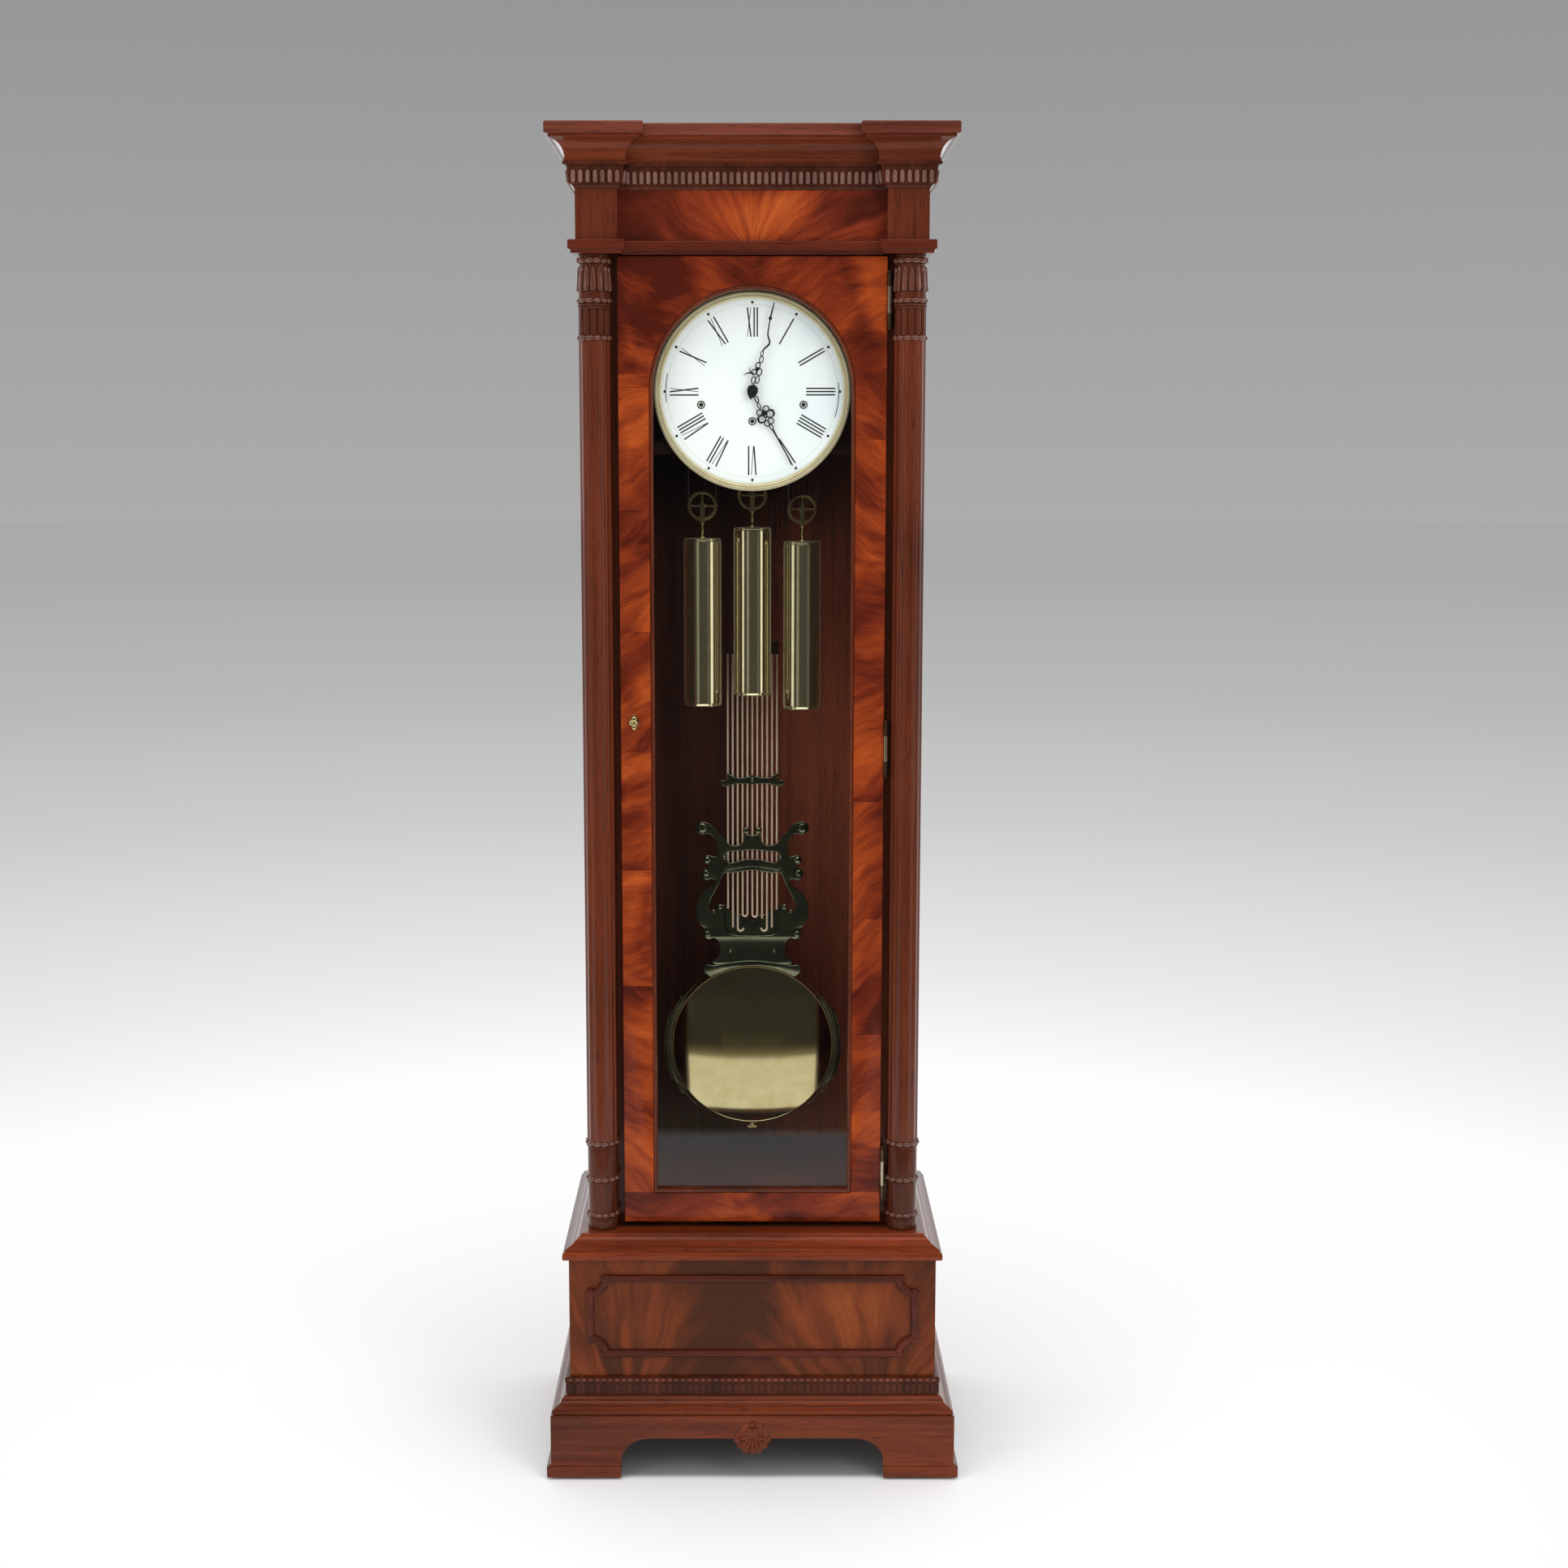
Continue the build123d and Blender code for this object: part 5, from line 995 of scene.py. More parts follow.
def arc(cx: float, cy: float, radius: float, start: float, end: float, count: int = 24) -> Loop:
    """Points along an arc, its angles in degrees."""
    steps = (math.radians(start + (end - start) * i / count) for i in range(count + 1))
    return [(cx + radius * math.cos(a), cy + radius * math.sin(a)) for a in steps]


def circle(cx: float, cy: float, radius: float, count: int) -> Loop:
    """Points round a circle."""
    return arc(cx, cy, radius, 0, 360, count)[:-1]


def bowed(points: Sequence[Sequence[float]], count: int = 7) -> Loop:
    """A profile some of whose edges are bowed.

    Args:
        points: Points; a third number bows the edge that leads there, over 0 where it is hollow.
        count: Steps along a bowed edge.

    Returns:
        The profile.
    """
    loop = [tuple(points[0][:2])]
    for point in points[1:]:
        x0, y0 = loop[-1]
        x1, y1 = point[:2]
        if len(point) == 3:
            chord = math.hypot(x1 - x0, y1 - y0)
            nx, ny = -(y1 - y0) / chord, (x1 - x0) / chord
            for i in range(1, count):
                t = i / count
                sag = point[2] * 4 * t * (1 - t)
                loop.append((x0 + (x1 - x0) * t + nx * sag, y0 + (y1 - y0) * t + ny * sag))
        loop.append((x1, y1))
    return loop


@dataclass(frozen=True)
class Leg:
    """One straight run of a moulding round the case, with the mitres at its ends."""

    start: Point
    end: Point
    before: Vector
    after: Vector

    @property
    def way(self) -> Vector:
        """The direction of the run."""
        return (Vector(self.end) - Vector(self.start)).normalized()

    @property
    def out(self) -> Vector:
        """The direction that the run faces."""
        return Vector((self.way.y, -self.way.x))

    @property
    def length(self) -> float:
        """How long the run is."""
        return (Vector(self.end) - Vector(self.start)).length

    @property
    def frontal(self) -> bool:
        """Whether the run goes across the front."""
        return abs(self.way.x) > 0.5

    def reach(self, out: float) -> tuple[float, float]:
        """Where the run starts and ends along itself, at a distance out from its line."""
        start = -out * self._slope(-self.before) if self.before != self.way else 0.0
        return start, self.length + (out * self._slope(self.after) if self.after != self.way else 0.0)

    def _slope(self, other: Vector) -> float:
        """1 where the next run turns inwards round an outer corner, and -1 round an inner one."""
        return 1.0 if other.dot(self.out) < 0 else -1.0


def legs_of(plan: Sequence[Point]) -> list[Leg]:
    """Split a plan into its runs.

    Args:
        plan: Corners in order, seen from above.

    Returns:
        The runs.
    """
    ways = [(Vector(b) - Vector(a)).normalized() for a, b in zip(plan, plan[1:])]
    legs = []
    for i, way in enumerate(ways):
        before = ways[i - 1] if i > 0 else way
        after = ways[i + 1] if i + 1 < len(ways) else way
        legs.append(Leg(plan[i], plan[i + 1], before, after))
    return legs


def run_moulding(leg: Leg, profile: Loop, bottom: float, finish: Finish) -> Piece:
    """A moulded length along a run, cut to its mitres.

    Args:
        leg: The run.
        profile: Distance out from the run's line, and height above the moulding's foot.
        bottom: The height of the moulding's foot.
        finish: What it is finished in.

    Returns:
        The length of moulding.
    """
    piece = sheet([profile], leg.length + 2 * MITRE_SPARE)
    middle = (Vector(leg.start) + Vector(leg.end)) / 2
    out, way = leg.out, leg.way
    turn = Matrix(((out.x, 0.0, -way.x), (out.y, 0.0, -way.y), (0.0, 1.0, 0.0))).to_4x4()
    piece.matrix_world = Matrix.Translation((middle.x * MM, middle.y * MM, bottom * MM)) @ turn
    settle(piece)
    for corner, normal in ((leg.start, leg.way + leg.before), (leg.end, -(leg.way + leg.after))):
        grasp(piece)
        bpy.ops.object.mode_set(mode="EDIT")
        bpy.ops.mesh.select_all(action="SELECT")
        bpy.ops.mesh.bisect(plane_co=(corner[0] * MM, corner[1] * MM, 0.0), plane_no=(normal.x, normal.y, 0.0),
            use_fill=True, clear_inner=True)
        bpy.ops.object.mode_set(mode="OBJECT")
    return paint(tidy_mesh(piece), finish)


def along(leg: Leg, model: Piece, out: float, pitch: float, margin: float = 0.0) -> Piece:
    """Copies of a small carved piece set in a row along a run.

    Args:
        leg: The run.
        model: The piece at the origin; it is used up.
        out: How far out from the run's line it sits.
        pitch: About how far apart the copies are.
        margin: The space kept clear at each end.

    Returns:
        The row as one piece.
    """
    start, end = leg.reach(out)
    room = end - start - 2 * margin
    count = max(1, round(room / pitch))
    step = room / count
    work(model, "ARRAY", count=count, use_relative_offset=False, use_constant_offset=True,
        constant_offset_displace=(step * MM, 0.0, 0.0))
    angle = math.atan2(leg.way.y, leg.way.x)
    foot = Vector(leg.start) + leg.way * (start + margin + step / 2) + leg.out * out
    model.matrix_world = Matrix.Translation((foot.x * MM, foot.y * MM, 0.0)) @ Matrix.Rotation(angle, 4, "Z")
    return settle(model)


def hand_over(pieces: Sequence[Piece], name: str, body: str, finish: Finish | None = None,
              nodes: Sequence[str] = ()) -> None:
    """Join what belongs together and hand it to the frame.

    Args:
        pieces: The parts of one finished piece.
        name: Its name.
        body: The body it rides on.
        finish: Its finish, if its parts have none.
        nodes: The solids that it stands for.
    """
    piece = joined(pieces, name)
    if finish is not None:
        paint(piece, finish)
    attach(piece, body)
    if nodes:
        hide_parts(*nodes)
    LOG.info("%s rides on %s, %d faces", name, body, len(piece.data.polygons))


# ---- the case ----
@dataclass
class CasePlan:
    """Sizes that the parts of the case share."""

    half_width: float = 266.0
    back: float = 213.5
    front: float = -151.5
    block_inner: float = 203.0
    centre_front: float = -126.5

    def plain(self) -> list[Leg]:
        """The runs round a plain front."""
        left = [(-self.half_width, self.back), (-self.half_width, self.front)]
        return legs_of(left + [(-x, y) for x, y in reversed(left)])

    def broken(self) -> list[Leg]:
        """The runs round a front that steps back between its corner blocks.

        Returns:
            The runs.
        """
        half, inner = self.half_width, self.block_inner
        left = [(-half, self.back), (-half, self.front), (-inner, self.front), (-inner, self.centre_front)]
        return legs_of(left + [(-x, y) for x, y in reversed(left)])


def mould_round(name: str, legs: Sequence[Leg], profile: Loop, bottom: float,
                nodes: Sequence[str], front: Finish = FRONT) -> None:
    """Run a moulding round the case, its grain along each run, and hand it over."""
    lengths = [run_moulding(leg, profile, bottom, front if leg.frontal else SIDE) for leg in legs]
    hand_over(lengths, name, "case", nodes=nodes)


@dataclass
class Base:
    """Bracket feet with their shell, base box with its panel, carved band and waist ledge."""

    plan: CasePlan
    bracket_bottom: float = 4.0
    base_bottom: float = 104.0
    carved_bottom: float = 130.0
    box_bottom: float = 160.0
    waist_bottom: float = 355.0
    box_out: float = 26.0
    box_height: float = 195.0
    board: float = 18.0
    front_gap: float = 209.0
    side_gap: float = 101.5
    apron: float = 67.0
    spring: float = 30.0
    curve: float = 48.0
    carved_pitch: float = 10.6
    carved_margin: float = 3.0
    reed_out: float = 31.6
    bead_out: float = 32.6
    apron_out: float = 56.0
    shell_middle: float = 71.0
    shell_lobes: int = 7
    panel_half: float = 264.0
    panel_low: float = 193.0
    panel_high: float = 329.0
    panel_notch: float = 29.0
    panel_hollow: float = 5.0

    def gap_loop(self, half: float) -> Loop:
        """The opening under an apron.

        Args:
            half: Half its width.

        Returns:
            Its outline.
        """
        below = -10.0
        rise = self.apron - self.spring
        left = [(-half + self.curve + self.curve * x, self.spring + rise * z) for x, z in arc(0, 0, 1, 180, 90, 12)]
        right = [(-x, z) for x, z in reversed(left)]
        return [(-half, below)] + left + right + [(half, below)]

    def brackets(self) -> None:
        """Bracket feet, sawn from a moulded board."""
        profile = bowed([(36, 0), (61, 0), (62, 1.2, -0.4), (62, 18.5), (56, 23, 1.6), (56, 99), (55, 100, -0.3),
                         (36, 100)])
        pieces = {}
        for leg in self.plan.plain():
            piece = run_moulding(leg, profile, self.bracket_bottom, FRONT if leg.frontal else SIDE)
            if leg.frontal:
                cutter = upright([self.gap_loop(self.front_gap)], -230, -150)
            else:
                cutter = upright([self.gap_loop(self.side_gap)], -340, 340)
                moved(cutter, turn=90)
            work(piece, "BOOLEAN", object=cutter, operation="DIFFERENCE", solver="EXACT")
            bpy.data.objects.remove(cutter)
            pieces.setdefault(leg.frontal, []).append(tidy_mesh(bevelled(piece, 0.9, 50.0)))
        hand_over(pieces[True], "front_bracket_board", "case", nodes=["front_bracket"])
        hand_over(pieces[False], "side_bracket_boards", "case", nodes=["side_brackets"])

    def shell(self) -> None:
        """The carved shell at the middle of the apron."""
        face = self.plan.front - self.apron_out
        centre = self.shell_middle
        scallops: Loop = []
        for i in range(self.shell_lobes):
            angle = -180 + 180 * (i + 0.5) / self.shell_lobes
            x, z = arc(0, centre, 25, angle, angle, 1)[0]
            scallops += arc(x, z, 5.4, angle - 80, angle + 80, 6)
        outline = [(-14, centre + 22), (-24, centre + 8)] + scallops + [(24, centre + 8), (14, centre + 22)]
        pieces = [upright([outline], face - 1.6, face + 10, 1.0)]
        rib = ball(0, 0, 0, (3.3, 3.4, 12.5), 10, 8)
        for i in range(self.shell_lobes):
            angle = -78 + 156 * i / (self.shell_lobes - 1)
            twin = moved(copied(rib), 0, face - 2.2, centre - 16)
            pieces.append(moved(twin, turn=-angle, axis="Y", about=(0, 0, centre)))
        bpy.data.objects.remove(rib)
        pieces.append(ball(0, face - 2.5, centre + 5, (11.5, 3.4, 9.0)))
        for x in (-5.2, 5.2):
            pieces.append(ball(x, face - 3.9, centre + 11, (4.4, 2.0, 4.4), 12, 8))
        pieces.append(ball(0, face - 2.4, centre + 20, (3.8, 3.2, 6.0), 12, 8))
        hand_over(pieces, "apron_shell", "case", UPRIGHT, ["shell_ornament"])

    def carved_band(self) -> None:
        """The band above the base moulding: a row of beads over fine upright reeds."""
        profile = bowed([(26, 0), (31.6, 0), (31.6, 21), (33, 22), (33.4, 28, -0.6), (31, 30), (26, 30)])
        pieces = []
        for leg in self.plan.plain():
            pieces.append(run_moulding(leg, profile, self.carved_bottom, REEDS))
            reed = upright([[(-4.1, 1.5), (4.1, 1.5), (4.1, 15.5), (2.8, 18.6), (0, 19.8), (-2.8, 18.6),
                (-4.1, 15.5)]], -1.3, 0.4, 1.25, rounds=2)
            bead = ball(0, -0.2, 25.2, (4.3, 2.4, 3.1), 12, 8)
            for model, out, finish in ((reed, self.reed_out, REEDS), (bead, self.bead_out, BEADS)):
                row = along(leg, model, out, self.carved_pitch, self.carved_margin)
                pieces.append(paint(moved(row, z=self.carved_bottom), finish))
        hand_over(pieces, "bead_and_reed_band", "case", nodes=["carved_band"])

    def notched(self, inset: float, notch: float) -> Loop:
        """The panel's rectangle, its corners cut off by shallow hollow curves.

        Args:
            inset: How far inside the panel.
            notch: What a corner takes of each side.

        Returns:
            The outline.
        """
        half, low, high = self.panel_half - inset, self.panel_low + inset, self.panel_high - inset
        loop: Loop = []
        for sx, sz in ((1, -1), (1, 1), (-1, 1), (-1, -1)):
            z = high if sz > 0 else low
            ends = [(sx * (half - notch), z), (sx * half, z - sz * notch)]
            if sx * sz > 0:
                ends.reverse()
            loop += bowed([ends[0], (*ends[1], self.panel_hollow)], 10)
        return loop

    def box(self) -> None:
        """The base box: veneered front and sides."""
        inner = self.box_out - self.board
        board = [(inner, 0), (self.box_out, 0), (self.box_out, self.box_height), (inner, self.box_height)]
        sides = []
        for leg in self.plan.plain():
            if leg.frontal:
                piece = run_moulding(leg, board, self.box_bottom, PANEL)
                hand_over([piece], "base_front_veneer", "case", nodes=["base_front"])
            else:
                sides.append(run_moulding(leg, board, self.box_bottom, SIDES))
        hand_over(sides, "base_side_veneers", "case", nodes=["base_sides"])

    def panel_moulding(self) -> None:
        """The notched moulding on the front, with a small boss at each end of its corner curves."""
        face = self.plan.front - self.box_out
        back = face + 0.5
        pieces = [upright([self.notched(0, self.panel_notch), self.notched(11, 24.8)], face - 6.6, back, 4.7, rounds=6),
                  upright([self.notched(10.4, 25.0), self.notched(12.4, 24.2)], face - 1.2, back, 0.5)]
        near, far = 5.4, self.panel_notch - 0.5
        for side in (-1, 1):
            for z, up in ((self.panel_low, 1), (self.panel_high, -1)):
                for along_x, along_z, radii in ((far, near, (6.6, 5.0, 6.2)), (near, far, (6.2, 5.0, 6.6))):
                    pieces.append(ball(side * (self.panel_half - along_x), face - 3.4, z + up * along_z, radii, 20, 12))
        hand_over(pieces, "notched_panel_moulding", "case", DARKER, ["panel_moulding"])

    def build(self) -> None:
        """Make every piece of the base."""
        self.brackets()
        self.shell()
        mould_round("base_torus", self.plan.plain(), bowed([(26, 0), (51.5, 0), (52.5, 9, -1.5), (49, 11), (49, 13),
            (39, 20, 2), (34, 26, -1), (26, 26)]), self.base_bottom, ["base_moulding"])
        self.carved_band()
        self.box()
        self.panel_moulding()
        mould_round("waist_ledge", self.plan.plain(), bowed([(-22, 0), (34, 0), (35, 1, -0.3), (35, 11, -0.9),
            (34, 12.6, -0.3), (31.4, 13), (31, 17), (28, 18), (12, 31, 1.5), (8.6, 32), (8, 32.6, -0.2), (8, 36),
            (-22, 36)]), self.waist_bottom, ["waist_moulding"], front=BRIGHT)


@dataclass
class Column:
    """One three-quarter column: ringed base, fluted shaft, and capital with neck and leaf bell."""

    x: float
    y: float = -125.0
    flat: float = 18.0
    lobes: int = 12
    lobe_seat: float = 22.6
    leaves: int = 14
    hidden: float = 48.0
    bottom: float = 391.0
    base_top: float = 538.0
    base_rings: tuple[float, ...] = (411.0, 470.0, 529.0)
    cap_bottom: float = 1792.0
    top: float = 1920.0

    def scallop(self, inner: float, outer: float, per: int, sharp: float = 1.0) -> Loop:
        """A lobed outline about the column's axis, cut flat at the back.

        Args:
            inner: The radius in the hollows between lobes.
            outer: The radius on the lobes.
            per: Points to a lobe.
            sharp: Under 1 narrows the hollows, over 1 the lobes.

        Returns:
            The outline.
        """
        loop = []
        for i in range(self.lobes * per):
            turn = math.tau * i / (self.lobes * per)
            r = inner + (outer - inner) * abs(math.cos(self.lobes * turn / 2)) ** sharp
            loop.append((self.x + r * math.sin(turn), self.y + min(-r * math.cos(turn), self.flat)))
        return loop

    def around(self, model: Piece, count: int, first: float) -> list[Piece]:
        """Set copies of a piece round the column, but not against the case.

        Args:
            model: The piece in front; it is used up.
            count: Copies all round.
            first: The angle of the first.

        Returns:
            The copies.
        """
        angles = [first + 360.0 * i / count for i in range(count)]
        twins = [moved(copied(model), turn=angle, about=(self.x, self.y, 0))
                 for angle in angles if abs(angle - 180.0) >= self.hidden]
        bpy.data.objects.remove(model)
        return twins

    def lobed_ring(self, bottom: float, height: float = 9.0, reach: float = 27.8) -> list[Piece]:
        """A ring of rounded lobes, proud of a plain band.

        Args:
            bottom: Its foot.
            height: How tall it is.
            reach: How far its lobes reach from the axis.

        Returns:
            Its parts.
        """
        radii = (6.7, reach - self.lobe_seat, height * 0.52)
        lobe = paint(ball(self.x, self.y - self.lobe_seat, bottom + height / 2, radii, 18, 12), LEAVES)
        band = self.collar(24.4, bottom + 0.6, bottom + height - 0.6, 1.6)
        return [band] + self.around(lobe, self.lobes, 180.0 / self.lobes)

    def collar(self, radius: float, bottom: float, top: float, edge: float) -> Piece:
        """A plain round band."""
        return level([self.scallop(radius, radius, 5)], bottom, top, edge)

    def carved(self, pieces: list[Piece]) -> list[Piece]:
        """Finish the plain parts among some carved ones."""
        return [piece if piece.data.materials else paint(piece, CARVED) for piece in pieces]

    def build_base(self) -> list[Piece]:
        """The plinth and its three rings.

        Returns:
            Its parts.
        """
        pieces = [self.collar(24.5, self.bottom, self.bottom + 20, 0.6),
            self.collar(23.6, self.bottom + 19.5, self.base_top, 0.3)]
        for bottom in self.base_rings:
            pieces += self.lobed_ring(bottom)
            pieces.append(self.collar(25.2, bottom - 2.2, bottom + 0.5, 0.9))
        return self.carved(pieces)

    def build_shaft(self) -> Piece:
        """The shaft with its broad shallow flutes."""
        return level([self.scallop(24.6, 23.1, 10, 1.4)], self.base_top, self.cap_bottom)

    def leaf(self) -> Loop:
        """A leaf of the bell: broad and round below, drawn out to a point above."""
        right = [(1.8, 0.0), (3.8, 2.2), (4.6, 7.0), (4.4, 14.0), (3.7, 24.0), (2.4, 33.0), (0.0, 38.0)]
        return right + [(-x, z) for x, z in reversed(right[:-1])]

    def build_capital(self) -> list[Piece]:
        """Neck, rings, leaf bell and the plain block above.

        Returns:
            Its parts.
        """
        cap = self.cap_bottom
        pieces = self.lobed_ring(cap - 0.5, 8.5)
        pieces.append(level([self.scallop(20.6, 24.4, 8, 0.55)], cap + 7.5, cap + 48, 0.2))
        pieces += [self.collar(25.6, cap + 47, cap + 50.6, 1.5), self.collar(26.2, cap + 50.8, cap + 54.8, 1.6)]
        pieces += self.lobed_ring(cap + 55, 8.4)
        pieces += [self.collar(24.6, cap + 62, cap + 72, 0.6), self.collar(22.8, cap + 70, cap + 114, 0.6)]
        pieces += self.lobed_ring(cap + 114, 9.4)
        pieces.append(self.collar(23.4, cap + 122, self.top, 0.5))
        model = paint(sheet([self.leaf()], 6.4, 2.9, rounds=3), LEAVES)
        lean = 4.0
        moved(moved(model, turn=90.0 - lean, axis="X"), self.x, self.y - 24.6, cap + 73)
        return self.carved(pieces + self.around(model, self.leaves, 0.0))


@dataclass
class Trunk:
    """The columns at the front corners of the trunk."""

    column_x: float = 240.0

    def build(self) -> None:
        """Make the bases, shafts and capitals of both columns."""
        columns = [Column(x) for x in (-self.column_x, self.column_x)]
        bases = [piece for column in columns for piece in column.build_base()]
        hand_over(bases, "ringed_column_bases", "case", nodes=["column_bases"])
        shafts = [column.build_shaft() for column in columns]
        hand_over(shafts, "fluted_shafts", "case", COLUMN, ["column_shafts"])
        capitals = [piece for column in columns for piece in column.build_capital()]
        hand_over(capitals, "leaf_capitals", "case", nodes=["column_capitals"])


@dataclass
class Crown:
    """Architrave, frieze, tongue band, cove and slab."""

    plan: CasePlan
    architrave_bottom: float = 1920.0
    frieze_bottom: float = 1940.0
    tongues_bottom: float = 2015.0
    cove_bottom: float = 2053.0
    slab_bottom: float = 2090.0
    tongue_pitch: float = 10.4
    tongue_out: float = 8.6
    tongue_rise: float = 7.0
    tongue_tilt: float = 7.1
    long_run: float = 40.0
    long_margin: float = 1.6
    short_margin: float = 2.4

    def frieze(self) -> None:
        """The frieze: a fan of veneer between plain corner blocks."""
        board = [(-22, 0), (0, 0), (0, 75), (-22, 75)]
        pieces = []
        for leg in self.plan.broken():
            middle = leg.frontal and abs(leg.start[0] + leg.end[0]) < 1
            finish = FRIEZE if middle else COLUMN if leg.frontal else SIDES
            pieces.append(run_moulding(leg, board, self.frieze_bottom, finish))
        hand_over(pieces, "veneered_frieze", "case", nodes=["frieze"])

    def tongues(self) -> None:
        """The carved band of upright tongues."""
        profile = bowed([(-22, 0), (1, 0), (7.6, 6, 1.2), (8.0, 8), (11, 32), (14, 33), (16.4, 33.4, -0.3),
            (17, 34, -0.2), (17, 38), (-22, 38)])
        pieces = []
        for leg in self.plan.broken():
            pieces.append(run_moulding(leg, profile, self.tongues_bottom, CARVED))
            tongue = upright([[(-2.2, 0.6), (2.2, 0.6), (3.3, 3.2), (3.4, 15.0), (2.5, 18.4), (0, 19.8),
                (-2.5, 18.4), (-3.4, 15.0), (-3.3, 3.2)]], -3.2, 0.8, 1.6, rounds=1)
            moved(tongue, turn=self.tongue_tilt, axis="X")
            margin = self.long_margin if leg.length > self.long_run else self.short_margin
            row = along(leg, tongue, self.tongue_out, self.tongue_pitch, margin)
            pieces.append(paint(moved(row, z=self.tongues_bottom + self.tongue_rise), TONGUES))
        hand_over(pieces, "carved_tongue_band", "case", nodes=["tongue_band"])

    def build(self) -> None:
        """Make every piece of the crown."""
        legs = self.plan.broken()
        mould_round("architrave_lengths", legs, bowed([(-22, 0), (6.4, 0), (7, 0.6), (7, 3), (10, 5.6, 0.9),
            (11, 6.6, -0.2), (11, 17.4), (9, 20, -0.7), (-22, 20)]), self.architrave_bottom,
            ["architrave"], front=DARKER)
        self.frieze()
        self.tongues()
        mould_round("cornice_cove_lengths", legs, bowed([(-22, 0), (14.4, 0), (15, 0.6), (15, 4), (14, 8, 0.6),
            (36, 32.4, 5.5), (36, 37), (-22, 37)]), self.cove_bottom, ["cornice_cove"])
        mould_round("cornice_slab_lengths", legs,
                    bowed([(-22, 0), (40, 0), (42, 2.6, -0.6), (42, 14), (41, 16.8, -0.5), (38.6, 18, -0.3),
                           (-22, 18)]), self.slab_bottom, ["cornice_slab"], front=SLAB)


# ---- the door ----
@dataclass
class Door:
    """The glazed door with its bead, lock and knob."""

    half: float = 205.0
    bottom: float = 400.0
    top: float = 1918.0
    front: float = -129.0
    back: float = -107.0
    window: float = 158.0
    sill: float = 453.0
    arch_centre: float = 1717.0
    bead: float = 6.0
    fillet: float = 3.7
    lock_x: float = -184.0
    lock_z: float = 1208.0
    spindle: float = 44.4

    def arch(self, outset: float) -> Loop:
        """The round-headed opening in the glazing bead, or one that is larger all round."""
        half, bottom = self.window - self.bead + outset, self.sill - outset
        return [(-half, bottom), (half, bottom)] + arc(0, self.arch_centre, half, 0, 180, 64)

    def frame(self) -> None:
        """The veneered frame, its window sawn to a round head."""
        outline = [(-self.half, self.bottom), (self.half, self.bottom), (self.half, self.top),
            (-self.half, self.top)]
        piece = upright([outline, self.arch(self.bead)], self.front, self.back, 1.2)
        hand_over([piece], "veneered_door_frame", "door", DOOR, ["door_frame"])

    def beads(self) -> None:
        """The small rounded bead that frames the glass, and the fillet behind it."""
        bead = upright([self.arch(self.bead), self.arch(0.0)], self.front + 1.4, self.front + 11.0, 2.2, rounds=3)
        rear = upright([self.arch(self.bead + self.fillet), self.arch(0.0)], self.back - 8.0, self.back - 1.0, 1.0)
        hand_over([bead, rear], "glazing_bead", "door", COLUMN, ["glass_beads"])

    def furniture(self) -> None:
        """The lobed brass knob on its plate."""
        x, z = self.lock_x, self.lock_z
        plate = facing(turned([(0, 1.5), (5.6, 1.5), (7.4, 0.9), (8.0, 0)], 32), x, self.front, z)
        moved(plate, turn=180, about=(x, self.front, z), axis="X")
        rim = ball(x, self.front - 0.3, z, (5.0, 0.8, 12.5), 24, 12)
        hand_over([plate, rim], "lock_plate", "door", BRASS, ["escutcheon"])
        y = self.front - 8.6
        pieces = [ball(x, y, z + 6.2, (4.8, 3.6, 5.0)), ball(x, y, z - 6.4, (4.2, 3.4, 4.8)),
            ball(x - 4.6, y, z + 0.4, (4.2, 3.2, 4.0)), ball(x + 3.6, y, z + 0.2, (3.2, 3.0, 3.4))]
        seat = self.front - 1.9
        stem = turned([(0, 0), (2.8, 0), (2.8, 3), (2.0, 4.4), (2.0, 7), (0, 7)], 20)
        pieces.append(moved(moved(stem, turn=90, axis="X"), x, seat, z))
        spindle = turned([(0, 0), (2.5, 0), (2.5, self.spindle), (0, self.spindle)], 20)
        pieces.append(facing(spindle, x, seat, z))
        catch = seat + self.spindle
        pieces.append(box((x - 4, catch - 0.2, z - 22), (x + 4, catch + 1.8, z + 4), 0.5))
        hand_over(pieces, "lobed_knob", "knob", BRASS, ["door_knob"])

    def build(self) -> None:
        """Make every piece of the door."""
        self.frame()
        self.beads()
        self.furniture()


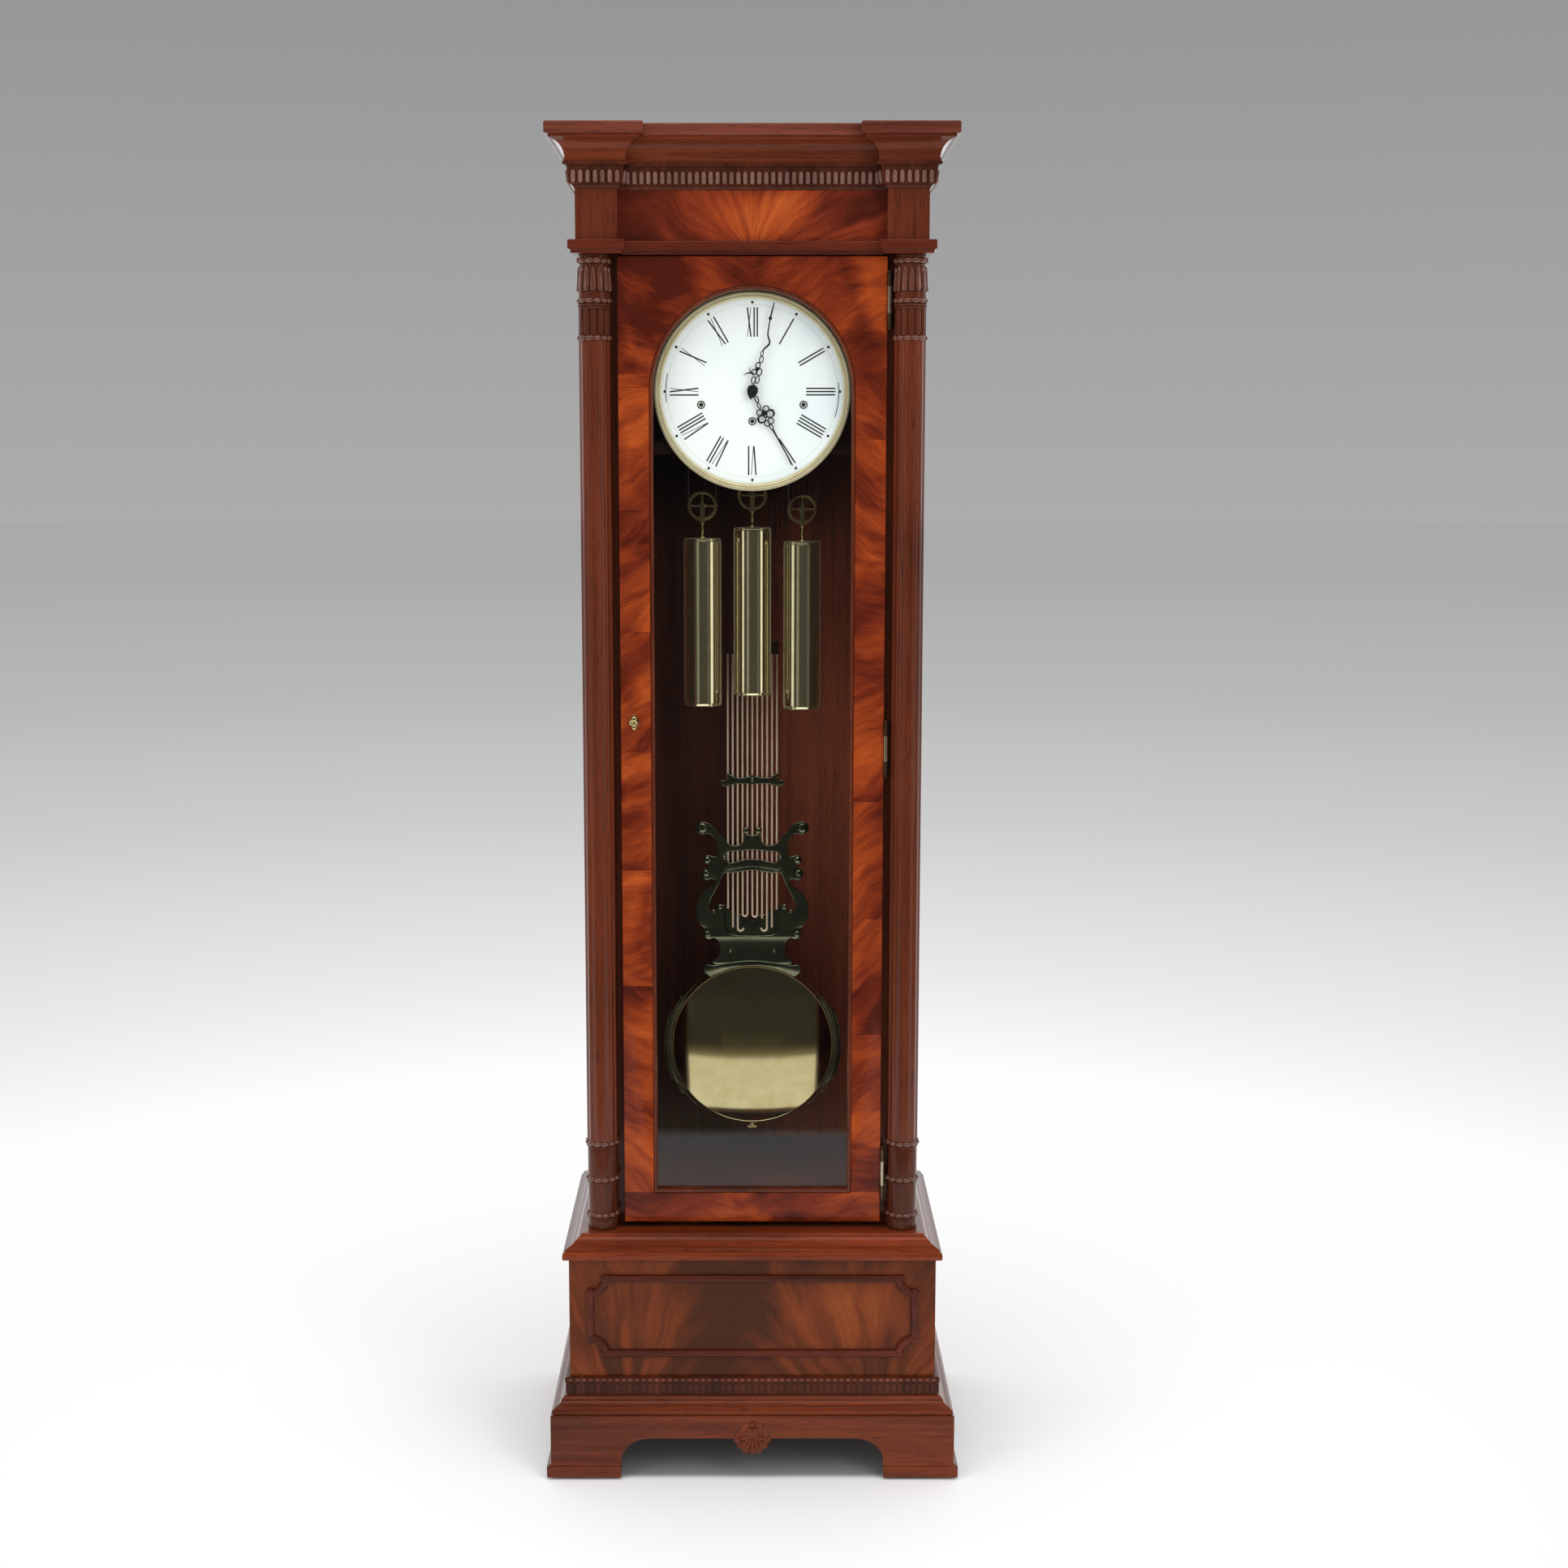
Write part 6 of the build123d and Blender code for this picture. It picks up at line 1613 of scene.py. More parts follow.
# ---- the dial ----
@dataclass
class Dial:
    """Dial markings, bezel, winding collars and hands."""

    centre: float = 1717.0
    face: float = -92.0
    inner: float = 83.0
    outer: float = 127.5
    thick: float = 2.1
    hair: float = 0.9
    gap: float = 2.8
    dot_reach: float = 135.0
    circles: Point = (131.5, 139.0)
    circle_width: float = 0.35
    back: float = 0.05
    minute_y: float = -101.5
    minute_angle: float = 14.0
    hour_y: float = -97.0
    hour_angle: float = 151.0
    hand_thickness: float = 0.9
    holes: tuple[Point, ...] = ((-79.0, 1697.0), (0.0, 1672.0), (79.0, 1697.0))
    numerals: tuple[str, ...] = ("XII", "I", "II", "III", "IIII", "V", "VI", "VII", "VIII", "IX", "X", "XI")

    def stroke(self, x0: float, z0: float, x1: float, z1: float, width: float) -> Loop:
        """A bar between two points.

        Args:
            x0: Its start.
            z0: Its start.
            x1: Its end.
            z1: Its end.
            width: Its width.

        Returns:
            Its outline.
        """
        run = Vector((x1 - x0, z1 - z0)).normalized()
        side = Vector((run.y, -run.x)) * width / 2
        return [(x0 + side.x, z0 + side.y), (x1 + side.x, z1 + side.y), (x1 - side.x, z1 - side.y),
            (x0 - side.x, z0 - side.y)]

    def numeral(self, text: str) -> list[Loop]:
        """The strokes of one numeral, upright on z from the inner to the outer circle.

        Args:
            text: The numeral in capital letters.

        Returns:
            Its strokes.
        """
        widths = {"I": self.thick, "V": 8.6, "X": 7.6}
        low, high = self.inner, self.outer
        total = sum(widths[letter] for letter in text) + self.gap * (len(text) - 1)
        x = -total / 2
        strokes: list[Loop] = []
        for letter in text:
            width = widths[letter]
            left, right = x + self.thick / 2, x + width - self.thick / 2
            if letter == "I":
                strokes.append(self.stroke(left, low, left, high, self.thick))
            elif letter == "V":
                middle = (left + right) / 2
                strokes.append(self.stroke(left, high, middle, low, self.thick))
                strokes.append(self.stroke(right + 0.6, high, middle + 0.7, low, self.hair))
            else:
                strokes.append(self.stroke(left, high, right, low, self.thick))
                strokes.append(self.stroke(right, high, left, low, self.hair))
            x += width + self.gap
        return strokes

    def swung(self, piece: Piece, angle: float) -> Piece:
        """Bring a piece from the origin to the middle of the dial, turned clockwise in degrees."""
        return moved(moved(piece, z=self.centre), turn=angle, axis="Y", about=(0, 0, self.centre))

    def inked(self, loops: Sequence[Loop], height: float, angle: float = 0.0) -> Piece:
        """A thin mark on the dial's face, drawn about its middle."""
        return self.swung(upright(loops, self.face - height, self.face + self.back), angle)

    def markings(self) -> None:
        """Numerals, hour dots and the fine circles at the edge."""
        pieces = []
        for hour, text in enumerate(self.numerals):
            for order, loop in enumerate(self.numeral(text)):
                pieces.append(self.inked([loop], 0.22 + 0.01 * (order % 4), 30.0 * hour))
            pieces.append(self.inked([circle(0, self.dot_reach, 2.1, 16)], 0.25, 30.0 * hour))
        for start, end in ((-17.0, 6.0), (168.0, 187.0)):
            band = arc(0, 0, 134.0, start, end, 16) + arc(0, 0, 132.9, end, start, 16)
            pieces.append(self.inked([band], 0.24))
        hand_over(pieces, "dial_markings", "case", BLACK)
        rings = [self.inked([circle(0, 0, reach, 128), circle(0, 0, reach - self.circle_width, 128)], 0.12)
            for reach in self.circles]
        hand_over(rings, "dial_minute_circles", "case", MINUTES)

    def bezel(self) -> None:
        """The stepped brass bezel."""
        profile = bowed([(140.6, 0), (140.8, -1.2), (144.4, -4.6, -0.7), (145.4, -4.8), (145.6, -4.0),
            (146.2, -4.0), (146.4, -7.0), (149.0, -9.0, -0.9), (152, -6.0, -0.9), (152, 2), (149, 2), (149, 0),
            (140.6, 0)], 6)
        piece = facing(turned(profile, 160, 24), 0, self.face, self.centre)
        hand_over([piece], "stepped_bezel", "case", BEZEL, ["bezel"])

    def collars(self) -> None:
        """Dark collars round the winding arbors, each with a pale sleeve inside."""
        pieces = []
        bright = []
        for x, z in self.holes:
            ring = turned(bowed([(4.4, 2.0), (4.4, -0.5), (5.0, -1.0, 0.2), (5.8, -1.0), (6.3, -0.3, 0.2), (6.3, 0),
                (5.2, 0), (5.2, 2.0), (4.4, 2.0)], 4), 32)
            pieces.append(facing(ring, x, self.face, z))
            sleeve = turned([(3.4, 1.6), (3.4, -0.2), (4.5, -0.2), (4.5, 1.6), (3.4, 1.6)], 32)
            bright.append(facing(sleeve, x, self.face, z))
        hand_over(pieces, "winding_collars", "case", BRONZE, ["winding_grommets"])
        hand_over(bright, "winding_sleeves", "case", DIAL)

    def ring(self, x: float, z: float, rx: float, rz: float, bar: float) -> list[Loop]:
        """An open oval of thin bar."""
        return [[(x + (rx - inset) * across, z + (rz - inset) * up) for across, up in circle(0, 0, 1, 20)]
                for inset in (0.0, bar)]

    def pierced(self, shapes: Sequence[list[Loop]], depth: float, angle: float) -> list[Piece]:
        """Thin plates, each from its outlines, that together make a hand at this angle."""
        plates = [upright(loops, depth - self.hand_thickness, depth - 0.002 * i) for i, loops in enumerate(shapes)]
        return [self.swung(plate, angle) for plate in plates]

    def winding(self, points: Sequence[Point], widths: Sequence[float]) -> Loop:
        """A band of changing width.

        Args:
            points: The points that it runs through.
            widths: Its width at each.

        Returns:
            Its outline.
        """
        left, right = [], []
        for i, ((x, z), width) in enumerate(zip(points, widths)):
            x0, z0 = points[max(0, i - 1)]
            x1, z1 = points[min(len(points) - 1, i + 1)]
            run = Vector((x1 - x0, z1 - z0)).normalized()
            left.append((x - run.y * width / 2, z + run.x * width / 2))
            right.append((x + run.y * width / 2, z - run.x * width / 2))
        return left + right[::-1]

    def minute_hand(self) -> None:
        """The long hand: heart hub, a climb of open loops, an S-curve, a bead and a fine tip."""
        ovals = ((-2.6, 17, 3.8, 6.2, 1.7), (3.2, 19, 3.6, 6.6, 1.7), (-4.4, 29, 4.4, 5.2, 1.8),
            (3.4, 31, 4.6, 6.2, 1.8), (-1.0, 40, 4.2, 5.6, 1.8), (1.8, 50, 3.6, 5.8, 1.7), (0.6, 59, 2.6, 4.6, 1.5))
        shapes = [[[(0, -13), (6, -6), (8.6, 1), (7.4, 7), (3.2, 9.4), (0, 11.5), (-3.2, 9.4), (-7.4, 7),
            (-8.6, 1), (-6, -6)], circle(0, 0, 3.0, 20)]] + [self.ring(*oval) for oval in ovals]
        shapes += [[circle(-0.6, 35, 3.0, 14)], [self.winding([(-4, 27), (-10, 26.6), (-16, 24), (-19, 20)],
            [2.0, 2.6, 1.6, 0.6])], [self.winding([(-8, 26), (-12, 31), (-12.6, 35)], [1.6, 1.4, 0.6])],
            [self.winding([(0.6, 62), (2.0, 67), (5.2, 71), (7.8, 75), (7.6, 80), (4.4, 84.5), (2.2, 89),
            (1.4, 95), (0.6, 104), (0.2, 112)], [2.2, 2.4, 2.8, 3.0, 2.8, 2.6, 2.4, 2.2, 2.0, 1.8])],
            [circle(0.1, 113.6, 2.8, 16)], [self.winding([(0, 113), (0, 126), (0, 138)], [2.2, 2.4, 1.6])]]
        pieces = self.pierced(shapes, self.minute_y, self.minute_angle)
        nut = turned([(0, -2.5), (2.4, -2.5), (3.6, -1.4), (3.6, 0), (3, 0), (3, 43.5), (0, 43.5)], 32)
        pieces.append(facing(nut, 0, self.minute_y - self.hand_thickness, self.centre))
        hand_over(pieces, "pierced_minute_hand", "minute", BLACK, ["minute_hand"])

    def hour_hand(self) -> None:
        """The short hand: a stem, a cluster of open loops and a fine tip."""
        ovals = ((0, 13.4, 3.4, 6.2, 1.8), (1.6, 24, 2.8, 5.6, 1.7), (-5.6, 33, 5.6, 5.2, 1.8),
            (5.6, 33.5, 5.4, 5.2, 1.8), (-7.4, 43, 6.6, 6.0, 1.8), (7.0, 44, 6.4, 6.0, 1.8),
            (0.0, 39, 3.8, 6.6, 1.8), (-3.4, 53, 5.2, 5.4, 1.7), (4.0, 53.4, 4.6, 5.2, 1.7),
            (0.4, 61.5, 3.2, 5.2, 1.7))
        shapes = [[circle(0, 0, 8.0, 28), circle(0, 0, 4.3, 20)]] + [self.ring(*oval) for oval in ovals]
        shapes += [[circle(0, 38, 3.4, 14)], [self.winding([(-10, 36), (-14, 40), (-13.6, 46), (-10, 49)],
            [1.6, 2.4, 2.4, 1.4])], [self.winding([(10, 37), (13.6, 41), (13, 47), (9.6, 50)],
            [1.6, 2.4, 2.4, 1.4])], [self.winding([(0.4, 65), (0.3, 76), (0.2, 100), (0, 129)],
            [3.2, 2.6, 2.2, 1.6])]]
        pieces = self.pierced(shapes, self.hour_y, self.hour_angle)
        pipe = turned([(3.05, 0), (4.3, 0), (4.3, 33.6), (3.05, 33.6), (3.05, 0)], 32)
        pieces.append(facing(pipe, 0, self.hour_y - self.hand_thickness, self.centre))
        hand_over(pieces, "pierced_hour_hand", "hour", BLACK, ["hour_hand"])

    def build(self) -> None:
        """Make every piece of the dial."""
        self.markings()
        self.bezel()
        self.collars()
        self.minute_hand()
        self.hour_hand()


# ---- weights and pulleys ----
@dataclass
class Weight:
    """One brass weight with its hanger and pulley."""

    side: str
    x: float
    top: float
    y: float = -35.0
    length: float = 266.0
    radius: float = 30.0
    hanger: float = 50.0
    cheek: float = 4.8
    cable_run: float = 21.5
    cable_radius: float = 0.6
    seat: float = 1622.0

    @property
    def axle(self) -> float:
        """The height of the pulley's axle."""
        return self.top + self.hanger

    def shell(self) -> Piece:
        """The polished shell with its rolled ends.

        Returns:
            The shell.
        """
        low, r = self.top - self.length, self.radius
        profile = bowed([(0, low), (r - 3.4, low), (r - 0.8, low + 0.8, 0.4), (r - 0.2, low + 2.4, 0.3),
            (r - 0.9, low + 4.2), (r, low + 5.4), (r, self.top - 5.4), (r - 0.9, self.top - 4.2),
            (r - 0.2, self.top - 2.4, 0.3), (r - 0.8, self.top - 0.8, 0.4), (r - 3.4, self.top), (6.0, self.top),
            (5.0, self.top + 1.6, 0.3), (0, self.top + 1.6)], 4)
        return moved(turned(profile, 72, 26), self.x, self.y)

    def hook(self) -> list[Piece]:
        """Stem, beads and the fork that holds the pulley.

        Returns:
            Its parts.
        """
        axle, cheek = self.axle, self.cheek
        yoke = axle - 24.6
        stem = turned(bowed([(0, self.top + 1), (2.6, self.top + 1), (4.6, self.top + 5.2, 1.2),
            (2.3, self.top + 9.4, 1.2), (2.0, yoke - 11), (4.4, yoke - 6.2, 1.4), (2.4, yoke - 1.8, 1.2),
            (2.4, yoke), (0, yoke)], 5), 24)
        bridge = box((self.x - 3.5, self.y - cheek, yoke - 1.5), (self.x + 3.5, self.y + cheek, yoke), 0.4)
        pieces = [moved(stem, self.x, self.y), bridge]
        for front in (self.y - cheek, self.y + cheek - 1.5):
            outline = [(-3.5, yoke - 1.0), (3.5, yoke - 1.0)] + arc(0, axle, 3.5, 0, 180, 10)
            pieces.append(moved(upright([outline], front, front + 1.5, 0.3), self.x))
        half = [(2.0, cheek), (2.6, cheek), (2.6, 5.6), (0, 5.6)]
        axle_pin = turned([(r, -y) for r, y in reversed(half)] + half, 20)
        return pieces + [facing(axle_pin, self.x, self.y, axle)]

    def pulley(self) -> None:
        """The grooved wheel with its four spokes."""
        axle = self.axle
        groove = 20.6
        rim = turned(bowed([(18.6, -2.2), (19.4, -3, -0.2), (22.0, -3), (23.4, -2.3, -0.2), (23.6, -1.9),
            (groove, -0.9), (groove, 0.9), (23.6, 1.9), (23.4, 2.3), (22.0, 3, -0.2), (19.4, 3), (18.6, 2.2, -0.2),
            (18.6, -2.2)], 4), 56)
        hub = turned(bowed([(2.05, -3), (4.4, -3), (5.0, -2.2, 0.2), (5.0, 2.2), (4.4, 3, 0.2), (2.05, 3),
            (2.05, -3)], 3), 24)
        pieces = [facing(piece, self.x, self.y, axle) for piece in (rim, hub)]
        spoke = upright([[(-2.2, 3.6), (2.2, 3.6), (1.2, 11), (1.7, 19.4), (-1.7, 19.4), (-1.2, 11)]], -1.4, 1.4, 0.5)
        for i in range(4):
            twin = moved(copied(spoke), self.x, self.y, axle)
            pieces.append(moved(twin, turn=90.0 * i, axis="Y", about=(self.x, self.y, axle)))
        bpy.data.objects.remove(spoke)
        hand_over(pieces, self.side + "_pulley_wheel", self.side + "_pulley", SATIN,
            [self.side + "_pulley"])

    def cable(self) -> None:
        """The steel cable that runs down, round the pulley and back up."""
        axle, run = self.axle, self.cable_run
        data = bpy.data.curves.new("cable", "CURVE")
        data.dimensions = "3D"
        data.bevel_depth = self.cable_radius * MM
        data.bevel_resolution = 2
        path = [(-run, self.seat), (-run, axle)] + arc(0, axle, run, 180, 360)[1:-1] + [(run, axle), (run, self.seat)]
        spline = data.splines.new("POLY")
        spline.points.add(len(path) - 1)
        for point, (x, z) in zip(spline.points, path):
            point.co = ((self.x + x) * MM, self.y * MM, z * MM, 1.0)
        name = self.side + "_cable_line"
        piece = paint(joined([converted(data)], name), CABLE)
        bpy.ops.object.shade_smooth()
        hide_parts(self.side + "_cable")
        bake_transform(piece)
        LOG.info("%s stretches from the case to the %s weight", name, self.side)

    def build(self) -> None:
        """Make the weight, its hanger, pulley and cable."""
        pieces = [paint(self.shell(), WEIGHT)] + [paint(part, BRASS) for part in self.hook()]
        hand_over(pieces, self.side + "_weight_shell", self.side + "_weight",
            nodes=[self.side + "_weight"])
        self.pulley()
        self.cable()


# ---- the pendulum ----
@dataclass
class Pendulum:
    """Rods, lyre, bob and rating nut."""

    y: float = 19.8
    lyre_front: float = 13.3
    lyre_back: float = 17.3
    rod_y: float = 18.9
    bridge_bottom: float = 1302.0
    bridge_top: float = 1322.0
    leader_top: float = 1760.0
    rod: float = 1.7
    rod_top: float = 1304.0
    pitch: float = 8.0
    bob_centre: float = 654.0
    bob_radius: float = 133.5
    wing_sides: Point = (0.0, 180.0)
    nut_top: float = 520.2
    nut_teeth: int = 24

    def rods(self) -> None:
        """The grid of rods under its bridge, their feet bent together in pairs, and the scrolled bar."""
        bridge = box((-43, self.y - 4, self.bridge_bottom), (43, self.y + 4, self.bridge_top), 1.4)
        leader = box((-5, self.y - 2, self.bridge_top - 1), (5, self.y + 2, self.leader_top), 0.5)
        pieces = [paint(bridge, BLUED), paint(leader, BLUED)]
        feet = (883.0, 851.0, 850.0, 874.0, 874.0, 873.0, 873.0, 866.0, 850.0, 851.0, 881.0)
        for i, foot in enumerate(feet, start=-(len(feet) // 2)):
            rod = turned([(0, foot), (self.rod, foot + 0.8), (self.rod, self.rod_top), (0, self.rod_top)], 12)
            pieces.append(paint(moved(rod, i * self.pitch, self.rod_y), RODS))
        for x, z, reach in ((-12.0, 874.6, 4.0), (4.0, 873.6, 4.0), (-19.4, 850.6, 4.6), (19.4, 850.6, 4.6)):
            bend = upright([arc(x, z, reach + 1.6, 178, 362, 16) + arc(x, z, reach - 1.6, 362, 178, 16)],
                self.rod_y - 1.6, self.rod_y + 1.6, 0.8)
            pieces.append(paint(bend, RODS))
        bar = [(0, 1089), (9, 1091), (26, 1091), (40, 1087), (49, 1088), (53, 1093), (49, 1098), (46, 1096),
            (40, 1101), (44, 1107), (38, 1108), (28, 1101), (12, 1101), (0, 1106)]
        pieces.append(paint(upright([self.mirrored(bar)], self.lyre_front, self.lyre_back, 1.0), LYRE))
        pieces.append(paint(ball(0, self.lyre_front, 1098, (4.2, 2.4, 4.2)), LYRE))
        hand_over(pieces, "rod_grid", "pendulum", nodes=["pendulum_rods"])

    def mirrored(self, half: Sequence[Point]) -> Loop:
        """A closed outline from its right half, which starts and ends on the centre line."""
        return list(half) + [(-x, z) for x, z in reversed(half) if x > 0.01]

    def lyre(self) -> None:
        """The lyre: a pierced plate with scrolled arms, its crest and crossbar, and the saddle on the bob."""
        outline = [(0, 1005), (5, 1007), (11, 1006), (14.5, 1001), (15.5, 994.5), (20, 990.8), (28, 989.2),
            (38, 992), (47, 999.5), (56, 1010.5), (64, 1020), (72, 1026), (81, 1028.5), (89.5, 1025),
            (92.5, 1017.5), (89, 1010.5), (81, 1007.5), (73, 1008.5), (66, 1005.5), (60.5, 998), (58, 989),
            (57.5, 978), (60, 970.5), (66, 971.5), (73, 973), (79.5, 969), (80, 961.5), (74, 957), (74, 953.5),
            (79.5, 950), (83, 943), (80.5, 935), (73, 931.5), (65, 933.5), (61, 930.5), (63.5, 924), (71, 918),
            (80.5, 911), (87.5, 902), (91.5, 891), (92.5, 880), (90, 866), (84, 855), (78.5, 849.5), (81, 844),
            (78.5, 836.5), (71, 832.5), (63.5, 834.5), (57.5, 831), (54, 823), (53.5, 812), (56, 804), (61, 798.5),
            (66, 794.5), (50, 790), (25, 791.5), (0, 792)]
        crest_gap = [(0, 982), (14, 980.5), (30, 979.5), (42, 977), (44.5, 970), (43, 963), (34, 959.5), (18, 962),
                     (0, 964.5)]
        body_gap = [(0, 948), (16, 946), (32, 943.5), (45, 943.5), (50, 937), (55, 924.5), (63, 909), (69, 896.5),
            (70.5, 886), (67.5, 879.5), (61.5, 877.5), (57.5, 880.5), (58, 886), (55.5, 891), (50.5, 891.5),
            (47.5, 887), (47, 879), (46, 866), (43.5, 850), (36, 842), (20, 839.5), (0, 839)]
        holes = [self.mirrored(crest_gap), self.mirrored(body_gap)]
        pieces = [upright([self.mirrored(outline)] + holes, self.lyre_front, self.lyre_back, 1.1, smooth=True)]
        backing = [(0, 862), (5, 868), (12, 872.5), (22, 873), (32, 877), (42, 885), (48, 889), (52, 880),
            (52, 850), (50, 834), (0, 832)]
        pieces.append(upright([self.mirrored(backing)], 21.4, 24.2, 0.9, smooth=True))
        cross = [(0, 967), (12, 966), (26, 962.5), (38, 961), (44, 967), (49, 965.5), (50, 956), (44, 948),
            (30, 949.5), (14, 952), (0, 954)]
        pieces.append(upright([self.mirrored(cross)], self.lyre_front - 1.4, self.lyre_front + 1.0, 1.0, smooth=True))
        for side in (-1, 1):
            for x, z, r, rise in ((9.8, 1014, 5.6, 1.9), (82, 1018, 8.0, 1.7), (46, 969, 4.2, 2.6),
                                  (74, 965, 5.6, 1.6), (76, 943, 5.8, 1.6), (53, 886.5, 4.4, 1.5), (74, 841, 5.6, 1.6)):
                pieces.append(ball(side * x, self.lyre_front + 0.6, z, (r, rise + 0.6, r), 20, 12))
            pieces.append(ball(side * 63.5, self.lyre_front, 881, (3.4, 1.6, 2.0), 16, 10))
            pieces.append(ball(side * 36, self.lyre_front, 813, (3.0, 1.6, 3.0), 16, 10))
            ridge = [(48, 1001), (57, 1012), (65, 1021.5), (73, 1027), (71.6, 1028.2), (63.6, 1022.8),
                (55.4, 1013.4), (46.6, 1002.6)]
            pieces.append(upright([[(side * x, z - 2.4) for x, z in ridge]],
                self.lyre_front - 0.8, self.lyre_front + 0.4, 0.5, smooth=True))
        saddle = [(0, 797.5), (20, 796.5), (45, 793), (64, 789), (73, 790.5), (79, 788.5), (81.5, 782.5),
            (78.5, 776), (72, 771.6)]
        saddle += arc(0, self.bob_centre, self.bob_radius + 0.8, 59, 90, 14)
        pieces.append(upright([self.mirrored(saddle)], self.lyre_front - 1.4, self.lyre_back + 0.6, 1.3))
        rod = turned([(0, 478.2), (2.0, 479), (2.5, 480), (2.5, 835), (0, 835)], 20)
        pieces.append(moved(rod, 0, self.y))
        hand_over(pieces, "lyre_frame", "pendulum", LYRE, ["lyre"])

    def bob(self) -> None:
        """The polished lens of the bob, its rim, and the banded wings at each side."""
        r = self.bob_radius
        front, back = 15.0, 10.0
        profile = [((r - 3.0) * i / 24, -front + (front - 3.0) * (i / 24) ** 2) for i in range(25)]
        profile += [(r - 2.6, -3.3), (r - 1.2, -3.4), (r - 0.2, -2.6), (r, -1.8), (r, 2.6)]
        profile += [((r - 1.4) * i / 12, back - (back - 3.2) * (i / 12) ** 2) for i in range(12, -1, -1)]
        pieces = [paint(facing(turned(profile, 128, 24), 0, self.y, self.bob_centre), BOB)]
        for reach, half, width in ((147.0, 60.0, 2.2), (143.0, 84.0, 2.2), (139.2, 104.0, 2.0)):
            spread = math.degrees(math.asin(half / reach))
            for middle in self.wing_sides:
                band = arc(0, self.bob_centre, reach, middle - spread, middle + spread, 32)
                band += arc(0, self.bob_centre, reach - width, middle + spread, middle - spread, 32)
                pieces.append(paint(upright([band], self.y - 1.6, self.y + 1.2, 0.7), WINGS))
        for middle in self.wing_sides:
            web = arc(0, self.bob_centre, 146.0, middle - 23, middle + 23, 24)
            web += arc(0, self.bob_centre, r - 1.0, middle + 40, middle - 40, 32)
            pieces.append(paint(upright([web], self.y - 0.5, self.y + 0.9, 0.3), WINGS))
        hand_over(pieces, "mirror_bob", "pendulum", nodes=["bob"])

    def nut(self) -> None:
        """The knurled rating nut."""
        round_ends = circle(0, 0, 1, 2 * self.nut_teeth)
        teeth = [(x * reach, y * reach) for (x, y), reach in zip(round_ends, (8.4, 9.0) * self.nut_teeth)]
        bore = circle(0, 0, 2.55, 24)
        pieces = [level([teeth, bore], self.nut_top - 8.5, self.nut_top - 2.5, 0.5), level([circle(0, 0, 5.4, 32),
            bore], self.nut_top - 11, self.nut_top, 0.8)]
        hand_over([moved(piece, 0, self.y) for piece in pieces], "rating_nut_knurled", "rating_nut",
            BRASS, ["rating_nut"])

    def build(self) -> None:
        """Make every piece of the pendulum."""
        self.rods()
        self.lyre()
        self.bob()
        self.nut()


# ---- boards and works kept from the frame ----
class Works:
    """The CAD solids whose own shape shows, dressed in their finishes."""

    DRESS = {"glides": PLASTIC, "foot_frame": HIDDEN, "floor_boards": HIDDEN, "back_boards": BACK,
        "top_board": HIDDEN, "seat_board": UNLIT, "trunk_sides": SIDES, "face_frame": UPRIGHT, "case_hinges": LEAF,
        "door_hinges": HINGE, "door_glass": GLASS, "dial": DIAL, "movement_frame": SATIN, "left_drum": SATIN,
        "centre_drum": SATIN, "right_drum": SATIN, "cable_leads": CABLE, "suspension_spring": STEEL,
        "crutch": STEEL, "chime_block": IRON, "chime_rods": BLUED, "chime_hammers": BLUED}

    def build(self) -> None:
        """Dress every solid that stays."""
        for node, finish in self.DRESS.items():
            paint(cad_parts[node], finish)
            LOG.info("%s keeps its solid, in %s", node, finish.name)


# ---- the studio ----
@dataclass(frozen=True)
class Lamp:
    """A soft box, its place and target in metres and its power in watts."""

    name: str
    place: Place
    target: Place
    size: Point
    power: float

    def build(self) -> None:
        """Hang the lamp and aim it."""
        data = bpy.data.lights.new(self.name, "AREA")
        data.shape = "RECTANGLE"
        data.size, data.size_y = self.size
        data.energy = self.power
        lamp = bpy.data.objects.new(self.name, data)
        lamp.location = self.place
        aim = Vector(self.target) - Vector(self.place)
        lamp.rotation_euler = aim.to_track_quat("-Z", "Y").to_euler()
        lamp.visible_glossy = False
        lamp.visible_transmission = False
        bpy.context.collection.objects.link(lamp)


def greys(*stops: tuple[float, float]) -> tuple[tuple[float, Colour], ...]:
    """Stops of a ramp from places along it and lightnesses."""
    return tuple((position, (level, level, level)) for position, level in stops)


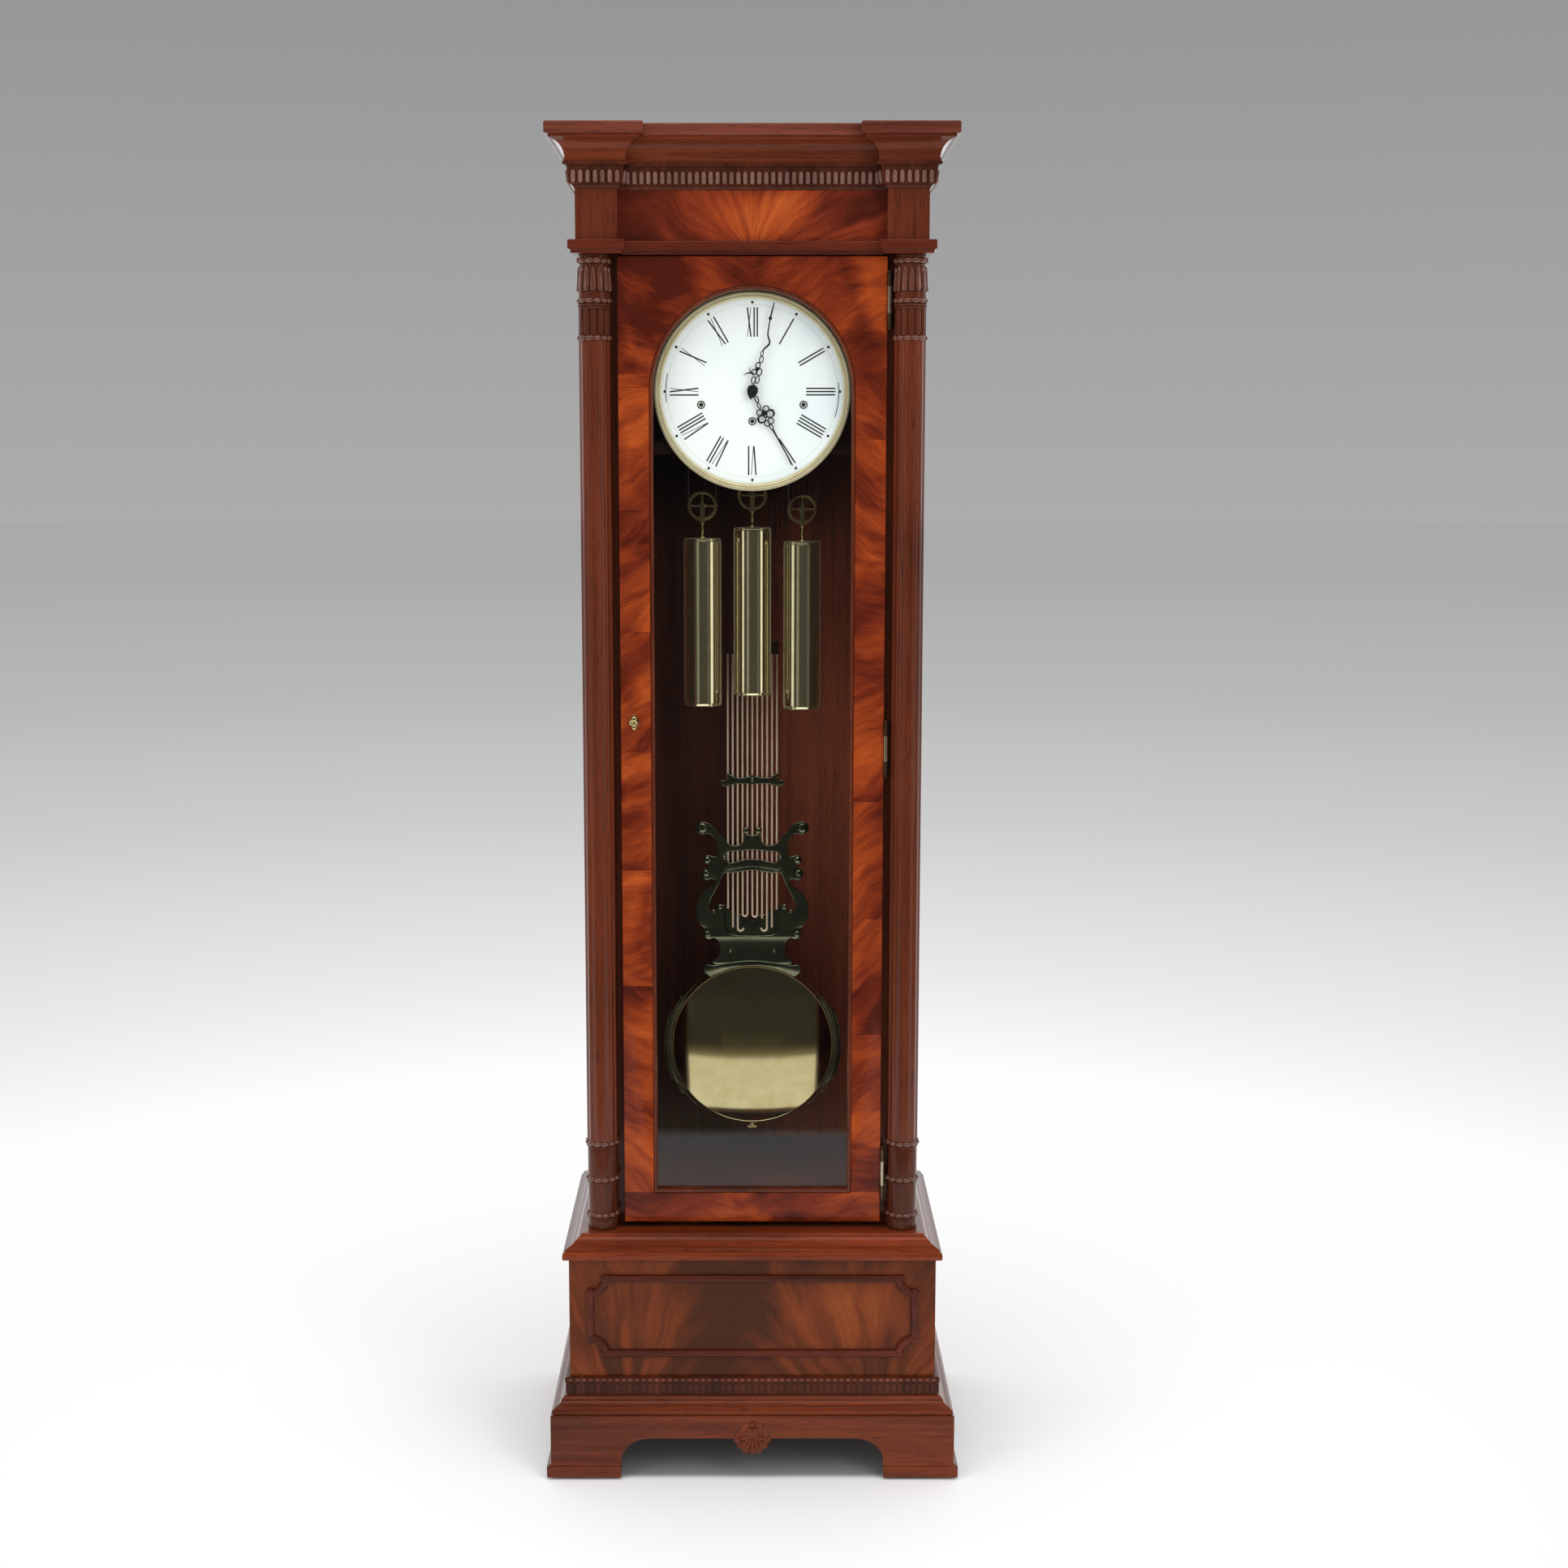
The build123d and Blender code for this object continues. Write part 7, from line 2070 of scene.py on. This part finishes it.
@dataclass
class Studio:
    """Floor, surroundings, lamps and camera, in metres and degrees."""

    floor_radius: float = 60.0
    floor_colour: Colour = (0.93, 0.93, 0.93)
    # A painted shadow: the floor under the case is painted dark grey.
    painted_shadow_colour: Colour = (0.34, 0.34, 0.34)
    paper_end: float = 1.84
    dark_from: float = 2.5
    near_ground: Colour = (0.26, 0.23, 0.17)
    far_ground: Colour = (0.045, 0.045, 0.042)
    painted_shadow_half_width: float = 0.3
    painted_shadow_half_depth: float = 0.195
    painted_shadow_middle: float = -0.005
    light_colour: Colour = (0.9, 0.9, 0.9)
    room_edge: Point = (82.0, 104.0)
    window_edge: Point = (48.0, 36.0)
    window_strength: float = 2.2
    panels: tuple[tuple[float, float, float], ...] = ((-60, 8, 1.15), (-27, 7, 0.26), (36, 5, 0.1), (60, 9, 1.35))
    lamps: tuple[Lamp, ...] = (Lamp("key_box", (1.9, -2.6, 2.6), (0.0, 0.0, 1.2), (1.2, 1.8), 26.0),
        Lamp("fill_box", (-2.2, -2.0, 1.8), (0.0, 0.0, 1.0), (1.2, 1.8), 12.0), Lamp("top_box", (0.0, -0.6, 4.0),
        (0.0, 0.0, 1.6), (2.6, 2.0), 34.0))
    tilt: float = 8.2
    lens: float = 51.34
    sensor: float = 36.0
    shift: float = 0.0202
    stand: Place = (0.0, -3.5905, 1.61)

    def bearing(self, x: Field, y: Field) -> Field:
        """The bearing of a place in radians, 0 straight in front of the clock."""
        return x.step("ARCTAN2", y * -1.0)

    def pale_panels(self, bearing: Field) -> Field:
        """How bright the pale upright panels of the dim room are along a bearing."""
        return sum(abs(bearing - math.radians(middle)).span(math.radians(half + 2), math.radians(half - 2),
            0.0, strength) for middle, half, strength in self.panels)

    def floor_light(self, surface: Surface, front: Field) -> Field:
        """What the floor shows of itself: pale near the clock, grey far off, and a dim room in polished metal.

        Args:
            surface: The floor's surface.
            front: Where the dim room takes the floor's place.

        Returns:
            The colour.
        """
        x, y, _ = surface.axes()
        away = distance(x, y)
        far = away.most(1.0).step("LOGARITHM", 2.0) / 6.0
        shade = surface.ramp(far, greys((0.0, 0.99), (0.2, 0.985), (0.295, 0.82), (0.457, 0.6), (0.6, 0.48),
            (0.82, 0.402), (1.0, 0.4)))
        ground = surface.mix(y.span(-self.paper_end, -self.dark_from), self.near_ground, self.far_ground)
        strips = self.pale_panels(self.bearing(x, y)) * away.span(5.5, 8.0)
        return surface.mix(front, shade, surface.mix(1.0, ground, surface.grey(strips), "ADD"))

    def floor(self) -> None:
        """A pale floor with a painted shadow under the case, lit and shadowed near the clock and fading to grey far
        away.
        """
        surface = Surface("floor_white")
        x, y, _ = surface.axes()
        mirrored = surface.mirrored()
        front = y.span(-self.paper_end, -self.paper_end - 0.1) * mirrored
        # Painted shadow: a dark grey patch on the floor under the case.
        soft = 0.015
        painted_shadow_across = abs(x).span(self.painted_shadow_half_width + soft, self.painted_shadow_half_width - soft)
        before = abs(y - self.painted_shadow_middle).span(self.painted_shadow_half_depth + 0.01, self.painted_shadow_half_depth - 0.01)
        surface.main(Base_Color=surface.mix(painted_shadow_across * before, self.floor_colour, self.painted_shadow_colour), Roughness=0.9)
        glow = surface.node("ShaderNodeEmission")
        surface.plug(glow, Color=self.floor_light(surface, front))
        seen = surface.ray("Is Camera Ray").most(mirrored.most(surface.ray("Is Transmission Ray")))
        surface.lay_over(glow, seen * distance(x, y).span(0.34, 1.5).most(front))
        bpy.ops.object.select_all(action="DESELECT")
        bpy.ops.mesh.primitive_circle_add(vertices=96, radius=self.floor_radius, fill_type="NGON")
        disc = bpy.context.object
        disc.name = "studio_floor"
        surface.material.cycles.emission_sampling = "NONE"
        disc.data.materials.append(surface.material)

    def surroundings(self) -> None:
        """Even light all round, seen as a grey fade; polish also shows a dim room in front with pale panels."""
        world = bpy.data.worlds.new("studio")
        bpy.context.scene.world = world
        world.use_nodes = True
        graph = Graph(world.node_tree, "Generated")
        x, y, z = graph.axes()
        fade = graph.ramp(z * 2.0 + 0.2, greys((0.0, 0.45), (0.2, 0.402), (0.59, 0.305), (1.0, 0.29)))
        bearing = self.bearing(x, y)
        near, far = (math.radians(edge) for edge in self.room_edge)
        outer, inner = (math.radians(edge) for edge in self.window_edge)
        room = abs(bearing).span(near, far, 0.035, 0.92) + self.pale_panels(bearing)
        above = abs(bearing).span(outer, inner) * (z.span(0.5, 0.58) * z.span(0.94, 0.88))
        room = above * self.window_strength + room * z.span(0.45, 0.85, 1.0, 0.25)
        shown = graph.ray("Is Camera Ray").most(graph.ray("Is Transmission Ray"))
        light = graph.mix(graph.mirrored(), graph.mix(shown, self.light_colour, fade), graph.grey(room))
        graph.plug(graph.tree.nodes["Background"], Color=light)
        world.cycles.sampling_method = "NONE"

    def camera(self) -> None:
        """The camera, a little above half height, tilted down."""
        data = bpy.data.cameras.new("camera")
        data.lens = self.lens
        data.sensor_width = self.sensor
        data.shift_x = self.shift
        data.dof.use_dof = False
        camera = bpy.data.objects.new("camera", data)
        camera.location = self.stand
        camera.rotation_euler = (math.radians(90.0 - self.tilt), 0.0, 0.0)
        bpy.context.collection.objects.link(camera)
        bpy.context.scene.camera = camera

    def build(self) -> None:
        """Set the studio up."""
        self.floor()
        self.surroundings()
        for lamp in self.lamps:
            lamp.build()
        self.camera()
        bpy.context.scene.view_settings.view_transform = "Standard"
        LOG.info("the studio has its floor, %d lamps and the camera", len(self.lamps))


def main() -> None:
    """Build the clock, then the studio."""
    logging.basicConfig(level=logging.INFO, format="%(message)s")
    plan = CasePlan()
    weights = [Weight("left", -79.0, 1491.0), Weight("centre", 0.0, 1508.0), Weight("right", 79.0, 1486.0)]
    for part in (Base(plan), Trunk(), Crown(plan), Door(), Dial(), *weights, Pendulum(), Works(), Studio()):
        part.build()


if __name__ == "__main__":
    main()
